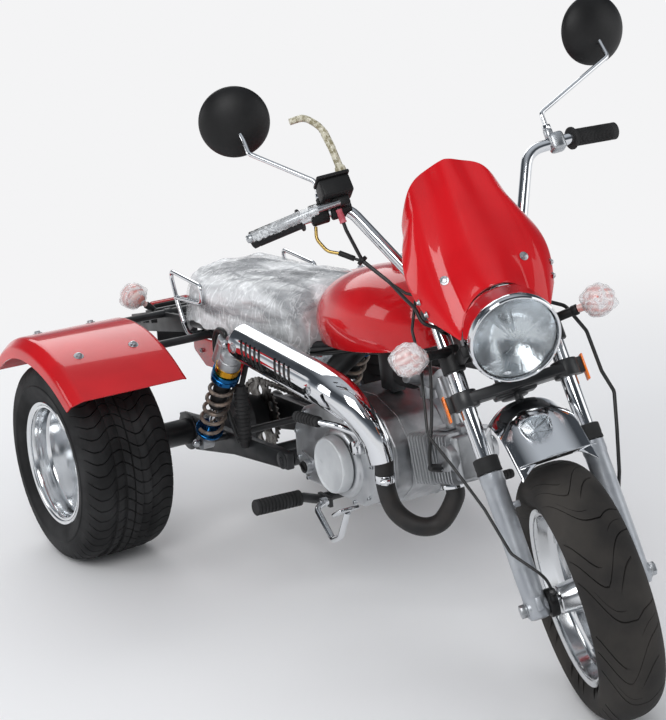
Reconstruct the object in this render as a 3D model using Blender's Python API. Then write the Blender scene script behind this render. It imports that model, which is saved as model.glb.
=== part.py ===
"""Motor trike: a small motorcycle front and engine on two wide rear wheels.

World frame: the trike faces -Y, its right side is -X, up is +Z, and the front
tyre touches the floor at the origin. Lengths are in metres. Everything that
turns with the handlebar is modelled in the fork frame, whose Z runs up the
steering axis and whose -Y points forward, and hangs from the steering empty.
"""
from math import acos, atan2, cos, degrees, pi, radians, sin

import bmesh
import bpy
from mathutils import Matrix, Vector

# Driving dimensions of the whole vehicle.
WHEELBASE = 1.338
REAR_TRACK = 0.740
RAKE = radians(29.6)
TRAIL = 0.092
STEERING_REST = radians(-22.4)
GAP = 0.0003

# Front wheel: a 120/70-12 tyre on a cast rim.
FRONT_RADIUS = 0.2365
FRONT_WIDTH = 0.120
FRONT_BEAD = 0.1524
FRONT_LIP = 0.165
FRONT_RIM_HALF = 0.0425
FRONT_HUB_HALF = 0.056

# Rear wheels: 205/50-10 tyres on deep dished rims.
REAR_RADIUS = 0.2295
REAR_WIDTH = 0.210
REAR_BEAD = 0.1274
REAR_LIP = 0.142
REAR_RIM_HALF = 0.0925
HALF_SHAFT_RADIUS = 0.0125
SHAFT_INNER_X = 0.206

# Fork and yokes, as heights up the steering axis from the floor.
LEG_SPACING = 0.097
LEG_FORWARD = 0.0365
AXLE_HEIGHT = 0.2480
YOKE_OVER_TYRE = 0.1355
TUBE_RADIUS = 0.0155
SLIDER_RADIUS = 0.0210
LOWER_YOKE = AXLE_HEIGHT + FRONT_RADIUS + YOKE_OVER_TYRE
COLLAR_TOP = LOWER_YOKE - 0.092
SLIDER_TOP = COLLAR_TOP - 0.030
YOKE_THICK = 0.032
UPPER_YOKE = LOWER_YOKE + 0.178
UPPER_THICK = 0.020
STEM_RADIUS = 0.0125
HEAD_TUBE_RADIUS = 0.024
HEAD_CLEARANCE = 0.003
AXLE_RADIUS = 0.008
TUBE_FOOT = AXLE_HEIGHT + 0.122
TUBE_BORE_FOOT = TUBE_FOOT - 0.005
LUG_HEIGHT = SLIDER_TOP - 0.066

# Handlebar.
BAR_RADIUS = 0.011
BAR_CLAMP_HEIGHT = UPPER_YOKE + 0.048
BAR_RISE_X = 0.190
BAR_TOP = BAR_CLAMP_HEIGHT + 0.210
GRIP_INNER_X = 0.264
GRIP_OUTER_X = 0.364
GRIP_RADIUS = 0.0165
GRIP_SWEEP = 0.034

# Headlight and fly screen.
LAMP_RADIUS = 0.085
LAMP_FORWARD = 0.164
LAMP_HEIGHT = LOWER_YOKE + 0.076
LAMP_DROOP = radians(40)
LAMP_BAND = LAMP_HEIGHT + 0.018
SCREEN_THICK = 0.004
SCREEN_HALF = 0.118
SCREEN_FOOT = LAMP_HEIGHT + 0.130
SCREEN_HEIGHT = 0.234
SCREEN_COLUMNS = 15
SCREEN_ROWS = 7
MIRROR_RADIUS = 0.068
MIRROR_BASE = BAR_TOP + 0.026
MIRROR_PLACES = {
    -1: dict(base=-0.222, elbow=(-0.318, 0.030, 0.131), head=(-0.322, 0.056, 0.206), turn=-8),
    1: dict(base=0.228, elbow=(0.398, 0.030, 0.114), head=(0.398, 0.056, 0.180), turn=14),
}
HOSE_RADIUS = 0.0035
CABLE_RADIUS = 0.0028

# Frame.
BACKBONE_RADIUS = 0.024
RAIL_RADIUS = 0.011
RAIL_X = 0.100
RAIL_FRONT = Vector((RAIL_X, 0.830, 0.530))
RAIL_REAR = Vector((RAIL_X, WHEELBASE + 0.112, 0.481))
PIVOT = Vector((0.0, 0.895, 0.270))
PIVOT_TUBE_RADIUS = 0.018
PIVOT_HALF = 0.100
PIN_RADIUS = 0.008
TRAY_TOP = 0.476
SHOCK_X = 0.172
SHOCK_TOP = Vector((SHOCK_X, 0.969, 0.526))
SHOCK_FOOT = Vector((SHOCK_X, WHEELBASE - 0.188, 0.262))
ARM_X = 0.112
ARM_THICK = 0.018
HOUSING_RADIUS = 0.030
SEAT_FRONT = 0.798
SEAT_REAR = WHEELBASE - 0.030
TAIL_FRONT = WHEELBASE - 0.018
TAIL_END = WHEELBASE + 0.2705
LOOP_X = 0.146
LOOP_RADIUS = 0.005
LOOP_Y = SEAT_REAR - 0.046

# Rear fenders and their stays.
STAY_PLACES = (WHEELBASE - 0.133, WHEELBASE + 0.092)
STAY_RADIUS = 0.009
STAY_HALF = 0.448
FENDER_RADIUS = REAR_RADIUS + 0.0585
FENDER_INNER = 0.238
FENDER_OUTER = 0.505
FENDER_THICK = 0.003

# Engine, with its crankshaft as the reference.
CRANK = Vector((0.0, 0.600, 0.335))
CYLINDER_TILT = radians(13)
CASE_HALF = 0.085
CASE_BOTTOM = 0.246
COVER_DEPTH = 0.050
CAP_CENTRE = Vector((0.0, 0.636, 0.334))
CAP_RADIUS = 0.056
FIN_COUNT = 6
FIN_PITCH = 0.0105
FIN_THICK = 0.0045
FIN_WIDTH = 0.112
FIN_HEIGHT = 0.104
BARREL_START = 0.108
HEAD_START = BARREL_START + FIN_COUNT * FIN_PITCH + 0.004
HEAD_LENGTH = 0.088
PIPE_RADIUS = 0.0185
MUFFLER_RADIUS = 0.036
MUFFLER_X = 0.178
SHIELD_CLEAR = 0.005
SHIELD_THICK = 0.0025
MUFFLER_FRONT = Vector((-MUFFLER_X + 0.006, 0.575, 0.508))
MUFFLER_REAR = Vector((-MUFFLER_X, 0.915, 0.538))

# Chain and sprockets.
CHAIN_X = 0.075
CHAIN_WIDTH = 0.012
DRIVE_Y = 0.765
DRIVE_Z = 0.290
DRIVE_RADIUS = 0.034
DRIVEN_RADIUS = 0.082
LINK_PITCH = 0.015875

WHEEL_STEPS = 24
BIG_ROUND = 16
ROUND = 12
SMALL_ROUND = 8

SIDE_VIEW = (radians(90), 0.0, radians(90))
RIGHT = -1
LEFT = 1
SIDES = ((RIGHT, "right"), (LEFT, "left"))


for old in list(bpy.data.objects):
    bpy.data.objects.remove(old, do_unlink=True)


def linear(channel):
    """One sRGB channel as the linear value a material takes."""
    if channel <= 0.04045:
        return channel / 12.92
    return ((channel + 0.055) / 1.055) ** 2.4


def material(name, colour, roughness, metallic=0.0):
    """A Principled material from an sRGB hex colour."""
    made = bpy.data.materials.new(name)
    made.use_nodes = True
    surface = made.node_tree.nodes["Principled BSDF"]
    channels = [linear(int(colour[i:i + 2], 16) / 255) for i in (1, 3, 5)]
    surface.inputs["Base Color"].default_value = (*channels, 1.0)
    surface.inputs["Roughness"].default_value = roughness
    surface.inputs["Metallic"].default_value = metallic
    made.diffuse_color = (*channels, 1.0)
    return made


RED = material("red paint", "#c4161c", 0.25)
BLACK_PAINT = material("black frame paint", "#17181a", 0.40)
BLACK_PLASTIC = material("black plastic", "#1b1b1c", 0.50)
CHROME = material("chrome", "#cfd2d6", 0.12, 1.0)
ALLOY = material("cast alloy", "#9a9c9f", 0.40, 1.0)
POLISHED = material("polished rim alloy", "#c9ccd0", 0.20, 1.0)
FORK_GREY = material("fork slider grey", "#a4a8ae", 0.40, 0.6)
TYRE_BLACK = material("tyre rubber", "#222223", 0.85)
RUBBER = material("grip rubber", "#19191a", 0.80)
SEAT_GREY = material("seat cover under film", "#8f9296", 0.45)
LENS = material("clear lens", "#dfe4e6", 0.10)
AMBER = material("indicator lens", "#d9b3a6", 0.30)
TAIL_RED = material("tail lamp red", "#a01418", 0.25)
SPRING_STEEL = material("spring steel", "#6a5d55", 0.45, 0.8)
PIPE_BLACK = material("exhaust black", "#1f1f20", 0.60)
CHAIN_STEEL = material("chain steel", "#5b5a58", 0.45, 1.0)


def empty(name, location=(0, 0, 0), rotation=(0, 0, 0), parent=None):
    """A named frame that pieces hang from."""
    frame = bpy.data.objects.new(name, None)
    frame.empty_display_size = 0.05
    frame.location = location
    frame.rotation_euler = rotation
    frame.parent = parent
    bpy.context.scene.collection.objects.link(frame)
    return frame


def place(name, mesh, location=(0, 0, 0), rotation=(0, 0, 0)):
    """Links a mesh as an object, smooth shaded with its hard edges kept."""
    mesh.polygons.foreach_set("use_smooth", [True] * len(mesh.polygons))
    if mesh.polygons:
        mesh.set_sharp_from_angle(angle=radians(35))
    made = bpy.data.objects.new(name, mesh)
    made.location = location
    made.rotation_euler = rotation
    bpy.context.scene.collection.objects.link(made)
    return made


def from_bmesh(name, form, location=(0, 0, 0), rotation=(0, 0, 0)):
    bmesh.ops.recalc_face_normals(form, faces=form.faces)
    mesh = bpy.data.meshes.new(name)
    form.to_mesh(mesh)
    form.free()
    return place(name, mesh, location, rotation)


def bevel(piece, width, segments=1):
    edge = piece.modifiers.new("rounded edges", "BEVEL")
    edge.width = width
    edge.segments = segments
    edge.limit_method = "ANGLE"
    edge.angle_limit = radians(40)
    return piece


def block(name, size, location, rotation=(0, 0, 0), edge=0.0, segments=1):
    """A box with optional rounded edges."""
    form = bmesh.new()
    bmesh.ops.create_cube(form, size=1.0)
    bmesh.ops.scale(form, vec=size, verts=form.verts)
    made = from_bmesh(name, form, location, rotation)
    if edge:
        bevel(made, edge, segments)
    return made


def rod(name, start, end, radius, sides=ROUND, end_radius=None, edge=0.0):
    """A round bar or a cone between two points."""
    start = Vector(start)
    end = Vector(end)
    form = bmesh.new()
    bmesh.ops.create_cone(
        form, cap_ends=True, segments=sides, radius1=radius,
        radius2=radius if end_radius is None else end_radius,
        depth=(end - start).length,
    )
    turn = (end - start).to_track_quat("Z", "Y").to_euler()
    made = from_bmesh(name, form, (start + end) / 2, turn)
    if edge:
        bevel(made, edge, 1)
    return made


def turned(name, profile, location=(0, 0, 0), rotation=(0, 0, 0), steps=BIG_ROUND):
    """A lathe form about its Z axis from (radius, height) points.

    The profile runs down the outer side. It closes on itself unless both of
    its ends lie on the axis.
    """
    on_axis = profile[0][0] == 0 and profile[-1][0] == 0
    form = bmesh.new()
    corners = [form.verts.new((radius, 0, height)) for radius, height in profile]
    for first, second in zip(corners, corners[1:]):
        form.edges.new((first, second))
    if not on_axis:
        form.edges.new((corners[-1], corners[0]))
    mesh = bpy.data.meshes.new(name)
    form.to_mesh(mesh)
    form.free()
    made = place(name, mesh, location, rotation)
    lathe = made.modifiers.new("lathe", "SCREW")
    lathe.steps = steps
    lathe.render_steps = steps
    lathe.use_merge_vertices = True
    lathe.merge_threshold = 0.00001
    lathe.use_smooth_shade = True
    return made


def rounded(points, bend, steps=3):
    """The points of a path with each inner corner replaced by an arc."""
    points = [Vector(point) for point in points]
    path = [points[0]]
    for before, corner, after in zip(points, points[1:], points[2:]):
        back = (before - corner).normalized()
        ahead = (after - corner).normalized()
        half = back.angle(ahead) / 2
        reach = min(
            bend / max(1e-6, abs(sin(half) / cos(half))) if half < pi / 2 - 1e-4 else 0.0,
            0.48 * (before - corner).length,
            0.48 * (after - corner).length,
        )
        if reach < 1e-5:
            path.append(corner)
            continue
        first = corner + back * reach
        last = corner + ahead * reach
        for step in range(steps + 1):
            share = step / steps
            path.append(first.lerp(corner, share).lerp(corner.lerp(last, share), share))
    path.append(points[-1])
    return path


def pipe(name, points, radius, bend=0.03, sides=SMALL_ROUND, steps=3):
    """A round tube along a path, as a bevelled curve turned into a mesh.

    A bend of 0 keeps the points as they are.
    """
    curve = bpy.data.curves.new(name + "_path", "CURVE")
    curve.dimensions = "3D"
    curve.bevel_depth = radius
    curve.bevel_resolution = max(0, sides // 2 - 2)
    curve.use_fill_caps = True
    path = rounded(points, bend, steps) if bend else points
    spline = curve.splines.new("POLY")
    spline.points.add(len(path) - 1)
    for point, at in zip(spline.points, path):
        point.co = (*at, 1.0)
    holder = bpy.data.objects.new(name + "_path", curve)
    bpy.context.scene.collection.objects.link(holder)
    bpy.context.view_layer.update()
    mesh = bpy.data.meshes.new_from_object(holder.evaluated_get(bpy.context.evaluated_depsgraph_get()))
    bpy.data.objects.remove(holder, do_unlink=True)
    form = bmesh.new()
    form.from_mesh(mesh)
    bmesh.ops.remove_doubles(form, verts=form.verts, dist=1e-6)
    return from_bmesh(name, form)


def plate(name, outline, thickness, location=(0, 0, 0), rotation=SIDE_VIEW, edge=0.0, segments=1):
    """An outline in its local XY plane, drawn out evenly to both sides."""
    form = bmesh.new()
    face = form.faces.new([form.verts.new((x, y, -thickness / 2)) for x, y in outline])
    grown = bmesh.ops.extrude_face_region(form, geom=[face])["geom"]
    top = [item for item in grown if isinstance(item, bmesh.types.BMVert)]
    bmesh.ops.translate(form, verts=top, vec=(0, 0, thickness))
    made = from_bmesh(name, form, location, rotation)
    if edge:
        bevel(made, edge, segments)
    return made


def loft(name, rings, location=(0, 0, 0), rotation=(0, 0, 0)):
    """A closed skin over rings of points, with flat ends."""
    form = bmesh.new()
    rows = [[form.verts.new(point) for point in ring] for ring in rings]
    count = len(rows[0])
    for lower, upper in zip(rows, rows[1:]):
        for i in range(count):
            j = (i + 1) % count
            form.faces.new((lower[i], lower[j], upper[j], upper[i]))
    form.faces.new(rows[0])
    form.faces.new(rows[-1])
    return from_bmesh(name, form, location, rotation)


def sheet(name, rows, thickness, offset=-1.0):
    """A grid of points as a pressed sheet of one thickness.

    Its front is the side from which the rows read left to right and upward.
    """
    form = bmesh.new()
    grid = [[form.verts.new(point) for point in row] for row in rows]
    for lower, upper in zip(grid, grid[1:]):
        for i in range(len(lower) - 1):
            form.faces.new((lower[i], lower[i + 1], upper[i + 1], upper[i]))
    mesh = bpy.data.meshes.new(name)
    form.to_mesh(mesh)
    form.free()
    made = place(name, mesh)
    skin = made.modifiers.new("sheet thickness", "SOLIDIFY")
    skin.thickness = thickness
    skin.offset = offset
    skin.use_even_offset = True
    return made


def combine(target, pieces, operation):
    for piece in pieces:
        tool = target.modifiers.new(piece.name, "BOOLEAN")
        tool.operation = operation
        tool.solver = "EXACT"
        tool.object = piece
        piece.parent = target.parent
        piece.hide_render = True
        piece.display_type = "WIRE"


def fuse(target, *pieces):
    combine(target, pieces, "UNION")
    return target


def cut(target, *pieces):
    combine(target, pieces, "DIFFERENCE")
    return target


def finish(piece, surface, parent=None):
    """Gives a finished node its material and its place in the tree."""
    piece.data.materials.clear()
    piece.data.materials.append(surface)
    weld = piece.modifiers.new("weld", "WELD")
    weld.merge_threshold = 0.00002
    if parent is not None:
        piece.parent = parent
        for tool in piece.modifiers:
            if tool.type == "BOOLEAN":
                tool.object.parent = parent
    return piece


def bore(radius, sides):
    """Corner radius of a faceted hole that clears a round bar by GAP."""
    return (radius + GAP) / cos(pi / sides)


def snug(radius):
    """Radius of a hole round a bar that has the same sides and turn."""
    return radius + 1.15 * GAP


def mirrored(vector, side):
    return Vector((side * abs(vector[0]), vector[1], vector[2]))


def on_fork(height, forward=0.0, x=0.0):
    """World place of a fork-frame point with the bar straight ahead."""
    return Vector((
        x,
        -TRAIL + height * sin(RAKE) - forward * cos(RAKE),
        height * cos(RAKE) + forward * sin(RAKE),
    ))


def rail_height(y):
    """Centre height of the seat rails at a place along the trike."""
    share = (y - RAIL_FRONT.y) / (RAIL_REAR.y - RAIL_FRONT.y)
    return RAIL_FRONT.z + share * (RAIL_REAR.z - RAIL_FRONT.z)


# Frames of the moving bodies.
head_axis = empty("head_axis", (0, -TRAIL, 0), (-RAKE, 0, 0))
steering = empty("steering_axis", parent=head_axis, rotation=(0, 0, STEERING_REST))
front_hub = empty("front_wheel_axis", (0, -LEG_FORWARD, AXLE_HEIGHT), (0, radians(-90), 0), steering)
rear_hubs = {
    side: empty(
        f"rear_wheel_axis_{word}",
        (side * REAR_TRACK / 2, WHEELBASE, REAR_RADIUS),
        (0, side * radians(90), 0),
    )
    for side, word in SIDES
}
cylinder_axis = empty("cylinder_axis", CRANK, (-CYLINDER_TILT, 0, 0))


def mirror_profile(half):
    """A wheel profile from its upper half, from the bead to the crown."""
    return half + [(radius, -height) for radius, height in reversed(half) if height > 0]


def build_front_wheel():
    half = FRONT_WIDTH / 2
    tyre = turned("front_tyre", mirror_profile([
        (FRONT_BEAD + GAP, FRONT_RIM_HALF - 0.001),
        (FRONT_LIP + 0.002, FRONT_RIM_HALF - 0.0005),
        (FRONT_LIP + 0.016, half - 0.004),
        (FRONT_RADIUS - 0.032, half),
        (FRONT_RADIUS - 0.013, half - 0.018),
        (FRONT_RADIUS, 0.0),
    ]), steps=WHEEL_STEPS)
    finish(tyre, TYRE_BLACK, front_hub)
    wall = 0.004
    rim_top = FRONT_RIM_HALF + 0.0035
    rim = turned("front_rim", mirror_profile([
        (bore(AXLE_RADIUS, WHEEL_STEPS) + 0.0003, FRONT_HUB_HALF),
        (0.026, FRONT_HUB_HALF),
        (0.032, 0.010),
        (FRONT_BEAD - 0.016, 0.006),
        (FRONT_BEAD - wall, 0.016),
        (FRONT_BEAD - wall, rim_top - 0.006),
        (FRONT_LIP, rim_top),
        (FRONT_LIP, FRONT_RIM_HALF),
        (FRONT_BEAD, FRONT_RIM_HALF),
    ]), steps=WHEEL_STEPS)
    finish(rim, POLISHED, front_hub)
    windows = []
    for turn in range(6):
        angle = turn * pi / 3
        window = plate(
            f"front_rim_window_{turn + 1}", spoke_window(0.052, FRONT_BEAD - 0.020, radians(17)),
            0.06, rotation=(0, 0, angle),
        )
        windows.append(window)
    cut(rim, *windows)
    disc = turned("front_disc", [
        (0.022, -0.046), (0.095, -0.046), (0.095, -0.050), (0.022, -0.050),
    ], steps=WHEEL_STEPS)
    fuse(rim, disc)


def spoke_window(inner, outer, half_angle):
    """Outline of an opening between two spokes, symmetric about X."""
    low = half_angle * 0.62
    return [
        (inner * cos(low), -inner * sin(low)),
        (outer * cos(half_angle), -outer * sin(half_angle)),
        (outer, 0.0),
        (outer * cos(half_angle), outer * sin(half_angle)),
        (inner * cos(low), inner * sin(low)),
    ]


def build_rear_wheel(side, word):
    hub = rear_hubs[side]
    half = REAR_WIDTH / 2
    tyre = turned(f"rear_tyre_{word}", mirror_profile([
        (REAR_BEAD + GAP, REAR_RIM_HALF - 0.001),
        (REAR_LIP + 0.002, REAR_RIM_HALF - 0.0005),
        (REAR_LIP + 0.022, half),
        (REAR_RADIUS - 0.024, half - 0.001),
        (REAR_RADIUS - 0.006, half - 0.014),
        (REAR_RADIUS, half - 0.050),
    ]), steps=WHEEL_STEPS)
    finish(tyre, TYRE_BLACK, hub)
    wall = 0.004
    rim_top = REAR_RIM_HALF + 0.004
    shaft_end = -(REAR_TRACK / 2 - SHAFT_INNER_X)
    rim = turned(f"rear_rim_{word}", [
        (0.0, 0.018),
        (0.026, 0.018),
        (0.034, -0.008),
        (REAR_BEAD - 0.022, -0.012),
        (REAR_BEAD - 0.009, 0.006),
        (REAR_BEAD - wall, 0.054),
        (REAR_BEAD - wall, rim_top - 0.008),
        (REAR_LIP, rim_top),
        (REAR_LIP, REAR_RIM_HALF),
        (REAR_BEAD, REAR_RIM_HALF),
        (REAR_BEAD, -REAR_RIM_HALF),
        (REAR_LIP, -REAR_RIM_HALF),
        (REAR_LIP, -rim_top),
        (REAR_BEAD - wall, -rim_top + 0.008),
        (REAR_BEAD - wall, -0.026),
        (0.052, -0.022),
        (0.040, -0.052),
        (HALF_SHAFT_RADIUS, -0.056),
        (HALF_SHAFT_RADIUS, shaft_end),
        (0.0, shaft_end),
    ], steps=WHEEL_STEPS)
    finish(rim, POLISHED, hub)
    windows = []
    for turn in range(5):
        window = plate(
            f"rear_rim_window_{word}_{turn + 1}", spoke_window(0.060, REAR_BEAD - 0.026, radians(24)),
            0.05, (0, 0, -0.017), rotation=(0, 0, turn * 2 * pi / 5),
        )
        windows.append(window)
    cut(rim, *windows)


def build_fork():
    for side, word in SIDES:
        x = side * LEG_SPACING
        tube = rod(
            f"fork_tube_{word}", (x, -LEG_FORWARD, TUBE_FOOT),
            (x, -LEG_FORWARD, UPPER_YOKE + UPPER_THICK), TUBE_RADIUS, ROUND,
        )
        finish(tube, CHROME, steering)

    sliders = []
    for side, word in SIDES:
        x = side * LEG_SPACING
        sliders.append(turned(f"fork_slider_{word}_leg", [
            (0.0, TUBE_BORE_FOOT),
            (snug(TUBE_RADIUS), TUBE_BORE_FOOT),
            (snug(TUBE_RADIUS), COLLAR_TOP),
            (TUBE_RADIUS + 0.008, COLLAR_TOP),
            (TUBE_RADIUS + 0.008, SLIDER_TOP + 0.002),
            (SLIDER_RADIUS + 0.0015, SLIDER_TOP),
            (SLIDER_RADIUS + 0.0015, SLIDER_TOP - 0.022),
            (SLIDER_RADIUS, SLIDER_TOP - 0.026),
            (SLIDER_RADIUS, AXLE_HEIGHT - 0.016),
            (SLIDER_RADIUS - 0.006, AXLE_HEIGHT - 0.022),
            (0.0, AXLE_HEIGHT - 0.022),
        ], (x, -LEG_FORWARD, 0), steps=ROUND))
    legs = sliders[0]
    legs.name = "fork_sliders"
    axle = rod(
        "front_axle", (-LEG_SPACING - 0.028, -LEG_FORWARD, AXLE_HEIGHT),
        (LEG_SPACING + 0.028, -LEG_FORWARD, AXLE_HEIGHT), AXLE_RADIUS, SMALL_ROUND,
    )
    nuts = [
        rod(
            f"axle_nut_{word}", (side * (LEG_SPACING + 0.016), -LEG_FORWARD, AXLE_HEIGHT),
            (side * (LEG_SPACING + 0.033), -LEG_FORWARD, AXLE_HEIGHT), 0.013, 6,
        )
        for side, word in SIDES
    ]
    drive = rod(
        "speedometer_drive", (-0.0775, -LEG_FORWARD, AXLE_HEIGHT),
        (-0.0605, -LEG_FORWARD, AXLE_HEIGHT), 0.026, ROUND,
    )
    drive_neck = rod(
        "speedometer_drive_neck", (-0.069, -LEG_FORWARD - 0.020, AXLE_HEIGHT),
        (-0.069, -LEG_FORWARD - 0.040, AXLE_HEIGHT + 0.014), 0.007, 10,
    )
    lugs = [
        rod(
            f"mudguard_lug_{word}",
            (side * (LEG_SPACING - SLIDER_RADIUS + 0.003), -LEG_FORWARD + 0.004, LUG_HEIGHT),
            (side * (LEG_SPACING - 0.034), -LEG_FORWARD + 0.004, LUG_HEIGHT), 0.006, 10,
        )
        for side, word in SIDES
    ]
    caliper = block(
        "front_caliper", (0.036, 0.062, 0.050), (0.056, -LEG_FORWARD + 0.078, AXLE_HEIGHT + 0.052),
    )
    slot = block(
        "caliper_slot", (0.008, 0.070, 0.080),
        (0.048, -LEG_FORWARD + 0.065, AXLE_HEIGHT + 0.046),
    )
    arm = block(
        "caliper_arm", (0.014, 0.082, 0.024),
        (0.078, -LEG_FORWARD + 0.042, AXLE_HEIGHT + 0.050),
    )
    cut(caliper, slot)
    fuse(legs, sliders[1], axle, *nuts, drive, drive_neck, *lugs, caliper, arm)
    finish(legs, FORK_GREY, steering)
    slot.parent = steering


def yoke_outline(half, ring, forward):
    """Half-round ended yoke plate seen from above, X across and -Y forward."""
    points = []
    for side in (1, -1):
        for step in range(6):
            angle = pi * step / 5 - side * pi / 2
            points.append((side * half + ring * cos(angle), -forward + ring * sin(angle)))
    return points


def build_yokes():
    ring = TUBE_RADIUS + 0.0095
    lower = plate(
        "lower_yoke", yoke_outline(LEG_SPACING, ring, LEG_FORWARD), YOKE_THICK,
        (0, 0, LOWER_YOKE + YOKE_THICK / 2), (0, 0, 0),
    )
    stem_top = UPPER_YOKE + UPPER_THICK + 0.014
    boss = rod("stem_boss", (0, 0, LOWER_YOKE - 0.002), (0, 0, LOWER_YOKE + YOKE_THICK + 0.001), 0.026)
    web = block("yoke_web", (0.080, 0.040, YOKE_THICK - 0.002), (0, -0.015, LOWER_YOKE + YOKE_THICK / 2))
    stem = rod("steering_stem", (0, 0, LOWER_YOKE + 0.004), (0, 0, stem_top), STEM_RADIUS)
    nut = rod("stem_nut", (0, 0, UPPER_YOKE + UPPER_THICK + GAP), (0, 0, stem_top - 0.002), 0.018, 6)
    ears = [
        block(
            f"reflector_ear_{word}", (0.012, 0.022, 0.030),
            (side * (LEG_SPACING + ring + 0.003), -0.028, LOWER_YOKE + YOKE_THICK / 2),
        )
        for side, word in SIDES
    ]
    holes = [
        rod(
            f"lower_yoke_hole_{word}", (side * LEG_SPACING, -LEG_FORWARD, LOWER_YOKE - 0.02),
            (side * LEG_SPACING, -LEG_FORWARD, LOWER_YOKE + YOKE_THICK + 0.02),
            snug(TUBE_RADIUS),
        )
        for side, word in SIDES
    ]
    crest = max(guard_spine(), key=lambda point: point.z)
    post = rod("mudguard_post", crest + Vector((0, 0, 0.0011 + GAP)), (0, crest.y, LOWER_YOKE + 0.004), 0.008, SMALL_ROUND)
    fuse(lower, boss, web, stem, nut, *ears, post)
    cut(lower, *holes)
    finish(lower, BLACK_PAINT, steering)

    upper = plate(
        "upper_yoke", yoke_outline(LEG_SPACING, ring, LEG_FORWARD), UPPER_THICK,
        (0, 0, UPPER_YOKE + UPPER_THICK / 2), (0, 0, 0),
    )
    deck = block(
        "upper_yoke_deck", (0.100, 0.052, UPPER_THICK - 0.002),
        (0, -0.006, UPPER_YOKE + UPPER_THICK / 2),
    )
    risers = [
        block(
            f"bar_riser_{word}", (0.024, 0.034, BAR_CLAMP_HEIGHT - UPPER_YOKE - 0.010),
            (side * 0.036, 0, (BAR_CLAMP_HEIGHT + UPPER_YOKE + 0.012) / 2),
        )
        for side, word in SIDES
    ]
    caps = [
        rod(
            f"bar_clamp_{word}", (side * 0.024, 0, BAR_CLAMP_HEIGHT), (side * 0.048, 0, BAR_CLAMP_HEIGHT),
            BAR_RADIUS + 0.008,
        )
        for side, word in SIDES
    ]
    stem_hole = rod(
        "upper_yoke_stem_hole", (0, 0, UPPER_YOKE - 0.01), (0, 0, UPPER_YOKE + UPPER_THICK + 0.01),
        snug(STEM_RADIUS),
    )
    tube_holes = [
        rod(
            f"upper_yoke_hole_{word}", (side * LEG_SPACING, -LEG_FORWARD, UPPER_YOKE - 0.02),
            (side * LEG_SPACING, -LEG_FORWARD, UPPER_YOKE + UPPER_THICK + 0.02),
            snug(TUBE_RADIUS),
        )
        for side, word in SIDES
    ]
    bar_hole = rod(
        "bar_clamp_hole", (-0.06, 0, BAR_CLAMP_HEIGHT), (0.06, 0, BAR_CLAMP_HEIGHT),
        bore(BAR_RADIUS, ROUND),
    )
    fuse(upper, deck, *risers, *caps)
    cut(upper, stem_hole, *tube_holes, bar_hole)
    finish(upper, BLACK_PAINT, steering)


def bar_path():
    """Centre line of the handlebar from the right grip to the left."""
    half = [
        (0.052, 0.0, BAR_CLAMP_HEIGHT),
        (0.085, 0.002, BAR_CLAMP_HEIGHT),
        (BAR_RISE_X - 0.010, 0.004, BAR_TOP),
        (GRIP_INNER_X, 0.006, BAR_TOP),
        (GRIP_OUTER_X - 0.003, 0.006 + GRIP_SWEEP, BAR_TOP - 0.002),
    ]
    return [(-x, y, z) for x, y, z in reversed(half)] + half


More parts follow.
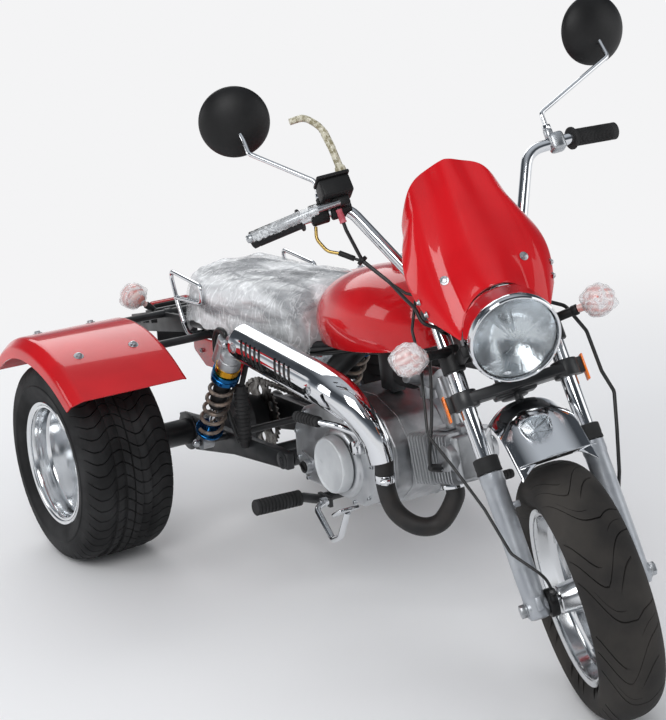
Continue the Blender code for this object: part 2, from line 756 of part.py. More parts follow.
def build_handlebar():
    bar = pipe("handlebar", bar_path(), BAR_RADIUS, bend=0.045, sides=8)
    perch = block("left_switch_perch", (0.030, 0.034, 0.036), (GRIP_INNER_X - 0.026, 0.004, BAR_TOP), edge=0.006)
    mount = rod(
        "left_mirror_boss", (0.228, 0.0, BAR_TOP + 0.010), (0.228, 0.0, MIRROR_BASE), 0.009, 12,
    )
    fuse(bar, perch, mount)
    finish(bar, CHROME, steering)

    for side, word in SIDES:
        start = Vector((side * GRIP_INNER_X, 0.006, BAR_TOP))
        end = Vector((side * (GRIP_OUTER_X - 0.003), 0.006 + GRIP_SWEEP, BAR_TOP - 0.002))
        along = (end - start).normalized()
        first = start + along * 0.004
        last = end + along * 0.003
        grip = rod(f"grip_{word}", first, last, GRIP_RADIUS)
        flange = rod(f"grip_{word}_flange", first - along * 0.001, first + along * 0.005, GRIP_RADIUS + 0.005)
        hollow = rod(f"grip_{word}_bore", start - along * 0.01, end + along * GAP, bore(BAR_RADIUS, ROUND) + 0.0003)
        fuse(grip, flange)
        cut(grip, hollow)
        finish(grip, RUBBER, steering)

    reservoir = block(
        "brake_master_cylinder", (0.064, 0.044, 0.042), (-0.196, -0.034, BAR_TOP + 0.029),
        (radians(-8), 0, radians(8)), edge=0.004,
    )
    clamp = rod("master_clamp", (-0.172, 0.004, BAR_TOP), (-0.212, 0.004, BAR_TOP), BAR_RADIUS + 0.008)
    neck = block("master_neck", (0.034, 0.036, 0.022), (-0.192, -0.020, BAR_TOP + 0.004))
    switch = rod("right_switch", (-0.216, 0.004, BAR_TOP), (-0.250, 0.005, BAR_TOP), BAR_RADIUS + 0.009)
    link = rod("switch_link", (-0.205, 0.004, BAR_TOP + 0.012), (-0.230, 0.004, BAR_TOP + 0.012), 0.005, 8)
    mirror_boss = rod("right_mirror_boss", (-0.222, 0.0, BAR_TOP + 0.008), (-0.222, 0.0, MIRROR_BASE), 0.009, 12)
    lever = pipe(
        "brake_lever", [
            (-0.196, -0.036, BAR_TOP), (-0.240, -0.046, BAR_TOP - 0.004),
            (-0.300, -0.036, BAR_TOP - 0.008), (-0.372, -0.008, BAR_TOP - 0.010),
        ], 0.0065, bend=0.03,
    )
    hand_lever = pipe("hand_lever", [
        (-0.190, 0.004, BAR_TOP + 0.014), (-0.168, 0.002, BAR_TOP + 0.067), (-0.170, 0.000, BAR_TOP + 0.110),
        (-0.176, 0.000, BAR_TOP + 0.155), (-0.200, 0.000, BAR_TOP + 0.185), (-0.230, 0.000, BAR_TOP + 0.184),
    ], 0.0065, bend=0.02, steps=2)
    bar_bore = pipe("master_bore", bar_path(), snug(BAR_RADIUS), bend=0.045, sides=8)
    fuse(reservoir, clamp, neck, switch, link, mirror_boss, lever, hand_lever)
    cut(reservoir, bar_bore)
    finish(reservoir, BLACK_PLASTIC, steering)


def build_mirrors():
    for side, word in SIDES:
        spot = MIRROR_PLACES[side]
        base = Vector((spot["base"], 0.0, MIRROR_BASE + GAP))
        elbow = Vector(spot["elbow"]) + Vector((0, 0, MIRROR_BASE))
        centre = Vector(spot["head"]) + Vector((0, 0, MIRROR_BASE))
        stem = pipe(
            f"mirror_{word}", [base, base + Vector((0, 0, 0.036)), elbow, elbow + Vector((0, 0.012, 0.030)), centre],
            0.0048, bend=0.012, steps=2, sides=6,
        )
        nut = rod(f"mirror_{word}_nut", base, base + Vector((0, 0, 0.010)), 0.009, 6)
        facing = (radians(90) + RAKE * 0.92, 0, radians(spot["turn"]))
        head = turned(f"mirror_{word}_head", [
            (0.0, 0.026), (0.028, 0.023), (0.054, 0.012), (MIRROR_RADIUS, -0.002),
            (MIRROR_RADIUS - 0.002, -0.008), (0.0, -0.008),
        ], centre, facing)
        fuse(stem, nut, head)
        finish(stem, BLACK_PLASTIC, steering)


def build_headlight():
    centre = (0, -LAMP_FORWARD, LAMP_HEIGHT)
    aim = (radians(90) + LAMP_DROOP, 0, 0)
    rim = LAMP_RADIUS
    shell = turned("headlight_shell", [
        (0.0, -0.094), (rim - 0.040, -0.090), (rim - 0.018, -0.068), (rim - 0.0075, -0.040), (rim - 0.0065, 0.004),
        (rim - 0.001, 0.004), (rim, -0.012), (rim - 0.004, -0.016), (rim - 0.004, -0.045), (rim - 0.016, -0.076),
        (rim - 0.042, -0.098), (0.0, -0.102),
    ], centre, aim, steps=BIG_ROUND)
    finish(shell, CHROME, steering)
    lens = turned("headlight_lens", [
        (0.0, 0.012), (0.040, 0.0095), (rim - 0.0068 - GAP, -0.001), (rim - 0.0068 - GAP, -0.006), (0.0, 0.002),
    ], centre, aim, steps=BIG_ROUND)
    finish(lens, LENS, steering)

    pieces = []
    for side, word in SIDES:
        x = side * LEG_SPACING
        band = rod(
            f"lamp_band_{word}", (x, -LEG_FORWARD, LAMP_BAND - 0.024),
            (x, -LEG_FORWARD, LAMP_BAND + 0.024), TUBE_RADIUS + 0.006,
        )
        arm = block(
            f"lamp_arm_{word}", (0.014, 0.074, 0.022),
            (side * (LAMP_RADIUS - 0.001), -LEG_FORWARD - 0.050, LAMP_BAND - 0.006),
        )
        inner, joint, tip = indicator_line(side)
        stalk = rod(f"indicator_arm_{word}", inner, joint, 0.0085, SMALL_ROUND)
        pad, bend = screen_mount(side)
        mount = pipe(f"screen_mount_{word}", [
            pad, bend, Vector((side * 0.070, -LEG_FORWARD - 0.019, LAMP_BAND + 0.004)),
        ], 0.0045, bend=0.01, steps=1, sides=6)
        pieces += [band, arm, stalk, mount]
    cross = block(
        "lamp_cross", (2 * LEG_SPACING - 0.01, 0.006, 0.026), (0, -LEG_FORWARD - 0.019, LAMP_BAND - 0.004),
    )
    bores = [
        rod(
            f"lamp_band_bore_{word}", (side * LEG_SPACING, -LEG_FORWARD, LAMP_BAND - 0.05),
            (side * LEG_SPACING, -LEG_FORWARD, LAMP_BAND + 0.05), snug(TUBE_RADIUS),
        )
        for side, word in SIDES
    ]
    clear = turned("lamp_bracket_clearance", [
        (0.0, 0.02), (rim + 0.0005, 0.02), (rim + 0.0005, -0.012), (rim - 0.0035, -0.0165),
        (rim - 0.0035, -0.0455), (rim - 0.015, -0.080), (0.0, -0.110),
    ], centre, aim, steps=BIG_ROUND)
    bracket = pieces[0]
    bracket.name = "headlight_bracket"
    fuse(bracket, *pieces[1:], cross)
    cut(bracket, *bores, clear)
    finish(bracket, BLACK_PLASTIC, steering)

    for side, word in SIDES:
        inner, joint, tip = indicator_line(side)
        lamp = indicator(f"front_indicator_{word}", tip, (radians(90) + RAKE, 0, 0))
        foot = rod(f"front_indicator_{word}_foot", joint + (tip - joint).normalized() * GAP, tip, 0.0075, SMALL_ROUND)
        fuse(lamp, foot)
        finish(lamp, AMBER, steering)


def indicator_line(side):
    """Inner end, joint and lamp centre of a front indicator's stalk."""
    inner = Vector((side * LEG_SPACING, -LEG_FORWARD - 0.014, LAMP_BAND + 0.013))
    tip = Vector((side * 0.180, -0.102, LAMP_BAND + 0.013))
    return inner, inner.lerp(tip, 0.58), tip


def indicator(name, spot, facing):
    return turned(name, [
        (0.0, 0.024), (0.020, 0.019), (0.029, 0.002), (0.029, -0.006), (0.020, -0.022), (0.0, -0.026),
    ], spot, facing, steps=ROUND)


def screen_point(across, up):
    """A point on the fly screen: across -1..1, up 0..1, in the fork frame."""
    shoulder = abs(across)
    half = SCREEN_HALF + 0.016 * sin(pi * min(1.0, up * 1.15)) - 0.018 * up ** 3
    if shoulder < 0.7:
        bottom = SCREEN_FOOT - 0.098 * (shoulder / 0.7) ** 2
    else:
        bottom = SCREEN_FOOT - 0.098 + 0.057 * (shoulder - 0.7) / 0.3
    top = SCREEN_FOOT + SCREEN_HEIGHT - 0.012 * shoulder - 0.070 * shoulder ** 4
    forward = 0.136 - 0.046 * up ** 1.6 - 0.052 * shoulder ** 2.2
    forward += 0.009 * cos(across * pi * 2.6) * (0.35 + 0.65 * up)
    return Vector((across * half, -forward, bottom + (top - bottom) * up))


def screen_mount(side):
    """Where a stay meets the back of the fly screen, and its bend behind."""
    spot = screen_point(side * 4 / 7, 2 / 7)
    across = screen_point(side * 4 / 7 + 0.05, 2 / 7) - spot
    upward = screen_point(side * 4 / 7, 2 / 7 + 0.05) - spot
    back = across.cross(upward).normalized()
    if back.y < 0:
        back = -back
    return spot + back * (SCREEN_THICK / 2 + 2 * GAP), spot + back * 0.030


def build_fly_screen():
    rows = [
        [screen_point(-1 + 2 * i / (SCREEN_COLUMNS - 1), j / SCREEN_ROWS) for i in range(SCREEN_COLUMNS)]
        for j in range(SCREEN_ROWS + 1)
    ]
    screen = sheet("fly_screen", rows, SCREEN_THICK, offset=0.0)
    finish(screen, RED, steering)


def guard_spine():
    """Middle line of the front mudguard, from its rear end to its lip."""
    return rounded([
        (0, 0.030, LOWER_YOKE - 0.020), (0, -0.030, LOWER_YOKE - 0.0065),
        (0, -0.105, LOWER_YOKE - 0.048), (0, -0.166, LOWER_YOKE - 0.138),
    ], 0.08)


def build_mudguard():
    """Front mudguard, hung under the lower yoke."""
    spine = guard_spine()
    rows = []
    for point in spine:
        row = []
        for i in range(9):
            across = -1 + i / 4
            droop = 0.030 * abs(across) ** 2.6
            row.append(point + Vector((0.070 * across, 0.35 * droop, -droop)))
        rows.append(row)
    guard = sheet("front_mudguard", rows, 0.0022, offset=0.0)
    finish(guard, CHROME, steering)


def build_speedometer():
    spot = Vector((0, -0.072, UPPER_YOKE + 0.074))
    front = -(LEG_FORWARD + TUBE_RADIUS + 0.0095 + GAP)
    case = turned("speedometer", [
        (0.0, 0.022), (0.035, 0.022), (0.037, 0.018), (0.037, -0.008), (0.026, -0.026), (0.0, -0.028),
    ], spot, (radians(18), 0, 0))
    foot = block("speedometer_foot", (0.026, 0.004, 0.060), (0, front - 0.002, UPPER_YOKE + 0.034))
    cable = pipe("speedometer_cable", [
        (-0.019, -0.058, UPPER_YOKE + 0.056), (-0.020, -0.048, UPPER_YOKE + 0.030), (-0.060, -0.034, UPPER_YOKE + 0.056),
        (-0.118, -0.030, UPPER_YOKE + 0.050), (-0.146, -0.036, UPPER_YOKE - 0.010), (-0.154, -0.046, LAMP_BAND + 0.006),
        (-0.183, -0.046, LOWER_YOKE - 0.024), (-0.160, -0.052, LOWER_YOKE - 0.090), (-0.134, -0.070, SLIDER_TOP - 0.060),
        (-0.120, -0.096, AXLE_HEIGHT + 0.100), (-0.080, -0.116, AXLE_HEIGHT + 0.042),
        (-0.069, -LEG_FORWARD - 0.041 - GAP, AXLE_HEIGHT + 0.0145),
    ], CABLE_RADIUS, bend=0.02, sides=6, steps=1)
    fuse(case, foot, cable)
    finish(case, CHROME, steering)


def build_cables():
    """Brake hose and throttle cable, held together by a tie below the bar."""
    tie = BAR_TOP - 0.110
    hose = pipe("control_cables", [
        (-0.200, -0.026, BAR_TOP - 0.0078), (-0.198, -0.020, BAR_TOP - 0.050), (-0.186, -0.006, tie),
        (-0.152, -0.012, BAR_TOP - 0.166), (-0.138, -0.034, BAR_TOP - 0.210), (-0.131, -0.054, UPPER_YOKE + 0.024),
        (-0.128, -0.060, UPPER_YOKE - 0.008), (-0.097, -0.060, UPPER_YOKE - 0.030), (-0.050, -0.046, UPPER_YOKE - 0.040),
        (0.050, -0.046, UPPER_YOKE - 0.042), (0.097, -0.060, UPPER_YOKE - 0.034), (0.132, -0.054, LAMP_BAND + 0.030),
        (0.156, -0.044, LAMP_BAND - 0.024), (0.158, -0.040, LOWER_YOKE - 0.008), (0.167, -0.040, LOWER_YOKE - 0.050),
        (0.150, -0.038, LOWER_YOKE - 0.112), (0.128, -0.030, LOWER_YOKE - 0.190), (0.105, 0.000, AXLE_HEIGHT + 0.110),
        (0.066, 0.034, AXLE_HEIGHT + 0.106), (0.064, 0.036, AXLE_HEIGHT + 0.077 + GAP),
    ], HOSE_RADIUS, bend=0.016, sides=6, steps=1)
    throttle = pipe("throttle_cable", [
        (-0.246, 0.004, BAR_TOP - 0.0215), (-0.252, 0.006, BAR_TOP - 0.044), (-0.240, 0.006, BAR_TOP - 0.072),
        (-0.223, 0.004, BAR_TOP - 0.081), (-0.186, 0.000, tie), (-0.152, 0.004, BAR_TOP - 0.160),
        (-0.128, 0.002, BAR_TOP - 0.192), (-0.096, -0.006, UPPER_YOKE + 0.046), (-0.078, -0.020, UPPER_YOKE + 0.036),
        (-0.078, -0.022, UPPER_YOKE + UPPER_THICK + GAP),
    ], CABLE_RADIUS, bend=0.012, sides=6, steps=1)
    band = rod("cable_tie", (-0.188, -0.003, tie + 0.004), (-0.183, -0.003, tie - 0.005), 0.010, SMALL_ROUND)
    fuse(hose, throttle, band)
    finish(hose, BLACK_PLASTIC, steering)


def build_frame():
    low = on_fork(LOWER_YOKE + YOKE_THICK + HEAD_CLEARANCE)
    high = on_fork(UPPER_YOKE - HEAD_CLEARANCE)
    head = rod("frame", low, high, HEAD_TUBE_RADIUS)
    middle = low.lerp(high, 0.45)
    backbone = pipe("backbone", backbone_path(middle), BACKBONE_RADIUS, bend=0.10, sides=ROUND)
    gusset = plate("head_gusset", [
        (middle.y + 0.010, middle.z - 0.010), (middle.y + 0.150, middle.z - 0.030),
        (middle.y + 0.120, middle.z - 0.062), (low.y + 0.014, low.z + 0.006),
    ], 0.008)
    rails = []
    for side, word in SIDES:
        rails.append(pipe(f"seat_rail_{word}", [
            (side * 0.010, 0.700, 0.548), (side * 0.060, 0.780, rail_height(0.780)),
            mirrored(RAIL_FRONT, side), mirrored(RAIL_REAR, side),
        ], RAIL_RADIUS, bend=0.05, steps=2))
    shock_bar = rod("shock_bar", mirrored(SHOCK_TOP, RIGHT) - Vector((0.020, 0, 0)), SHOCK_TOP + Vector((0.020, 0, 0)), 0.008, SMALL_ROUND)
    shock_struts = [
        block(f"shock_lug_{word}", (0.014, 0.027, 0.020), (side * RAIL_X, SHOCK_TOP.y, 0.5195))
        for side, word in SIDES
    ]
    stays = []
    for number, y in enumerate(STAY_PLACES):
        z = fender_under(y) - STAY_RADIUS - 0.0009
        stays.append(rod(f"fender_stay_{number + 1}", (-STAY_HALF, y, z), (STAY_HALF, y, z), STAY_RADIUS, SMALL_ROUND))
    for side, word in SIDES:
        stays.append(block(f"tray_leg_{word}", (0.012, 0.020, 0.034), (side * 0.096, 1.125, TRAY_TOP + GAP + 0.017)))
    pivot_tube = rod("pivot_tube", (-PIVOT_HALF, PIVOT.y, PIVOT.z), (PIVOT_HALF, PIVOT.y, PIVOT.z), PIVOT_TUBE_RADIUS)
    pivot_bore = rod("pivot_bore", (-PIVOT_HALF - 0.01, PIVOT.y, PIVOT.z), (PIVOT_HALF + 0.01, PIVOT.y, PIVOT.z), snug(PIN_RADIUS), SMALL_ROUND)
    front_hanger = plate("front_hanger", [(0.592, 0.570), (0.660, 0.556), (0.650, 0.4625), (0.604, 0.4625)], 0.030)
    rear_hanger = plate("rear_hanger", [(0.880, 0.400), (0.893, 0.320), (0.8425, 0.300), (0.8425, 0.360)], 0.040)
    stem_bore = rod("head_bore", low - (high - low) * 0.2, high + (high - low) * 0.2, bore(STEM_RADIUS + 0.0002, ROUND))
    fuse(head, backbone, gusset, *rails, shock_bar, *shock_struts, *stays, pivot_tube, front_hanger, rear_hanger)
    cut(head, stem_bore, pivot_bore)
    finish(head, BLACK_PAINT)


def backbone_path(start):
    return [
        start, (0, 0.440, 0.600), (0, 0.740, 0.535), (0, 0.865, 0.450), (0, PIVOT.y, PIVOT.z),
    ]


def fender_arc(angle):
    """Radius of the fender's middle line at an angle from the rear."""
    return FENDER_RADIUS + 0.035 * max(0.0, (degrees(angle) - 90) / 50) ** 2


def fender_under(y):
    """Height of the fender's underside at a place along the trike."""
    angle = acos((y - WHEELBASE) / FENDER_RADIUS)
    for _ in range(6):
        angle = acos((y - WHEELBASE) / fender_arc(angle))
    return REAR_RADIUS + fender_arc(angle) * sin(angle)


def build_fender(side, word):
    section = [
        (FENDER_INNER, 0.0), (0.345, 0.0), (0.450, 0.0), (FENDER_OUTER - 0.018, -0.006),
        (FENDER_OUTER - 0.004, -0.020), (FENDER_OUTER, -0.040),
    ]
    rows = []
    count = 12
    for step in range(count + 1):
        angle = radians(36 + (141 - 36) * step / count)
        row = []
        for x, sink in section:
            radius = fender_arc(angle) + sink
            row.append(Vector((side * x, WHEELBASE + radius * cos(angle), REAR_RADIUS + radius * sin(angle))))
        rows.append(row)
    if side == LEFT:
        rows = [list(reversed(row)) for row in rows]
    fender = sheet(f"rear_fender_{word}", rows, FENDER_THICK, offset=1.0)
    finish(fender, RED)
    return fender


def build_swingarm():
    arms = []
    for side, word in SIDES:
        x = side * ARM_X
        outline = [
            (PIVOT.y - 0.020, PIVOT.z - 0.018), (PIVOT.y + 0.020, PIVOT.z - 0.022), (SHOCK_FOOT.y - 0.030, 0.225),
            (WHEELBASE - 0.030, REAR_RADIUS - 0.040), (WHEELBASE + 0.040, REAR_RADIUS - 0.034),
            (WHEELBASE + 0.044, REAR_RADIUS + 0.034), (WHEELBASE - 0.030, REAR_RADIUS + 0.042),
            (SHOCK_FOOT.y, 0.275), (PIVOT.y + 0.020, PIVOT.z + 0.020), (PIVOT.y - 0.020, PIVOT.z + 0.018),
        ]
        arms.append(plate(f"swingarm_{word}", outline, ARM_THICK, (x, 0, 0)))
    arm = arms[0]
    arm.name = "swingarm"
    pin = rod("pivot_pin", (-ARM_X - 0.016, PIVOT.y, PIVOT.z), (ARM_X + 0.016, PIVOT.y, PIVOT.z), PIN_RADIUS, SMALL_ROUND)
    brace = rod("swingarm_brace", (-ARM_X, 1.010, 0.252), (ARM_X, 1.010, 0.252), 0.014, SMALL_ROUND)
    foot_bar = rod("shock_foot_bar", mirrored(SHOCK_FOOT, RIGHT) - Vector((0.020, 0, 0)), SHOCK_FOOT + Vector((0.020, 0, 0)), 0.008, SMALL_ROUND)
    seat = rod("housing_seat", (-0.2, WHEELBASE, REAR_RADIUS), (0.2, WHEELBASE, REAR_RADIUS), bore(HOUSING_RADIUS, BIG_ROUND), BIG_ROUND)
    fuse(arm, arms[1], pin, brace, foot_bar)
    cut(arm, seat)
    finish(arm, BLACK_PAINT)

    centre = Vector((0, WHEELBASE, REAR_RADIUS))
    housing = turned("axle_housing", [
        (0.0, 0.228), (0.038, 0.228), (0.038, 0.196), (HOUSING_RADIUS, 0.190),
        (HOUSING_RADIUS, 0.0822), (DRIVEN_RADIUS - 0.006, CHAIN_X + 0.003), (DRIVEN_RADIUS - 0.006, CHAIN_X - 0.003),
        (0.045, 0.060), (0.066, 0.024), (0.066, -0.024), (HOUSING_RADIUS, -0.060),
        (HOUSING_RADIUS, -0.190), (0.038, -0.196), (0.038, -0.228), (0.0, -0.228),
    ], centre, (0, radians(90), 0))
    bores = [
        rod(f"half_shaft_bore_{word}", (side * (SHAFT_INNER_X - 0.001), WHEELBASE, REAR_RADIUS), (side * 0.24, WHEELBASE, REAR_RADIUS), bore(HALF_SHAFT_RADIUS, ROUND) + 0.0002)
        for side, word in SIDES
    ]
    cut(housing, *bores)
    finish(housing, BLACK_PAINT)


def build_chain():
    """Roller chain as one scalloped loop round both sprockets."""
    far = Vector((WHEELBASE, REAR_RADIUS))
    near = Vector((DRIVE_Y, DRIVE_Z))
    span = far - near
    lean = atan2(span.y, span.x)
    spread = acos((DRIVE_RADIUS - DRIVEN_RADIUS) / span.length)
    path = []
    first = lean + spread
    for step in range(13):
        angle = lean + spread + (2 * pi - 2 * spread) * step / 12
        path.append(near + DRIVE_RADIUS * Vector((cos(angle), sin(angle))))
    for step in range(19):
        angle = lean - spread + 2 * spread * step / 18
        path.append(far + DRIVEN_RADIUS * Vector((cos(angle), sin(angle))))
    path.append(path[0])
    lengths = [(b - a).length for a, b in zip(path, path[1:])]
    total = sum(lengths)
    links = round(total / LINK_PITCH / 2) * 2
    outer = []
    inner = []
    for step in range(links):
        target = total * step / links
        index = 0
        while target > lengths[index]:
            target -= lengths[index]
            index += 1
        along = (path[index + 1] - path[index]).normalized()
        at = path[index] + along * target
        normal = Vector((along.y, -along.x))
        half = 0.0050 if step % 2 == 0 else 0.0034
        outer.append(at + normal * half)
        inner.append(at - normal * half)
    form = bmesh.new()
    rows = []
    for x in (CHAIN_X - CHAIN_WIDTH / 2, CHAIN_X + CHAIN_WIDTH / 2):
        rows.append((
            [form.verts.new((x, p.x, p.y)) for p in outer],
            [form.verts.new((x, p.x, p.y)) for p in inner],
        ))
    count = len(outer)
    for i in range(count):
        j = (i + 1) % count
        form.faces.new((rows[0][0][i], rows[0][0][j], rows[1][0][j], rows[1][0][i]))
        form.faces.new((rows[0][1][i], rows[1][1][i], rows[1][1][j], rows[0][1][j]))
        form.faces.new((rows[0][0][i], rows[0][1][i], rows[0][1][j], rows[0][0][j]))
        form.faces.new((rows[1][0][i], rows[1][0][j], rows[1][1][j], rows[1][1][i]))
    chain = from_bmesh("drive_chain", form)
    finish(chain, CHAIN_STEEL)


def case_outline(inset):
    points = [
        (0.503, 0.300), (0.503, 0.385), (0.545, 0.435), (0.620, 0.4620), (0.720, 0.4550), (0.800, 0.420),
        (0.842, 0.365), (0.842, 0.295), (0.800, CASE_BOTTOM), (0.560, CASE_BOTTOM),
    ]
    middle = Vector((0.670, 0.350))
    out = []
    for y, z in points:
        away = Vector((y, z)) - middle
        out.append(tuple(middle + away * (1 - inset / away.length)))
    return out


def from_barrel(x, y, z):
    """World place of a point given in the cylinder's own frame."""
    return CRANK + Matrix.Rotation(-CYLINDER_TILT, 3, "X") @ Vector((x, y, z))


def build_engine():
    case = plate("crankcase", case_outline(0.0), 2 * CASE_HALF, edge=0.010)
    flange = rod("barrel_flange", CRANK + Vector((0, -0.060, 0.014)), CRANK + from_barrel(0, -(BARREL_START - 0.002), 0) - CRANK, 0.050)
    generator = rod("generator_cover", (CASE_HALF - 0.005, CRANK.y + 0.010, CRANK.z + 0.004), (CASE_HALF + 0.036, CRANK.y + 0.010, CRANK.z + 0.004), 0.070, BIG_ROUND, 0.064)
    sprocket_cover = plate("sprocket_guard", [(0.690, 0.252), (0.690, 0.330), (0.712, 0.350), (0.712, 0.252)], 0.030, (CASE_HALF + 0.010, 0, 0))
    fuse(case, flange, generator, sprocket_cover)
    notch = block("sprocket_recess", (0.060, 0.200, 0.112), (0.092, 0.816, DRIVE_Z + 0.002))
    cut(case, notch)
    shaft = rod("drive_sprocket", (CASE_HALF - 0.030, DRIVE_Y, DRIVE_Z), (CHAIN_X + 0.003, DRIVE_Y, DRIVE_Z), DRIVE_RADIUS - 0.006)
    fuse(case, shaft)
    finish(case, ALLOY)

    cover = plate("clutch_cover", case_outline(0.012), COVER_DEPTH - 0.012, (-(CASE_HALF + GAP + (COVER_DEPTH - 0.012) / 2), 0, 0), edge=0.008)
    x = -(CASE_HALF + GAP + COVER_DEPTH)
    dome = rod("clutch_dome", (-CASE_HALF - 0.010, CAP_CENTRE.y + 0.004, CAP_CENTRE.z + 0.004), (x - 0.010, CAP_CENTRE.y, CAP_CENTRE.z), 0.084, BIG_ROUND, 0.070)
    cap = rod("clutch_cap", (x - 0.006, CAP_CENTRE.y, CAP_CENTRE.z), (x - 0.024, CAP_CENTRE.y, CAP_CENTRE.z), CAP_RADIUS + 0.003, BIG_ROUND, CAP_RADIUS)
    kick_boss = rod("kick_boss", (-CASE_HALF - 0.020, 0.545, 0.392), (x - 0.004, 0.545, 0.392), 0.016)
    level = rod("oil_filler", (-CASE_HALF - 0.020, 0.775, 0.290), (x - 0.004, 0.775, 0.290), 0.014, 8)
    fuse(cover, dome, cap, kick_boss, level)
    finish(cover, ALLOY)

    start = BARREL_START
    barrel = rod("cylinder", (0, -start, 0), (0, -start - FIN_COUNT * FIN_PITCH - 0.003, 0), 0.040)
    fins = []
    for number in range(FIN_COUNT):
        at = -(start + 0.003 + FIN_PITCH * (number + 0.4))
        fins.append(block(f"cylinder_fin_{number + 1}", (FIN_WIDTH, FIN_THICK, FIN_HEIGHT), (0, at, 0)))
    fuse(barrel, *fins)
    finish(barrel, ALLOY, cylinder_axis)

    middle = HEAD_START + HEAD_LENGTH / 2
    head = block("cylinder_head", (0.086, HEAD_LENGTH, 0.088), (0, -middle, 0), edge=0.008)
    head_fins = [
        block(f"head_fin_{number + 1}", (FIN_WIDTH - 0.004, FIN_THICK, FIN_HEIGHT - 0.004), (0, -(HEAD_START + 0.004 + number * FIN_PITCH), 0))
        for number in range(4)
    ]
    caps = [
        rod(f"cam_cap_{word}", (side * 0.040, -middle - 0.014, 0.004), (side * 0.058, -middle - 0.014, 0.004), 0.030, ROUND, 0.026)
        for side, word in SIDES
    ]
    tappet = rod("tappet_cap", (0, -middle - 0.018, 0.036), (0, -middle - 0.022, 0.060), 0.019)
    plug = rod("spark_plug", (-0.030, -middle + 0.006, -0.020), (-0.086, -middle - 0.004, -0.006), 0.009, 8)
    fuse(head, *head_fins, *caps, tappet, plug)
    finish(head, ALLOY, cylinder_axis)


def build_intake():
    carb = rod("carburettor", (0, 0.452, 0.520), (0, 0.545, 0.512), 0.022)
    bowl = rod("float_bowl", (0, 0.495, 0.520), (0, 0.497, 0.476), 0.021)
    top = rod("slide_cover", (0.0, 0.497, 0.514), (-0.052, 0.497, 0.530), 0.015)
    filter_body = rod("air_filter", (0, 0.541, 0.512), (0, 0.584, 0.509), 0.030)
    port = HEAD_START + 0.022
    manifold = pipe("intake_manifold", [
        from_barrel(0, -port, FIN_HEIGHT / 2 - 0.002 + GAP), from_barrel(0, -port, 0.090), (0, 0.460, 0.5195),
    ], 0.014, bend=0.03)
    fuse(carb, bowl, top, filter_body, manifold)
    finish(carb, ALLOY)


def around_muffler(share, angle, radius):
    """A point round the muffler: along it from the rear, then degrees up from its outer side."""
    along = (MUFFLER_FRONT - MUFFLER_REAR).normalized()
    out = Vector((-1, 0, 0))
    out = (out - along * out.dot(along)).normalized()
    over = along.cross(out).normalized()
    if over.z < 0:
        over = -over
    turn = radians(angle)
    return MUFFLER_REAR.lerp(MUFFLER_FRONT, share) + (out * cos(turn) + over * sin(turn)) * radius


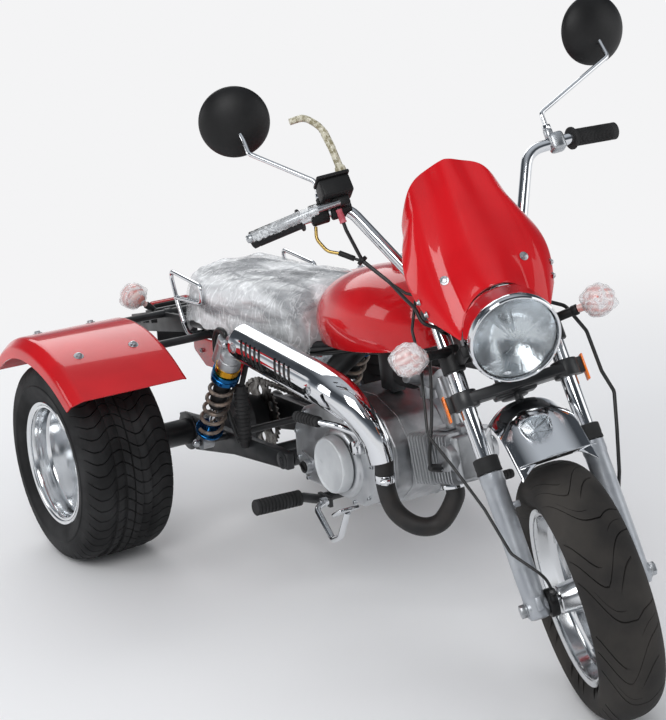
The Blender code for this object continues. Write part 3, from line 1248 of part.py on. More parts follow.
def build_exhaust():
    port = HEAD_START + 0.022
    header = pipe("exhaust", [
        from_barrel(-0.024, -port, -(FIN_HEIGHT / 2 - 0.002 + GAP)), from_barrel(-0.024, -port, -0.100),
        (-0.066, 0.424, 0.254), (-0.112, 0.462, 0.262),
        (-0.128, 0.474, 0.330), (-0.134, 0.470, 0.410), (-0.150, 0.502, 0.478), MUFFLER_FRONT + Vector((0, 0.02, 0.002)),
    ], PIPE_RADIUS, bend=0.045, sides=10, steps=2)
    can = rod("muffler_can", MUFFLER_FRONT, MUFFLER_REAR, MUFFLER_RADIUS, BIG_ROUND)
    cone = rod("muffler_cone", MUFFLER_FRONT + Vector((0.004, -0.036, -0.012)), MUFFLER_FRONT + Vector((0, 0.006, 0.0005)), PIPE_RADIUS + 0.001, ROUND, MUFFLER_RADIUS - 0.003)
    tip = rod("tail_tip", MUFFLER_REAR - Vector((0, 0.01, 0.001)), MUFFLER_REAR + Vector((0.004, 0.026, 0.000)), 0.011, SMALL_ROUND)
    ear = rod("muffler_ear", MUFFLER_REAR + Vector((0.030, -0.060, -0.004)), (-RAIL_X - RAIL_RADIUS - 0.0008, MUFFLER_REAR.y - 0.060, rail_height(MUFFLER_REAR.y - 0.060)), 0.006, SMALL_ROUND)
    posts = [
        rod(
            f"shield_post_{number + 1}", around_muffler(share, angle, MUFFLER_RADIUS - 0.004),
            around_muffler(share, angle, MUFFLER_RADIUS + 0.0036), 0.004, SMALL_ROUND,
        )
        for number, (share, angle) in enumerate(((0.08, -9.0), (0.46, -9.0), (0.86, -9.0), (0.08, 69.0), (0.86, 69.0)))
    ]
    fuse(header, can, cone, tip, ear, *posts)
    finish(header, PIPE_BLACK)

    spine = [
        MUFFLER_REAR + Vector((0, 0.004, 0.0)), MUFFLER_REAR.lerp(MUFFLER_FRONT, 0.33), MUFFLER_REAR.lerp(MUFFLER_FRONT, 0.66),
        MUFFLER_FRONT + Vector((0, 0.010, 0.0)), Vector((-0.166, 0.536, 0.496)), Vector((-0.154, 0.500, 0.468)),
        Vector((-0.142, 0.474, 0.428)), Vector((-0.136, 0.464, 0.384)),
    ]
    reach = [MUFFLER_RADIUS + SHIELD_CLEAR] * 4 + [0.039, 0.034, 0.030, 0.028]
    rows = []
    for index, point in enumerate(spine):
        before = spine[max(0, index - 1)]
        after = spine[min(len(spine) - 1, index + 1)]
        along = (after - before).normalized()
        out = Vector((-1, 0, 0))
        out = (out - along * out.dot(along)).normalized()
        over = out.cross(along).normalized()
        if over.dot(Vector((0, -1, 1))) < 0:
            over = -over
        rows.append([
            point + (out * cos(angle) + over * sin(angle)) * reach[index]
            for angle in (radians(-48 + 156 * step / 8) for step in range(9))
        ])
    shield = sheet("heat_shield", rows, SHIELD_THICK, offset=-1.0)
    slots = []
    run = MUFFLER_FRONT - MUFFLER_REAR
    for group, count, start in ((1, 5, 0.16), (2, 4, 0.55)):
        for number in range(count):
            centre = MUFFLER_REAR + run * (start + 0.052 * number) + Vector((-0.030, 0, -0.004))
            slots.append(block(
                f"shield_slot_{group}_{number + 1}", (0.060, 0.0072, 0.056), centre,
                (radians(-20), 0, 0),
            ))
    cut(shield, *slots)
    finish(shield, CHROME)


def section_ring(half, low, high, y, power=2.6, count=9, foot=0.92):
    """Flat-based, domed cross-section of the tank or seat."""
    ring = [Vector((half * foot, y, low)), Vector((-half * foot, y, low))]
    belt = low + (high - low) * 0.30
    dome = []
    for step in range(count):
        angle = pi * step / (count - 1)
        c = cos(angle)
        s = sin(angle)
        x = -half * (abs(c) ** (2 / power)) * (1 if c >= 0 else -1)
        z = belt + (high - belt) * abs(s) ** (2 / power)
        dome.append(Vector((x, y, z)))
    return ring + dome


def build_body():
    rings = [
        section_ring(half, low, high, y, 2.3)
        for y, half, low, high in (
            (0.397, 0.040, 0.612, 0.655), (0.408, 0.066, 0.604, 0.682), (0.440, 0.095, 0.596, 0.709),
            (0.500, 0.118, 0.584, 0.726), (0.580, 0.128, 0.571, 0.729), (0.660, 0.122, 0.561, 0.716),
            (0.730, 0.105, 0.556, 0.692), (0.775, 0.082, 0.556, 0.668), (0.792, 0.060, 0.566, 0.640),
        )
    ]
    tank = loft("fuel_tank", rings)
    middle = on_fork(LOWER_YOKE + YOKE_THICK + HEAD_CLEARANCE).lerp(on_fork(UPPER_YOKE - HEAD_CLEARANCE), 0.45)
    tunnel = pipe("tank_tunnel", backbone_path(middle), snug(BACKBONE_RADIUS), bend=0.10, sides=ROUND)
    neck = rod("filler_neck", (0, 0.560, 0.700), (0, 0.560, 0.7345), 0.026, BIG_ROUND)
    hanger_clear = block("tank_hanger_clearance", (0.034, 0.100, 0.060), (0, 0.622, 0.560))
    fuse(tank, neck)
    cut(tank, tunnel, hanger_clear)
    finish(tank, RED)
    cap = turned("tank_cap", [
        (0.0, 0.016), (0.018, 0.014), (0.026, 0.008), (0.027, 0.0), (0.0, 0.0),
    ], (0, 0.560, 0.7345 + GAP))
    finish(cap, CHROME)

    base = RAIL_RADIUS + 2 * GAP
    seat_rings = [
        section_ring(half, rail_height(y) + base, top, y, 3.0, 11, 0.94)
        for y, half, top in (
            (SEAT_FRONT + share * (SEAT_REAR - SEAT_FRONT), half, top)
            for share, half, top in (
                (0.0, 0.080, 0.612), (0.016, 0.100, 0.634), (0.102, 0.118, 0.652), (0.318, 0.130, 0.645),
                (0.553, 0.134, 0.632), (0.749, 0.132, 0.628), (0.906, 0.124, 0.626), (0.980, 0.108, 0.612),
                (1.0, 0.085, 0.590),
            )
        )
    ]
    seat = loft("seat", seat_rings)
    shock_clear = rod("seat_shock_clearance", (-0.25, SHOCK_TOP.y, SHOCK_TOP.z), (0.25, SHOCK_TOP.y, SHOCK_TOP.z), 0.0112, 16)
    cut(seat, shock_clear)
    finish(seat, SEAT_GREY)

    panels = []
    for side, word in SIDES:
        panels.append(plate(f"side_panel_{word}", [
            (1.030, 0.466), (1.090, 0.412), (1.250, 0.402), (1.305, 0.432), (1.300, 0.464), (1.180, 0.470),
        ], 0.004, (side * (RAIL_X + 0.004), 0, 0)))
    tray = block("battery_tray", (2 * RAIL_X + 0.006, 0.120, 0.052), (0, 1.165, TRAY_TOP - 0.026))
    panel = panels[0]
    panel.name = "side_panels"
    fuse(panel, panels[1], tray)
    finish(panel, RED)


def build_grab_loops():
    """Bent rod beside the seat on both sides, joined under the seat rails."""
    cross = rail_height(LOOP_Y) - RAIL_RADIUS - LOOP_RADIUS - 2 * GAP
    half = [
        (LOOP_X - 0.010, LOOP_Y, cross), (LOOP_X, LOOP_Y, cross + 0.030), (LOOP_X, LOOP_Y + 0.026, 0.560),
        (LOOP_X, LOOP_Y + 0.048, 0.622), (LOOP_X, LOOP_Y - 0.100, 0.610), (LOOP_X, LOOP_Y - 0.100, 0.571),
        (LOOP_X, LOOP_Y + 0.026, 0.562),
    ]
    line = [(-x, y, z) for x, y, z in reversed(half)] + half
    loops = pipe("grab_loops", line, LOOP_RADIUS, bend=0.014, sides=6, steps=1)
    weld_rods = [
        rod(f"grab_weld_{word}", (side * LOOP_X, LOOP_Y + 0.018, 0.5625), (side * LOOP_X, LOOP_Y + 0.030, 0.5618), 0.0062, SMALL_ROUND)
        for side, word in SIDES
    ]
    fuse(loops, *weld_rods)
    finish(loops, CHROME)


def build_tail():
    plates = []
    slots = []
    for side, word in SIDES:
        x = side * (RAIL_X + RAIL_RADIUS + 0.0025 + GAP)
        plates.append(plate(f"tail_side_{word}", [
            (TAIL_FRONT, 0.470), (TAIL_END - 0.0085, 0.418), (TAIL_END + 0.0035, 0.430), (TAIL_END - 0.0005, 0.458),
            (TAIL_FRONT + 0.140, 0.494), (TAIL_FRONT, 0.507),
        ], 0.005, (x, 0, 0)))
        for number in range(3):
            slots.append(block(
                f"tail_slot_{word}_{number + 1}", (0.03, 0.036, 0.012),
                (x, TAIL_FRONT + 0.162 + number * 0.046, 0.466 - number * 0.009), (radians(-11), 0, 0),
            ))
    bracket = plates[0]
    bracket.name = "tail_bracket"
    end = block("tail_cross", (2 * (RAIL_X + RAIL_RADIUS) + 0.010, 0.006, 0.036), (0, TAIL_END - 0.003, 0.438))
    tab = block("number_plate_tab", (0.110, 0.004, 0.050), (0, TAIL_END - 0.004, 0.400))
    deck = block("tail_deck", (2 * (RAIL_X + RAIL_RADIUS) + 0.008, 0.060, 0.005), (0, TAIL_FRONT + 0.180, 0.4865), (radians(-13.6), 0, 0))
    stay_y = STAY_PLACES[1]
    stay_z = fender_under(stay_y) - STAY_RADIUS - 0.0009
    stay_hole = rod(
        "tail_stay_hole", (-0.2, stay_y, stay_z), (0.2, stay_y, stay_z),
        bore(STAY_RADIUS, SMALL_ROUND), SMALL_ROUND,
    )
    stalks = []
    for side, word in SIDES:
        inner, joint, tip = rear_indicator_line(side)
        stalks.append(rod(f"rear_stalk_{word}", inner, joint, 0.007, SMALL_ROUND))
    fuse(bracket, plates[1], end, tab, deck, *stalks)
    cut(bracket, *slots, stay_hole)
    finish(bracket, BLACK_PAINT)
    for side, word in SIDES:
        inner, joint, tip = rear_indicator_line(side)
        lamp = indicator(f"rear_indicator_{word}", tip, (radians(-90), 0, 0))
        foot = rod(f"rear_indicator_{word}_foot", joint + (tip - joint).normalized() * GAP, tip, 0.0065, SMALL_ROUND)
        fuse(lamp, foot)
        finish(lamp, AMBER)
    lamp = block("tail_lamp", (0.110, 0.034, 0.052), (0, TAIL_END + 0.0005 + GAP + 0.017, 0.446), edge=0.010)
    finish(lamp, TAIL_RED)


def rear_indicator_line(side):
    """Inner end, joint and lamp centre of a rear indicator's stalk."""
    inner = Vector((side * (RAIL_X + 0.004), TAIL_FRONT + 0.170, 0.484))
    tip = Vector((side * (RAIL_X + 0.060), TAIL_FRONT + 0.170, 0.532))
    return inner, inner.lerp(tip, 0.45), tip


def build_shock(side, word):
    top = mirrored(SHOCK_TOP, side)
    foot = mirrored(SHOCK_FOOT, side)
    length = (foot - top).length
    turn = (foot - top).to_track_quat("Z", "Y").to_euler()
    body = turned(f"shock_{word}", [
        (0.0, length - 0.010), (0.012, length - 0.010), (0.012, length - 0.036), (0.031, length - 0.036),
        (0.031, length - 0.043), (0.007, length - 0.043), (0.007, 0.200), (0.019, 0.200), (0.019, 0.1115),
        (0.031, 0.1115), (0.031, 0.088), (0.025, 0.086), (0.025, 0.034), (0.012, 0.024), (0.012, 0.010), (0.0, 0.010),
    ], top, turn, steps=ROUND)
    eyes = [
        rod(f"shock_{word}_eye_{end}", at + Vector((-0.014, 0, 0)), at + Vector((0.014, 0, 0)), 0.017)
        for end, at in (("top", top), ("foot", foot))
    ]
    axis = (foot - top).normalized()
    beside = Vector((0, -axis.z, axis.y)).normalized()
    bottle_top = top + axis * 0.022 + beside * 0.036
    bottle = rod(f"shock_{word}_reservoir", bottle_top, bottle_top + axis * 0.070, 0.0165)
    neck = rod(f"shock_{word}_neck", top + axis * 0.040, bottle_top + axis * 0.018, 0.010, SMALL_ROUND)
    bores = [
        rod(f"shock_{word}_bore_{end}", at + Vector((-0.03, 0, 0)), at + Vector((0.03, 0, 0)), snug(0.008), SMALL_ROUND)
        for end, at in (("top", top), ("foot", foot))
    ]
    fuse(body, *eyes, bottle, neck)
    cut(body, *bores)
    finish(body, ALLOY)

    wire = 0.0042
    mean = 0.0255
    first = 0.1115 + wire + GAP
    last = length - 0.043 - wire - 0.0012
    turns = 5
    per_turn = 9
    count = turns * per_turn
    basis = (foot - top).to_track_quat("Z", "Y").to_matrix()
    path = []
    for step in range(count + 1):
        angle = 2 * pi * step / per_turn
        along = first + (last - first) * step / count
        path.append(top + basis @ Vector((mean * cos(angle), mean * sin(angle), along)))
    spring = pipe(f"shock_spring_{word}", path, wire, bend=0, sides=5)
    finish(spring, SPRING_STEEL)


def build_controls():
    bar_z = CASE_BOTTOM - 0.010 - GAP
    bar = pipe("footpegs", [
        (-0.280, 0.720, 0.252), (-0.175, 0.720, 0.248), (-0.140, 0.720, bar_z), (0.140, 0.720, bar_z),
        (0.175, 0.720, 0.248), (0.280, 0.720, 0.252),
    ], 0.010, bend=0.02)
    rubbers = []
    for side, word in SIDES:
        profile = [(0.0, 0.105)]
        for rib in range(4):
            high = 0.105 - rib * 0.0260
            profile += [(0.0165, high), (0.0165, high - 0.0180), (0.0135, high - 0.0185), (0.0135, high - 0.0255)]
        profile += [(0.0, 0.0015)]
        rubbers.append(turned(f"peg_rubber_{word}", profile, (side * 0.182, 0.720, 0.249), (0, side * radians(88), 0), steps=SMALL_ROUND))
    mounts = block("peg_mount", (0.120, 0.050, 0.006), (0, 0.720, bar_z - 0.0085))
    lug = block("pedal_lug", (0.0092, 0.047, 0.0216), (-0.1307, 0.7065, 0.2358))
    fuse(bar, *rubbers, mounts, lug)
    finish(bar, RUBBER)

    pedal = pipe("brake_pedal", [
        (-0.146, 0.690, 0.236), (-0.168, 0.680, 0.232), (-0.186, 0.590, 0.196), (-0.188, 0.556, 0.214), (-0.186, 0.528, 0.272),
    ], 0.0065, bend=0.02)
    pad = block("brake_pad", (0.046, 0.040, 0.010), (-0.190, 0.528, 0.277), (radians(-30), 0, 0), edge=0.003)
    pivot = rod("brake_pivot", (-0.1353 - GAP, 0.693, 0.237), (-0.152, 0.693, 0.237), 0.010)
    fuse(pedal, pad, pivot)
    finish(pedal, CHROME)

    x = -(CASE_HALF + GAP + COVER_DEPTH)
    kick = pipe("kick_starter", [
        (x - 0.012, 0.545, 0.392), (x - 0.016, 0.512, 0.426), (x - 0.050, 0.540, 0.446), (x - 0.068, 0.600, 0.446),
    ], 0.0065, bend=0.02)
    boss = rod("kick_hub", (x - 0.004 - GAP, 0.545, 0.392), (x - 0.019, 0.545, 0.392), 0.014)
    rubber = rod("kick_rubber", (x - 0.065, 0.588, 0.446), (x - 0.078, 0.656, 0.446), 0.011)
    fuse(kick, boss, rubber)
    finish(kick, CHROME)

    gear = pipe("gear_lever", [
        (CASE_HALF + GAP, 0.655, 0.262), (0.150, 0.655, 0.262), (0.158, 0.600, 0.258), (0.160, 0.525, 0.262), (0.200, 0.520, 0.262),
    ], 0.006, bend=0.015)
    toe = rod("gear_toe", (0.172, 0.5205, 0.262), (0.206, 0.5205, 0.262), 0.010, 12)
    fuse(gear, toe)
    finish(gear, CHROME)


build_frame()
build_swingarm()
for each_side, each_word in SIDES:
    build_rear_wheel(each_side, each_word)
    build_fender(each_side, each_word)
    build_shock(each_side, each_word)
build_front_wheel()
build_fork()
build_yokes()
build_handlebar()
build_mirrors()
build_headlight()
build_fly_screen()
build_mudguard()
build_speedometer()
build_cables()
build_engine()
build_intake()
build_exhaust()
build_chain()
build_body()
build_grab_loops()
build_tail()
build_controls()
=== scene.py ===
"""The looks of a motor trike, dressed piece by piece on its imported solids.

World frame: the trike faces -Y, its right side is -X and up is +Z, in metres.
What turns with the bar is placed in the fork frame, whose Z runs up the
steering axis and whose -Y points forward.
"""
from math import acos, atan2, cos, degrees, pi, radians, sin

import bpy
from mathutils import Euler, Matrix, Vector, noise


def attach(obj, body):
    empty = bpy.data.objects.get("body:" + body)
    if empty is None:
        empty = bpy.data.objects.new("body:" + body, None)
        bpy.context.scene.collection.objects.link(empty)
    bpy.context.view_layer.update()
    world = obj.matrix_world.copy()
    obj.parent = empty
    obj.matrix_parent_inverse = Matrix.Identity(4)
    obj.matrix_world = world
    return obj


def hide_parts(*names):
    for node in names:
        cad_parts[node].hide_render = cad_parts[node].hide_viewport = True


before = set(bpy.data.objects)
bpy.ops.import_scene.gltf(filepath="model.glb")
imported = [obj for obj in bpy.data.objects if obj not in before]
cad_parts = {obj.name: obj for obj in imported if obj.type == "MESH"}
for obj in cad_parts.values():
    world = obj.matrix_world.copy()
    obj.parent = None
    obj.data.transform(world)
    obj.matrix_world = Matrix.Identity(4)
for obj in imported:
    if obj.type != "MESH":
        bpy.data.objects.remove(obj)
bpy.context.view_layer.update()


# The studio: a pale floor, a pale surround and soft boxes, with the camera
# where the photograph was taken from.
def colour(code):
    """A colour as the shaders take it, from its sRGB hex code."""
    channels = [int(code[i:i + 2], 16) / 255 for i in (1, 3, 5)]
    return (*[c / 12.92 if c <= 0.04045 else ((c + 0.055) / 1.055) ** 2.4 for c in channels], 1.0)


def add(tree, kind, inputs=None, **settings):
    """A shader node with its settings, and its inputs set or linked."""
    made = tree.nodes.new(kind)
    for name, value in settings.items():
        setattr(made, name, value)
    for socket, value in (inputs or {}).items():
        if isinstance(value, bpy.types.NodeSocket):
            tree.links.new(value, made.inputs[socket])
        else:
            made.inputs[socket].default_value = value
    return made


def seen_plainly(tree):
    """1 for rays that show the studio to the eye, also in glass and polished metal."""
    rays = add(tree, "ShaderNodeLightPath").outputs
    seen = add(
        tree, "ShaderNodeMath", {0: rays["Is Camera Ray"], 1: rays["Is Glossy Ray"]}, operation="MAXIMUM",
    )
    through = {0: seen.outputs[0], 1: rays["Is Transmission Ray"]}
    return add(tree, "ShaderNodeMath", through, operation="MAXIMUM").outputs[0]


bpy.ops.object.select_all(action="DESELECT")
bpy.ops.object.camera_add()
camera = bpy.context.object
camera.name = "camera"
camera.data.lens = 94.97
camera.data.sensor_width = 36
camera.data.clip_start = 0.05
camera_spot = Vector((-1.951, -2.474, 1.568))
right = Vector((0.8516, -0.5199, -0.0662))
up = Vector((0.1966, 0.1997, 0.9599))
ahead = Vector((0.4859, 0.8305, -0.2723))
camera.matrix_world = Matrix.Translation(camera_spot) @ Matrix((right, up, -ahead)).transposed().to_4x4()
bpy.context.scene.camera = camera
bpy.context.scene.view_settings.view_transform = "Standard"

# The middle of the trike, which the floor is centred under and the lamps face.
middle_y = 0.6
bpy.ops.mesh.primitive_plane_add(size=60, location=(0, middle_y, 0))
floor = bpy.context.object
floor.name = "studio_floor"
floor_paint = bpy.data.materials.new("pale matt floor")
floor_paint.use_nodes = True
tree = floor_paint.node_tree
plain = tree.nodes["Principled BSDF"]
plain.inputs["Base Color"].default_value = colour("#ededee")
plain.inputs["Roughness"].default_value = 0.9
middle = add(tree, "ShaderNodeTexCoord")
reach = add(tree, "ShaderNodeVectorMath", {0: middle.outputs["Object"]}, operation="LENGTH")
far_off = add(
    tree, "ShaderNodeMapRange", {"Value": reach.outputs["Value"], "From Min": 1.3, "From Max": 3.2},
    interpolation_type="SMOOTHSTEP",
)
share = add(
    tree, "ShaderNodeMath", {0: far_off.outputs["Result"], 1: seen_plainly(tree)}, operation="MULTIPLY",
)
pale = add(tree, "ShaderNodeEmission", {"Color": colour("#f4f4f5"), "Strength": 1.0})
both = add(tree, "ShaderNodeMixShader", {0: share.outputs[0], 1: plain.outputs[0], 2: pale.outputs[0]})
tree.links.new(both.outputs[0], tree.nodes["Material Output"].inputs["Surface"])
floor.data.materials.append(floor_paint)

world = bpy.data.worlds.new("studio surround")
bpy.context.scene.world = world
world.use_nodes = True
tree = world.node_tree
tree.nodes.clear()
direction = add(tree, "ShaderNodeTexCoord")
height = add(tree, "ShaderNodeSeparateXYZ", {"Vector": direction.outputs["Generated"]})
walls = add(tree, "ShaderNodeValToRGB", {"Fac": height.outputs["Z"]})
shades = walls.color_ramp.elements
shades[0].position, shades[0].color = 0.02, colour("#f1f2f3")
shades[1].position, shades[1].color = 0.95, colour("#c3c8ce")
for position, code in ((0.12, "#989da4"), (0.3, "#4b4f55"), (0.6, "#43474c")):
    shades.new(position).color = colour(code)
shown = add(tree, "ShaderNodeBackground", {"Color": walls.outputs["Color"], "Strength": 1.0})
lit = add(tree, "ShaderNodeBackground", {"Color": colour("#eef1f5"), "Strength": 0.6})
both = add(tree, "ShaderNodeMixShader", {0: seen_plainly(tree), 1: lit.outputs[0], 2: shown.outputs[0]})
add(tree, "ShaderNodeOutputWorld", {"Surface": both.outputs[0]})

for name, spot, size, power in (
    ("key_softbox", (-2.6, -1.9, 3.4), 2.2, 88),
    ("fill_softbox", (2.9, -2.2, 2.2), 2.6, 30),
    ("rear_softbox", (0.6, 4.0, 3.0), 2.6, 52),
    ("left_strip", (-3.4, 2.4, 1.8), 1.6, 24),
):
    bpy.ops.object.light_add(type="AREA", location=spot)
    lamp = bpy.context.object
    lamp.name = name
    lamp.data.size = size
    lamp.data.energy = power
    lamp.rotation_euler = (Vector((0, middle_y, 0.45)) - Vector(spot)).to_track_quat("-Z", "Y").to_euler()


# Rear wheels: wide low-pressure tyres with a car-like block tread, on deep
# dished rims spun and machined from aluminium. Moulded rubber is dull and
# picks up dust, and the machined alloy shows fine turning rings.
SIDES = ((-1, "right"), (1, "left"))
WHEELBASE = 1.338
REAR_TRACK = 0.74
REAR_RADIUS = 0.2295
REAR_WIDTH = 0.21
REAR_BEAD = 0.1274
REAR_LIP = 0.142
REAR_RIM_HALF = 0.0925
SHAFT_RADIUS = 0.0125
SHAFT_INNER_X = 0.206


def shader_of(made):
    """The node tree, surface shader and object coordinates of a material."""
    tree = made.node_tree
    return tree, tree.nodes["Principled BSDF"], tree.nodes["Texture Coordinate"].outputs["Object"]


def paint(name, base, roughness, metallic=0.0, patches=None, smears=None, grain=None, sockets=None):
    """A finish: patches of two shades, smears in its polish, and grain by scale and depth in metres."""
    made = bpy.data.materials.new(name)
    made.use_nodes = True
    made.diffuse_color = colour(base)
    add(made.node_tree, "ShaderNodeTexCoord")
    tree, surface, place = shader_of(made)
    fixed = {"Base Color": colour(base), "Roughness": roughness, "Metallic": metallic, **(sockets or {})}
    for socket, value in fixed.items():
        surface.inputs[socket].default_value = value
    if patches:
        first, second, scale, low, high = (*patches, 0.4, 0.62)[:5]
        spots = add(tree, "ShaderNodeTexNoise", {"Vector": place, "Scale": scale, "Detail": 6.0})
        ramp = add(tree, "ShaderNodeValToRGB", {"Fac": spots.outputs["Fac"]})
        for stop, spot, code in zip(ramp.color_ramp.elements, (low, high), (first, second)):
            stop.position = spot
            stop.color = colour(code)
        tree.links.new(ramp.outputs["Color"], surface.inputs["Base Color"])
    if smears:
        low, high, scale = smears
        worn = add(tree, "ShaderNodeTexNoise", {"Vector": place, "Scale": scale, "Detail": 5.0})
        span = {
            "Value": worn.outputs["Fac"], "From Min": 0.35, "From Max": 0.7, "To Min": low, "To Max": high,
        }
        polish = add(tree, "ShaderNodeMapRange", span)
        tree.links.new(polish.outputs["Result"], surface.inputs["Roughness"])
    if grain:
        scale, depth, detail = (*grain, 3.0)[:3]
        fine = add(tree, "ShaderNodeTexNoise", {"Vector": place, "Scale": scale, "Detail": detail})
        relief = add(
            tree, "ShaderNodeBump", {"Height": fine.outputs["Fac"], "Distance": depth, "Strength": 1.0},
        )
        tree.links.new(relief.outputs["Normal"], surface.inputs["Normal"])
    return made


# Moulded tyre rubber: near black, dry and dusty.
tyre_rubber = paint(
    "moulded tyre rubber", "#1a1a1b", 0.82, patches=("#131314", "#262627", 9.0), smears=(0.68, 0.92, 14.0),
    grain=(900.0, 0.00012), sockets={"Specular IOR Level": 0.36},
)

# Machined aluminium: bright, with fine rings from the lathe.
rim_alloy = paint(
    "machined rim aluminium", "#e0e2e4", 0.2, 1.0, smears=(0.12, 0.2, 26.0), grain=(380.0, 0.00002),
)


def select_only(piece):
    """Makes one piece the only one that an operator acts on."""
    bpy.ops.object.select_all(action="DESELECT")
    piece.select_set(True)
    bpy.context.view_layer.objects.active = piece


def start_wire(name, points):
    """A wire of vertices, pulled out from its first point one by one, left in edit mode."""
    bpy.ops.object.select_all(action="DESELECT")
    bpy.ops.mesh.primitive_plane_add(size=0.01)
    made = bpy.context.object
    made.name = name
    bpy.ops.object.mode_set(mode="EDIT")
    bpy.ops.mesh.merge(type="CENTER")
    points = [Vector(point) for point in points]
    bpy.ops.transform.translate(value=points[0])
    for before, after in zip(points, points[1:]):
        bpy.ops.mesh.extrude_vertices_move(TRANSFORM_OT_translate={"value": after - before})
    return made


def turn(name, profile, steps=48, sharp=32):
    """A lathe form about Z from (radius, height) points, down its outer side."""
    closed = list(profile)
    if profile[0][0] > 0 and profile[-1][0] > 0:
        closed.append(profile[0])
    made = start_wire(name, [(radius, 0, height) for radius, height in closed])
    bpy.ops.mesh.select_all(action="SELECT")
    bpy.ops.mesh.spin(steps=steps, angle=2 * pi, center=(0, 0, 0), axis=(0, 0, 1))
    bpy.ops.mesh.select_all(action="SELECT")
    bpy.ops.mesh.remove_doubles(threshold=0.00001)
    bpy.ops.mesh.normals_make_consistent(inside=False)
    bpy.ops.object.mode_set(mode="OBJECT")
    bpy.ops.object.shade_smooth_by_angle(angle=radians(sharp))
    return made


def grid(name, columns, rows, shape, closed=True, sharp=32):
    """A net of faces whose points are set from their column and row."""
    bpy.ops.object.select_all(action="DESELECT")
    bpy.ops.mesh.primitive_grid_add(x_subdivisions=columns, y_subdivisions=rows, size=2)
    made = bpy.context.object
    made.name = name
    for vertex in made.data.vertices:
        column = round((vertex.co.x + 1) / 2 * columns)
        row = round((vertex.co.y + 1) / 2 * rows)
        vertex.co = shape(column, row)
    bpy.ops.object.mode_set(mode="EDIT")
    bpy.ops.mesh.select_all(action="SELECT")
    bpy.ops.mesh.remove_doubles(threshold=0.00001)
    if closed:
        bpy.ops.mesh.normals_make_consistent(inside=False)
    bpy.ops.object.mode_set(mode="OBJECT")
    bpy.ops.object.shade_smooth_by_angle(angle=radians(sharp))
    return made


def tilted(spot, angles):
    """The frame at a spot, turned by angles about X, Y and Z."""
    return Matrix.Translation(spot) @ Euler(angles).to_matrix().to_4x4()


def aimed(spot, direction):
    """The frame at a spot with its Z along a direction."""
    return Matrix.Translation(spot) @ Vector(direction).to_track_quat("Z", "Y").to_matrix().to_4x4()


def settle(piece, spot=Matrix()):
    """Brings a piece from its own frame to its place, and leaves the place in its mesh."""
    select_only(piece)
    piece.matrix_world = spot @ piece.matrix_world
    bpy.ops.object.transform_apply(location=True, rotation=True, scale=True)
    return piece


def finish(piece, surface, body, *nodes, slot=None):
    """Gives a piece its finish and its body, and hides the solids it stands for."""
    piece.data.materials.clear()
    piece.data.materials.append(surface)
    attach(piece, body)
    if nodes:
        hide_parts(*nodes)
    return piece


def mirrored_profile(half):
    """A whole profile from its upper half, from the bead to the crown."""
    return half + [(radius, -height) for radius, height in reversed(half) if height > 0]


rear_section = mirrored_profile([
    (REAR_BEAD + 0.0004, REAR_RIM_HALF - 0.003), (REAR_LIP - 0.003, REAR_RIM_HALF - 0.001),
    (REAR_LIP + 0.003, REAR_RIM_HALF + 0.003), (REAR_LIP + 0.008, REAR_WIDTH / 2 - 0.006),
    (REAR_LIP + 0.018, REAR_WIDTH / 2 - 0.001), (REAR_LIP + 0.03, REAR_WIDTH / 2 + 0.0005),
    (REAR_LIP + 0.032, REAR_WIDTH / 2 + 0.002), (REAR_LIP + 0.036, REAR_WIDTH / 2 + 0.002),
    (REAR_LIP + 0.038, REAR_WIDTH / 2), (REAR_RADIUS - 0.03, REAR_WIDTH / 2 - 0.001),
    (REAR_RADIUS - 0.02, REAR_WIDTH / 2 - 0.004), (REAR_RADIUS - 0.013, REAR_WIDTH / 2 - 0.009),
    (REAR_RADIUS - 0.008, REAR_WIDTH / 2 - 0.016), (REAR_RADIUS - 0.005, 0.08),
    (REAR_RADIUS - 0.0032, 0.0665), (REAR_RADIUS - 0.002, 0.064), (REAR_RADIUS - 0.0015, 0.056),
    (REAR_RADIUS - 0.0012, 0.044), (REAR_RADIUS - 0.0012, 0.041), (REAR_RADIUS - 0.0008, 0.04),
    (REAR_RADIUS - 0.0006, 0.03), (REAR_RADIUS - 0.0003, 0.022), (REAR_RADIUS - 0.0003, 0.019),
    (REAR_RADIUS, 0.018), (REAR_RADIUS, 0.01), (REAR_RADIUS, 0.002), (REAR_RADIUS, 0.0),
])
REAR_PITCHES = 52
REAR_STEPS = (0.0, 0.1, 0.13, 0.3, 0.6, 0.9)


def rear_tread(column, row):
    """A point of the rear tyre: its lateral grooves wave across the whole tread."""
    radius, x = rear_section[min(row, len(rear_section) - 1)]
    pitch, step = divmod(column, len(REAR_STEPS))
    wave = 0.55 * sin(x * 62.0) + 9.0 * max(0.0, x - 0.03) ** 1.2
    angle = 2 * pi * (pitch + REAR_STEPS[step] + wave) / REAR_PITCHES
    crown = radius > REAR_RADIUS - 0.022
    if crown and step == 1:
        radius -= 0.0055 if radius > REAR_RADIUS - 0.01 else 0.003
    if x < 0.05 and any(abs(x - place) < 0.0016 for place in (0.0425, 0.0205, 0.0, -0.0205, -0.0425)):
        radius -= 0.0055
    return Vector((radius * cos(angle), radius * sin(angle), x))


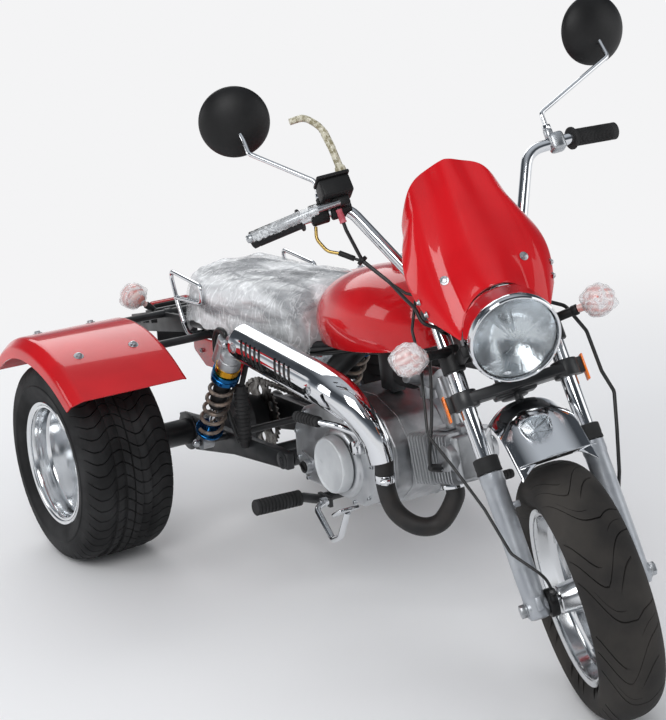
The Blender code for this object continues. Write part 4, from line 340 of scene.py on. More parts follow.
for side, word in SIDES:
    hub = tilted((side * REAR_TRACK / 2, WHEELBASE, REAR_RADIUS), (0, side * pi / 2, 0))
    tyre = grid(
        f"rear_tyre_{word}_tread", REAR_PITCHES * len(REAR_STEPS), len(rear_section) - 1, rear_tread,
        sharp=38,
    )
    finish(settle(tyre, hub), tyre_rubber, f"rear_wheel_{word}", f"rear_tyre_{word}", slot="tyre")
    wall = REAR_BEAD - 0.004
    top = REAR_RIM_HALF + 0.004
    dish = turn(f"rear_rim_{word}_dish", [
        (0.0, 0.018), (0.02, 0.018), (0.024, 0.015), (0.026, -0.004), (0.034, -0.008), (0.07, -0.011),
        (wall - 0.022, -0.012), (wall - 0.01, -0.008), (wall - 0.006, 0.004), (wall - 0.005, 0.048),
        (wall - 0.003, 0.052), (wall, 0.056), (wall + 0.0005, 0.084), (wall + 0.003, 0.089),
        (wall + 0.007, 0.09), (wall + 0.009, top - 0.003), (wall + 0.012, top - 0.001),
        (REAR_LIP - 0.002, top), (REAR_LIP, top - 0.002), (REAR_LIP - 0.001, REAR_RIM_HALF + 0.0006),
        (REAR_BEAD, REAR_RIM_HALF), (REAR_BEAD, -REAR_RIM_HALF),
        (REAR_LIP - 0.001, -REAR_RIM_HALF - 0.0006), (REAR_LIP, -top + 0.002), (REAR_LIP - 0.002, -top),
        (wall, -top + 0.008), (wall, -0.03), (0.06, -0.024), (0.046, -0.03), (0.04, -0.052),
        (SHAFT_RADIUS, -0.056), (SHAFT_RADIUS, SHAFT_INNER_X - REAR_TRACK / 2),
        (0.0, SHAFT_INNER_X - REAR_TRACK / 2),
    ], steps=96)
    select_only(dish)
    for number in range(5):
        angle = number * 2 * pi / 5 + pi / 5
        bpy.ops.object.select_all(action="DESELECT")
        bpy.ops.mesh.primitive_cylinder_add(
            vertices=32, radius=0.017, depth=0.06,
            location=(0.078 * cos(angle), 0.078 * sin(angle), -0.017),
        )
        drill = bpy.context.object
        drill.scale = (1.25, 0.9, 1.0)
        drill.rotation_euler = (0, 0, angle)
        hole = dish.modifiers.new("window", "BOOLEAN")
        hole.object = drill
        hole.operation = "DIFFERENCE"
        select_only(dish)
        bpy.ops.object.modifier_apply(modifier=hole.name)
        bpy.data.objects.remove(drill)
    bpy.ops.object.shade_smooth_by_angle(angle=radians(32))
    finish(settle(dish, hub), rim_alloy, f"rear_wheel_{word}", f"rear_rim_{word}", slot="rim_alloy")


# Front wheel: a narrower road tyre with long sweeping grooves on a cast and
# polished rim, with a drilled steel brake disc on its left side.
RAKE = radians(29.6)
TRAIL = 0.092
STEERING_REST = radians(-22.4)
LEG_SPACING = 0.097
LEG_FORWARD = 0.0365
AXLE_HEIGHT = 0.248
FRONT_RADIUS = 0.2365
FRONT_WIDTH = 0.12
FRONT_BEAD = 0.1524
FRONT_LIP = 0.165
FRONT_RIM_HALF = 0.0425
FRONT_HUB_HALF = 0.056
FORK = Matrix.Translation((0, -TRAIL, 0)) @ Matrix.Rotation(-RAKE, 4, "X") @ Matrix.Rotation(
    STEERING_REST, 4, "Z",
)
front_hub = FORK @ Matrix.Translation((0, -LEG_FORWARD, AXLE_HEIGHT)) @ Matrix.Rotation(-pi / 2, 4, "Y")

front_section = [
    (FRONT_BEAD + 0.0004, FRONT_RIM_HALF - 0.003), (FRONT_LIP - 0.002, FRONT_RIM_HALF - 0.0006),
    (FRONT_LIP + 0.003, FRONT_RIM_HALF + 0.003), (FRONT_LIP + 0.01, FRONT_WIDTH / 2 - 0.008),
    (FRONT_LIP + 0.018, FRONT_WIDTH / 2 - 0.003),
]
for number in range(17):
    lean = radians(4 + 86 * number / 16)
    front_section.append((
        FRONT_RADIUS - 0.042 + 0.042 * sin(lean) ** 1.25,
        FRONT_WIDTH / 2 * cos(lean) ** 0.82,
    ))
front_section = mirrored_profile(front_section)
FRONT_PITCHES = 16
FRONT_STEPS = (0.0, 0.03, 0.036, 0.14, 0.3, 0.327, 0.333, 0.46, 0.62, 0.647, 0.653, 0.8, 0.94)


def front_tread(column, row):
    """A point of the front tyre: long grooves sweep back from a shifted middle."""
    radius, x = front_section[min(row, len(front_section) - 1)]
    pitch, step = divmod(column, len(FRONT_STEPS))
    phase = pitch + FRONT_STEPS[step]
    sway = 0.016 * cos(pi * phase)
    reach = abs(x - sway) / 0.06
    angle = 2 * pi * (phase + 0.8 * reach ** 1.25 - 0.16 * sin(x * 70)) / FRONT_PITCHES
    if step == 1 and abs(x) < 0.056:
        radius -= 0.005
    if step in (5, 9) and (0.012 < (x - sway) * (1 if step == 5 else -1) < 0.046):
        radius -= 0.004
    return Vector((radius * cos(angle), radius * sin(angle), x))


# The front tyre's rubber is older: drier, dusty and a little brown.
dusty_rubber = paint(
    "dusty road tyre rubber", "#2a2826", 0.88, patches=("#211f1e", "#3b3835", 7.0),
    smears=(0.74, 0.95, 14.0), grain=(900.0, 0.00012), sockets={"Specular IOR Level": 0.32},
)

tyre = grid(
    "front_tyre_tread", FRONT_PITCHES * len(FRONT_STEPS), len(front_section) - 1, front_tread, sharp=38,
)
finish(settle(tyre, front_hub), dusty_rubber, "front_wheel", "front_tyre", slot="tyre")

# Front rim: cast, with six flat spokes, its lip polished bright, and a drilled
# steel brake disc bolted to its left side.
def round_edges(piece, width, segments=3, angle=40):
    """Rounded edges, as a casting or a pressing has them."""
    select_only(piece)
    edge = piece.modifiers.new("rounded edges", "BEVEL")
    edge.width = width
    edge.segments = segments
    edge.limit_method = "ANGLE"
    edge.angle_limit = radians(angle)
    bpy.ops.object.modifier_apply(modifier=edge.name)
    bpy.ops.object.shade_smooth_by_angle(angle=radians(32))
    return piece


def slab(name, outline, thickness, edge=0.0, segments=3):
    """A plate of an outline in its own XY plane, its rim rounded over."""
    closed = list(outline) + [outline[0]]
    made = start_wire(name, [(x, y, -thickness / 2) for x, y in closed])
    bpy.ops.mesh.select_all(action="SELECT")
    bpy.ops.mesh.remove_doubles(threshold=0.00001)
    bpy.ops.mesh.edge_face_add()
    bpy.ops.mesh.extrude_region_move(TRANSFORM_OT_translate={"value": (0, 0, thickness)})
    bpy.ops.mesh.select_all(action="SELECT")
    bpy.ops.mesh.normals_make_consistent(inside=False)
    bpy.ops.object.mode_set(mode="OBJECT")
    if edge:
        round_edges(made, edge, segments)
    return made


def cut_away(piece, tools):
    """Cuts tools out of a piece one after another."""
    for tool in tools:
        hole = piece.modifiers.new("cut", "BOOLEAN")
        hole.operation = "DIFFERENCE"
        hole.object = tool
        select_only(piece)
        bpy.ops.object.modifier_apply(modifier=hole.name)
        bpy.data.objects.remove(tool)
    bpy.ops.object.shade_smooth_by_angle(angle=radians(32))
    return piece


def bar(name, start, end, radius, end_radius=None, sides=32, edge=0.0008):
    """A round bar or a taper between two points, its ends chamfered."""
    start, end = Vector(start), Vector(end)
    bpy.ops.object.select_all(action="DESELECT")
    bpy.ops.mesh.primitive_cone_add(
        vertices=sides, radius1=radius, radius2=radius if end_radius is None else end_radius,
        depth=(end - start).length, location=(start + end) / 2,
        rotation=(end - start).to_track_quat("Z", "Y").to_euler(),
    )
    made = bpy.context.object
    made.name = name
    if edge:
        return round_edges(made, edge, 2)
    bpy.ops.object.shade_smooth_by_angle(angle=radians(32))
    return made


def brick(name, size, spot, rotation=(0, 0, 0), edge=0.003, segments=3):
    """A squared casting with rounded edges."""
    bpy.ops.object.select_all(action="DESELECT")
    bpy.ops.mesh.primitive_cube_add(size=1, location=spot, rotation=rotation)
    made = bpy.context.object
    made.name = name
    made.scale = size
    bpy.ops.object.transform_apply(location=False, rotation=False, scale=True)
    return round_edges(made, edge, segments)


def cross_bar(name, from_x, to_x, y, z, *size, **shape):
    """A bar that runs straight across the trike, or across the fork."""
    return bar(name, (from_x, y, z), (to_x, y, z), *size, **shape)


def upright(name, x, y, low, high, *size, **shape):
    """A bar that stands along Z."""
    return bar(name, (x, y, low), (x, y, high), *size, **shape)


def join(name, *pieces):
    """Several forms that are one real piece, as one object."""
    bpy.ops.object.select_all(action="DESELECT")
    for piece in pieces:
        piece.select_set(True)
    bpy.context.view_layer.objects.active = pieces[0]
    bpy.ops.object.join()
    pieces[0].name = name
    return pieces[0]


def spoke_window(inner, outer, half_angle):
    """Outline of an opening between two spokes, symmetric about X."""
    low = half_angle * 0.62
    arc = [(outer * cos(half_angle * t / 4), outer * sin(half_angle * t / 4)) for t in range(-4, 5)]
    return [(inner * cos(low), -inner * sin(low))] + arc + [(inner * cos(low), inner * sin(low))]


wall = FRONT_BEAD - 0.004
top = FRONT_RIM_HALF + 0.0035
rim = turn("front_rim_casting", mirrored_profile([
    (0.0086, FRONT_HUB_HALF), (0.024, FRONT_HUB_HALF), (0.026, FRONT_HUB_HALF - 0.002), (0.029, 0.02),
    (0.034, 0.01), (FRONT_BEAD - 0.02, 0.006), (wall - 0.003, 0.013), (wall, 0.018), (wall, top - 0.01),
    (wall + 0.003, top - 0.005), (wall + 0.006, top - 0.004), (FRONT_LIP - 0.004, top - 0.001),
    (FRONT_LIP - 0.001, top), (FRONT_LIP, top - 0.002), (FRONT_LIP - 0.001, FRONT_RIM_HALF),
    (FRONT_BEAD, FRONT_RIM_HALF),
]), steps=96)
windows = []
for number in range(6):
    window = slab(f"window_{number}", spoke_window(0.05, FRONT_BEAD - 0.018, radians(19)), 0.06, edge=0.004)
    window.rotation_euler = (0, 0, number * pi / 3)
    windows.append(window)
cut_away(rim, windows)
finish(settle(rim, front_hub), rim_alloy, "front_wheel", "front_rim", slot="rim_alloy")

# Ground steel of the disc: grey, with a mirror-like swept band.
disc_steel = paint("ground disc steel", "#a9abad", 0.28, 1.0, smears=(0.2, 0.42, 30.0))
disc = turn("front_brake_disc", [
    (0.03, -0.0462), (0.0945, -0.0462), (0.095, -0.0466), (0.095, -0.0494), (0.0945, -0.0498),
    (0.03, -0.0498),
], steps=96)
drills = []
for number in range(24):
    angle = number * pi / 12
    reach = 0.074 + 0.012 * (number % 2)
    drills.append(upright(
        f"disc_drill_{number}", reach * cos(angle), reach * sin(angle), -0.06, -0.04, 0.0032, sides=12,
        edge=0,
    ))
for number in range(6):
    angle = number * pi / 3 + pi / 6
    drills.append(upright(
        f"disc_window_{number}", 0.05 * cos(angle), 0.05 * sin(angle), -0.06, -0.04, 0.009, sides=20,
        edge=0,
    ))
cut_away(disc, [join("disc_drills", *drills)])
finish(settle(disc, front_hub), disc_steel, "front_wheel", slot="rim_alloy")


# Fork: hard-chromed stanchions sliding in cast legs painted silver grey, with
# black rubber wipers on top, a caliper behind the left leg and the speed
# drive beside the hub.
TUBE_RADIUS = 0.0155
SLIDER_RADIUS = 0.021
SLIDER_TOP = 0.498
COLLAR_TOP = 0.528
LOWER_YOKE = 0.62
YOKE_THICK = 0.032
UPPER_YOKE = 0.798
UPPER_THICK = 0.02


def on_fork(piece, surface, *nodes, slot=None):
    """Finishes a piece that is modelled in the fork frame and turns with the bar."""
    return finish(settle(piece, FORK), surface, "steering", *nodes, slot=slot)


# Decorative chrome: a neutral mirror with faint smears and handling marks.
chrome = paint("bright chrome plate", "#dcdee1", 0.06, 1.0, smears=(0.035, 0.13, 22.0))

# Baked silver paint over a casting: fine sparkle, soft gloss.
slider_paint = paint(
    "silver grey casting paint", "#a9adb3", 0.38, 0.55, patches=("#a3a7ad", "#b1b5ba", 30.0),
    grain=(1400.0, 0.00006), sockets={"Coat Weight": 0.25, "Coat Roughness": 0.18},
)

# Moulded black rubber of the wipers, grips and pegs.
grip_rubber = paint(
    "moulded black rubber", "#1a1a1b", 0.72, patches=("#151516", "#232324", 24.0), grain=(1600.0, 0.0001),
)

# Black moulded plastic: a fine grained, slightly shiny skin.
black_plastic = paint(
    "grained black plastic", "#121213", 0.48, patches=("#0e0e0f", "#161617", 20.0), grain=(1800.0, 0.00005),
    sockets={"Specular IOR Level": 0.32},
)

# Zinc-plated steel of nuts and bolts.
bolt_zinc = paint("zinc plated bolts", "#b9bcbf", 0.32, 1.0, smears=(0.24, 0.45, 60.0))

for side, word in SIDES:
    x = side * LEG_SPACING
    stanchion = upright(
        f"fork_stanchion_{word}", x, -LEG_FORWARD, 0.37, UPPER_YOKE + UPPER_THICK, TUBE_RADIUS, sides=48,
        edge=0.0012,
    )
    on_fork(stanchion, chrome, f"fork_tube_{word}", slot="chrome")

    leg = turn(f"fork_leg_{word}", [
        (0.0, SLIDER_TOP), (SLIDER_RADIUS - 0.002, SLIDER_TOP),
        (SLIDER_RADIUS + 0.0015, SLIDER_TOP - 0.0015), (SLIDER_RADIUS + 0.0015, SLIDER_TOP - 0.022),
        (SLIDER_RADIUS + 0.0005, SLIDER_TOP - 0.025), (SLIDER_RADIUS, SLIDER_TOP - 0.028),
        (SLIDER_RADIUS, AXLE_HEIGHT + 0.05), (SLIDER_RADIUS - 0.0005, AXLE_HEIGHT + 0.03),
        (SLIDER_RADIUS - 0.0005, AXLE_HEIGHT - 0.014), (SLIDER_RADIUS - 0.004, AXLE_HEIGHT - 0.02),
        (SLIDER_RADIUS - 0.01, AXLE_HEIGHT - 0.022), (0.0, AXLE_HEIGHT - 0.022),
    ], steps=48)
    leg.location = (x, -LEG_FORWARD, 0)
    clamp = cross_bar("axle_clamp", x - 0.019, x + 0.019, -LEG_FORWARD, AXLE_HEIGHT, 0.0165, edge=0.002)
    ear = brick(
        "drain_ear", (0.012, 0.02, 0.026), (x - side * 0.002, -LEG_FORWARD - 0.016, AXLE_HEIGHT + 0.004),
        edge=0.003,
    )
    lug = cross_bar(
        "guard_lug", side * (LEG_SPACING - SLIDER_RADIUS + 0.004), side * (LEG_SPACING - 0.034),
        -LEG_FORWARD + 0.004, 0.432, 0.006, sides=20,
    )
    leg = join(f"fork_leg_{word}", leg, clamp, ear, lug)
    on_fork(leg, slider_paint, slot="slider_grey")

    wiper = turn(f"fork_wiper_{word}", [
        (TUBE_RADIUS + 0.0002, COLLAR_TOP), (TUBE_RADIUS + 0.004, COLLAR_TOP),
        (TUBE_RADIUS + 0.0075, COLLAR_TOP - 0.0015), (TUBE_RADIUS + 0.008, COLLAR_TOP - 0.005),
        (TUBE_RADIUS + 0.008, SLIDER_TOP + 0.012), (TUBE_RADIUS + 0.0075, SLIDER_TOP + 0.008),
        (TUBE_RADIUS + 0.008, SLIDER_TOP + 0.005), (TUBE_RADIUS + 0.0085, SLIDER_TOP + 0.0005),
        (TUBE_RADIUS + 0.0002, SLIDER_TOP + 0.0005),
    ], steps=48)
    wiper.location = (x, -LEG_FORWARD, 0)
    on_fork(wiper, grip_rubber, slot="black_plastic")
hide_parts("fork_sliders")

axle = [cross_bar(
    "axle", -LEG_SPACING - 0.028, LEG_SPACING + 0.028, -LEG_FORWARD, AXLE_HEIGHT, 0.008, sides=24,
)]
for side, _ in SIDES:
    x = side * (LEG_SPACING + 0.0195)
    axle.append(cross_bar(
        "axle_washer", x, x + side * 0.002, -LEG_FORWARD, AXLE_HEIGHT, 0.0135, edge=0.0004,
    ))
    axle.append(cross_bar(
        "axle_nut", x + side * 0.002, x + side * 0.0115, -LEG_FORWARD, AXLE_HEIGHT, 0.0125, sides=6,
    ))
on_fork(join("front_axle_bolt", *axle), bolt_zinc, slot="chrome")

drive = cross_bar(
    "speed_drive_case", -0.0775, -0.0605, -LEG_FORWARD, AXLE_HEIGHT, 0.026, sides=40, edge=0.003,
)
neck = bar(
    "speed_drive_neck", (-0.069, -LEG_FORWARD - 0.018, AXLE_HEIGHT),
    (-0.069, -LEG_FORWARD - 0.04, AXLE_HEIGHT + 0.014), 0.007, sides=20,
)
on_fork(join("front_speed_drive", drive, neck), black_plastic, slot="black_plastic")

body = brick(
    "caliper_body", (0.036, 0.062, 0.05), (0.056, -LEG_FORWARD + 0.078, AXLE_HEIGHT + 0.052), edge=0.006,
)
slot = brick(
    "caliper_slot", (0.008, 0.08, 0.09), (0.048, -LEG_FORWARD + 0.06, AXLE_HEIGHT + 0.046), edge=0.001,
)
cut_away(body, [slot])
arm = brick(
    "caliper_arm", (0.014, 0.082, 0.024), (0.078, -LEG_FORWARD + 0.042, AXLE_HEIGHT + 0.05), edge=0.004,
)
piston = cross_bar(
    "caliper_piston", 0.072, 0.0795, -LEG_FORWARD + 0.084, AXLE_HEIGHT + 0.054, 0.018, edge=0.002,
)
on_fork(join("front_caliper_body", body, arm, piston), black_plastic, slot="slider_grey")


# Yokes: cast clamps in satin black that hold both stanchions, the lower one
# with the steering stem and an orange reflector at each end.
STEM_RADIUS = 0.0125
BAR_RADIUS = 0.011
BAR_CLAMP_HEIGHT = 0.846

# Satin black enamel on steel and castings, with a dusting of road grime.
black_paint = paint(
    "satin black enamel", "#18191b", 0.38, patches=("#141517", "#232426", 11.0), smears=(0.3, 0.55, 18.0),
    sockets={"Coat Weight": 0.2, "Coat Roughness": 0.25},
)


def yoke_outline(half, ring, forward, steps=14):
    """Half-round ended yoke plate seen from above, X across and -Y forward."""
    points = []
    for side in (1, -1):
        for step in range(steps + 1):
            angle = pi * step / steps - side * pi / 2
            points.append((side * half + ring * cos(angle), -forward + ring * sin(angle)))
    return points


ring = TUBE_RADIUS + 0.0095
lower = slab(
    "yoke_plate", yoke_outline(LEG_SPACING, ring - 0.001, LEG_FORWARD), YOKE_THICK - 0.012, edge=0.004,
)
lower.location = (0, 0, LOWER_YOKE + YOKE_THICK / 2)
parts = [lower]
for side, _ in SIDES:
    parts.append(upright(
        "yoke_ring", side * LEG_SPACING, -LEG_FORWARD, LOWER_YOKE, LOWER_YOKE + YOKE_THICK, ring, sides=48,
        edge=0.003,
    ))
    parts.append(brick(
        "reflector_ear", (0.012, 0.022, 0.03),
        (side * (LEG_SPACING + ring + 0.003), -0.028, LOWER_YOKE + YOKE_THICK / 2), edge=0.002,
    ))
    parts.append(brick(
        "pinch_boss", (0.03, 0.016, 0.024),
        (side * (LEG_SPACING - 0.004), -LEG_FORWARD + ring, LOWER_YOKE + YOKE_THICK / 2), edge=0.004,
    ))
parts.append(brick(
    "yoke_web", (0.08, 0.04, YOKE_THICK - 0.002), (0, -0.015, LOWER_YOKE + YOKE_THICK / 2), edge=0.005,
))
parts.append(upright(
    "stem_boss", 0, 0, LOWER_YOKE - 0.002, LOWER_YOKE + YOKE_THICK + 0.001, 0.026, sides=40, edge=0.003,
))
parts.append(upright("stem", 0, 0, LOWER_YOKE + 0.004, UPPER_YOKE + UPPER_THICK + 0.004, STEM_RADIUS))
post_top = (0, -0.03, LOWER_YOKE + 0.004)
parts.append(bar("guard_post", (0, -0.03, 0.6085), post_top, 0.008))
on_fork(join("lower_yoke_casting", *parts), black_paint, "lower_yoke", slot="black_paint")

upper = slab("upper_plate", yoke_outline(LEG_SPACING, ring, LEG_FORWARD), UPPER_THICK, edge=0.005)
upper.location = (0, 0, UPPER_YOKE + UPPER_THICK / 2)
parts = [upper, brick(
    "upper_deck", (0.1, 0.052, UPPER_THICK - 0.002), (0, -0.006, UPPER_YOKE + UPPER_THICK / 2), edge=0.005,
)]
for side, _ in SIDES:
    parts.append(brick(
        "bar_riser", (0.024, 0.03, BAR_CLAMP_HEIGHT - UPPER_YOKE - 0.01),
        (side * 0.036, 0, (BAR_CLAMP_HEIGHT + UPPER_YOKE + 0.012) / 2), edge=0.004,
    ))
    parts.append(cross_bar(
        "bar_clamp", side * 0.024, side * 0.048, 0, BAR_CLAMP_HEIGHT, BAR_RADIUS + 0.008, sides=36,
        edge=0.002,
    ))
on_fork(join("upper_yoke_casting", *parts), black_paint, "upper_yoke", slot="black_paint")

bolts = []
for side, _ in SIDES:
    bolts.append(upright(
        "stanchion_cap", side * LEG_SPACING, -LEG_FORWARD, UPPER_YOKE + UPPER_THICK,
        UPPER_YOKE + UPPER_THICK + 0.008, 0.0125, sides=6,
    ))
    for y in (-0.013, 0.013):
        bolts.append(upright(
            "clamp_bolt", side * 0.036, y, BAR_CLAMP_HEIGHT + 0.014, BAR_CLAMP_HEIGHT + 0.023, 0.005,
            sides=20,
        ))
    bolts.append(cross_bar(
        "pinch_bolt", side * (LEG_SPACING - 0.021), side * (LEG_SPACING - 0.028), -LEG_FORWARD + ring,
        LOWER_YOKE + YOKE_THICK / 2, 0.006, sides=6,
    ))
bolts.append(upright(
    "stem_nut", 0, 0, UPPER_YOKE + UPPER_THICK, UPPER_YOKE + UPPER_THICK + 0.013, 0.0175, sides=6,
    edge=0.001,
))
on_fork(join("yoke_bolts", *bolts), bolt_zinc, slot="chrome")

# Orange reflector plastic: clear skin over small prisms, with a faint painted glow.
orange_prisms = paint("orange reflector plastic", "#f07a12", 0.18)
tree, surface, place = shader_of(orange_prisms)
prisms = add(tree, "ShaderNodeTexVoronoi", {"Vector": place, "Scale": 420.0})
relief = add(
    tree, "ShaderNodeBump", {"Height": prisms.outputs["Distance"], "Distance": 0.0006, "Strength": 0.8},
)
tree.links.new(relief.outputs["Normal"], surface.inputs["Normal"])
surface.inputs["Coat Weight"].default_value = 1.0
# A painted glow: the reflector gives off a faint orange light of its own, though it is no lamp.
surface.inputs["Emission Color"].default_value = colour("#f06a08")
surface.inputs["Emission Strength"].default_value = 0.12
for side, word in SIDES:
    x = side * (LEG_SPACING + ring + 0.009)
    lens = brick(
        f"yoke_reflector_{word}", (0.004, 0.022, 0.05), (x + side * 0.002, -0.03, LOWER_YOKE + 0.01),
        edge=0.0018,
    )
    on_fork(lens, orange_prisms, slot="indicator_lens")


# Handlebar: one chromed tube bent up and back, with rubber grips, the brake
# master cylinder and its lever on the right and a switch block on the left.
BAR_RISE_X = 0.19
BAR_TOP = 1.056
GRIP_INNER_X = 0.264
GRIP_OUTER_X = 0.364
GRIP_SWEEP = 0.034


def bent_path(points, bend, steps=6):
    """The points of a path with each corner replaced by an arc."""
    points = [Vector(point) for point in points]
    path = [points[0]]
    for before, corner, after in zip(points, points[1:], points[2:]):
        back = (before - corner).normalized()
        ahead = (after - corner).normalized()
        half = back.angle(ahead) / 2
        reach = min(
            bend / max(1e-6, abs(sin(half) / cos(half))) if half < pi / 2 - 1e-4 else 0.0,
            0.48 * (before - corner).length, 0.48 * (after - corner).length,
        )
        first = corner + back * reach
        last = corner + ahead * reach
        for step in range(steps + 1):
            share = step / steps
            path.append(first.lerp(corner, share).lerp(corner.lerp(last, share), share))
    return path + [points[-1]]


def tube(name, points, radius, bend=0.03, sides=20, steps=6, smooth=False):
    """A round tube or wire along a path, as a bevelled curve made a mesh."""
    bpy.ops.object.select_all(action="DESELECT")
    bpy.ops.curve.primitive_bezier_curve_add()
    made = bpy.context.object
    made.name = name
    made.data.splines.clear()
    path = [Vector(point) for point in points] if smooth else bent_path(points, bend, steps)
    spline = made.data.splines.new("NURBS" if smooth else "POLY")
    spline.points.add(len(path) - 1)
    for point, at in zip(spline.points, path):
        point.co = (*at, 1.0)
    if smooth:
        spline.use_endpoint_u = True
        spline.order_u = 4
        spline.resolution_u = 6
    made.data.bevel_depth = radius
    made.data.bevel_resolution = max(0, sides // 2 - 2)
    made.data.use_fill_caps = True
    bpy.ops.object.convert(target="MESH")
    made = bpy.context.object
    bpy.ops.object.mode_set(mode="EDIT")
    bpy.ops.mesh.select_all(action="SELECT")
    bpy.ops.mesh.remove_doubles(threshold=0.000001)
    bpy.ops.mesh.normals_make_consistent(inside=False)
    bpy.ops.object.mode_set(mode="OBJECT")
    bpy.ops.object.shade_smooth_by_angle(angle=radians(35))
    return made


half = [
    (0.052, 0.0, BAR_CLAMP_HEIGHT), (0.085, 0.002, BAR_CLAMP_HEIGHT), (BAR_RISE_X - 0.01, 0.004, BAR_TOP),
    (GRIP_INNER_X, 0.006, BAR_TOP), (GRIP_OUTER_X - 0.003, 0.006 + GRIP_SWEEP, BAR_TOP - 0.002),
]
bar_line = [(-x, y, z) for x, y, z in reversed(half)] + half
handlebar = tube("handlebar_tube", bar_line, BAR_RADIUS, bend=0.045, sides=32)
on_fork(handlebar, chrome, "handlebar", slot="chrome")

# Satin die-cast alloy of the small control brackets.
control_alloy = paint("satin control alloy", "#b4b7ba", 0.34, 1.0, smears=(0.26, 0.44, 40.0))
perch = brick("left_perch", (0.03, 0.034, 0.036), (GRIP_INNER_X - 0.026, 0.004, BAR_TOP), edge=0.008)
boss = upright("left_mirror_boss", 0.228, 0.0, BAR_TOP + 0.01, BAR_TOP + 0.026, 0.009)
on_fork(join("left_control_bracket", perch, boss), control_alloy, slot="chrome")

GRIP_RADIUS = 0.0165
for side, word in SIDES:
    start = Vector((side * GRIP_INNER_X, 0.006, BAR_TOP))
    end = Vector((side * (GRIP_OUTER_X - 0.003), 0.006 + GRIP_SWEEP, BAR_TOP - 0.002))
    along = (end - start).normalized()
    first, last = start + along * 0.003, end + along * 0.003
    length = (last - first).length
    profile = [
        (0.0, 0.0), (GRIP_RADIUS + 0.004, 0.0), (GRIP_RADIUS + 0.005, 0.001), (GRIP_RADIUS + 0.005, 0.004),
        (GRIP_RADIUS, 0.006),
    ]
    ribs = 26
    for rib in range(ribs):
        low = 0.01 + (length - 0.022) * rib / ribs
        profile += [
            (GRIP_RADIUS, low), (GRIP_RADIUS, low + 0.0018), (GRIP_RADIUS - 0.0009, low + 0.0022),
            (GRIP_RADIUS - 0.0009, low + 0.003),
        ]
    profile += [
        (GRIP_RADIUS, length - 0.008), (GRIP_RADIUS, length - 0.002), (GRIP_RADIUS - 0.003, length),
        (0.0, length),
    ]
    grip = turn(f"hand_grip_{word}", profile, steps=40, sharp=40)
    finish(settle(grip, FORK @ aimed(first, along)), grip_rubber, "steering", f"grip_{word}", slot="rubber")

tilt = (radians(-8), 0, radians(8))
reservoir = brick("reservoir", (0.06, 0.041, 0.036), (-0.196, -0.034, BAR_TOP + 0.026), tilt, edge=0.005)
lid = brick("reservoir_lid", (0.064, 0.044, 0.007), (-0.196, -0.0345, BAR_TOP + 0.0465), tilt, edge=0.003)
clamp = cross_bar("master_clamp", -0.172, -0.212, 0.004, BAR_TOP, BAR_RADIUS + 0.008, edge=0.003)
neck = brick("master_neck", (0.034, 0.036, 0.022), (-0.192, -0.02, BAR_TOP + 0.004), edge=0.004)
switch = bar(
    "right_switch", (-0.216, 0.004, BAR_TOP), (-0.25, 0.005, BAR_TOP), BAR_RADIUS + 0.009, edge=0.004,
)
mirror_boss = upright("right_mirror_boss", -0.222, 0.0, BAR_TOP + 0.008, BAR_TOP + 0.026, 0.009)
button = bar("start_button", (-0.233, 0.024, BAR_TOP + 0.004), (-0.233, 0.029, BAR_TOP + 0.005), 0.006)
master = join("master_cylinder_body", reservoir, lid, clamp, neck, switch, mirror_boss, button)
on_fork(master, black_plastic, "brake_master_cylinder", slot="black_plastic")
lever = tube("brake_lever_blade", [
    (-0.196, -0.036, BAR_TOP), (-0.24, -0.046, BAR_TOP - 0.004), (-0.3, -0.036, BAR_TOP - 0.008),
    (-0.369, -0.009, BAR_TOP - 0.01),
], 0.006, bend=0.03)
knob = bar(
    "lever_knob", (-0.364, -0.011, BAR_TOP - 0.01), (-0.376, -0.006, BAR_TOP - 0.01), 0.0082, edge=0.004,
)
on_fork(join("brake_lever_blade", lever, knob), control_alloy, slot="chrome")


# Mirrors: round glass in matt black plastic shells on thin chromed stems.
mirror_glass = paint("mirror glass", "#dfe6ea", 0.02, 1.0, smears=(0.01, 0.04, 15.0))
MIRROR_RADIUS = 0.068
for side, word, base, elbow, head, swing in (
    (-1, "right", -0.222, (-0.318, 0.03, 1.213), (-0.322, 0.056, 1.288), -8),
    (1, "left", 0.228, (0.398, 0.03, 1.196), (0.398, 0.056, 1.262), 14),
):
    base = Vector((base, 0.0, BAR_TOP + 0.026))
    elbow, centre = Vector(elbow), Vector(head)
    stem = tube(f"mirror_stem_{word}", [
        base, base + Vector((0, 0, 0.036)), elbow, elbow + Vector((0, 0.012, 0.03)), centre,
    ], 0.0046, bend=0.012, sides=16)
    nut = bar("mirror_nut", base + Vector((0, 0, 0.001)), base + Vector((0, 0, 0.01)), 0.0088, sides=6)
    on_fork(join(f"mirror_stem_{word}", stem, nut), chrome, slot="chrome")
    facing = tilted(centre, (radians(90) + RAKE * 0.92, 0, radians(swing)))
    shell = turn(f"mirror_shell_{word}", [
        (0.0, 0.0258), (0.012, 0.0255), (0.028, 0.0228), (0.042, 0.0182), (0.054, 0.0118), (0.062, 0.0056),
        (0.0665, 0.0005), (MIRROR_RADIUS, -0.003), (MIRROR_RADIUS, -0.006),
        (MIRROR_RADIUS - 0.0015, -0.008), (MIRROR_RADIUS - 0.0035, -0.0078),
        (MIRROR_RADIUS - 0.0045, -0.0066), (0.0, -0.0064),
    ], steps=72)
    finish(settle(shell, FORK @ facing), black_plastic, "steering", f"mirror_{word}", slot="black_plastic")
    glass = turn(f"mirror_glass_{word}", [
        (0.0, -0.0066), (MIRROR_RADIUS - 0.0048, -0.0066), (MIRROR_RADIUS - 0.0052, -0.0074),
        (0.0, -0.0078),
    ], steps=72)
    finish(settle(glass, FORK @ facing), mirror_glass, "steering", slot="black_plastic")


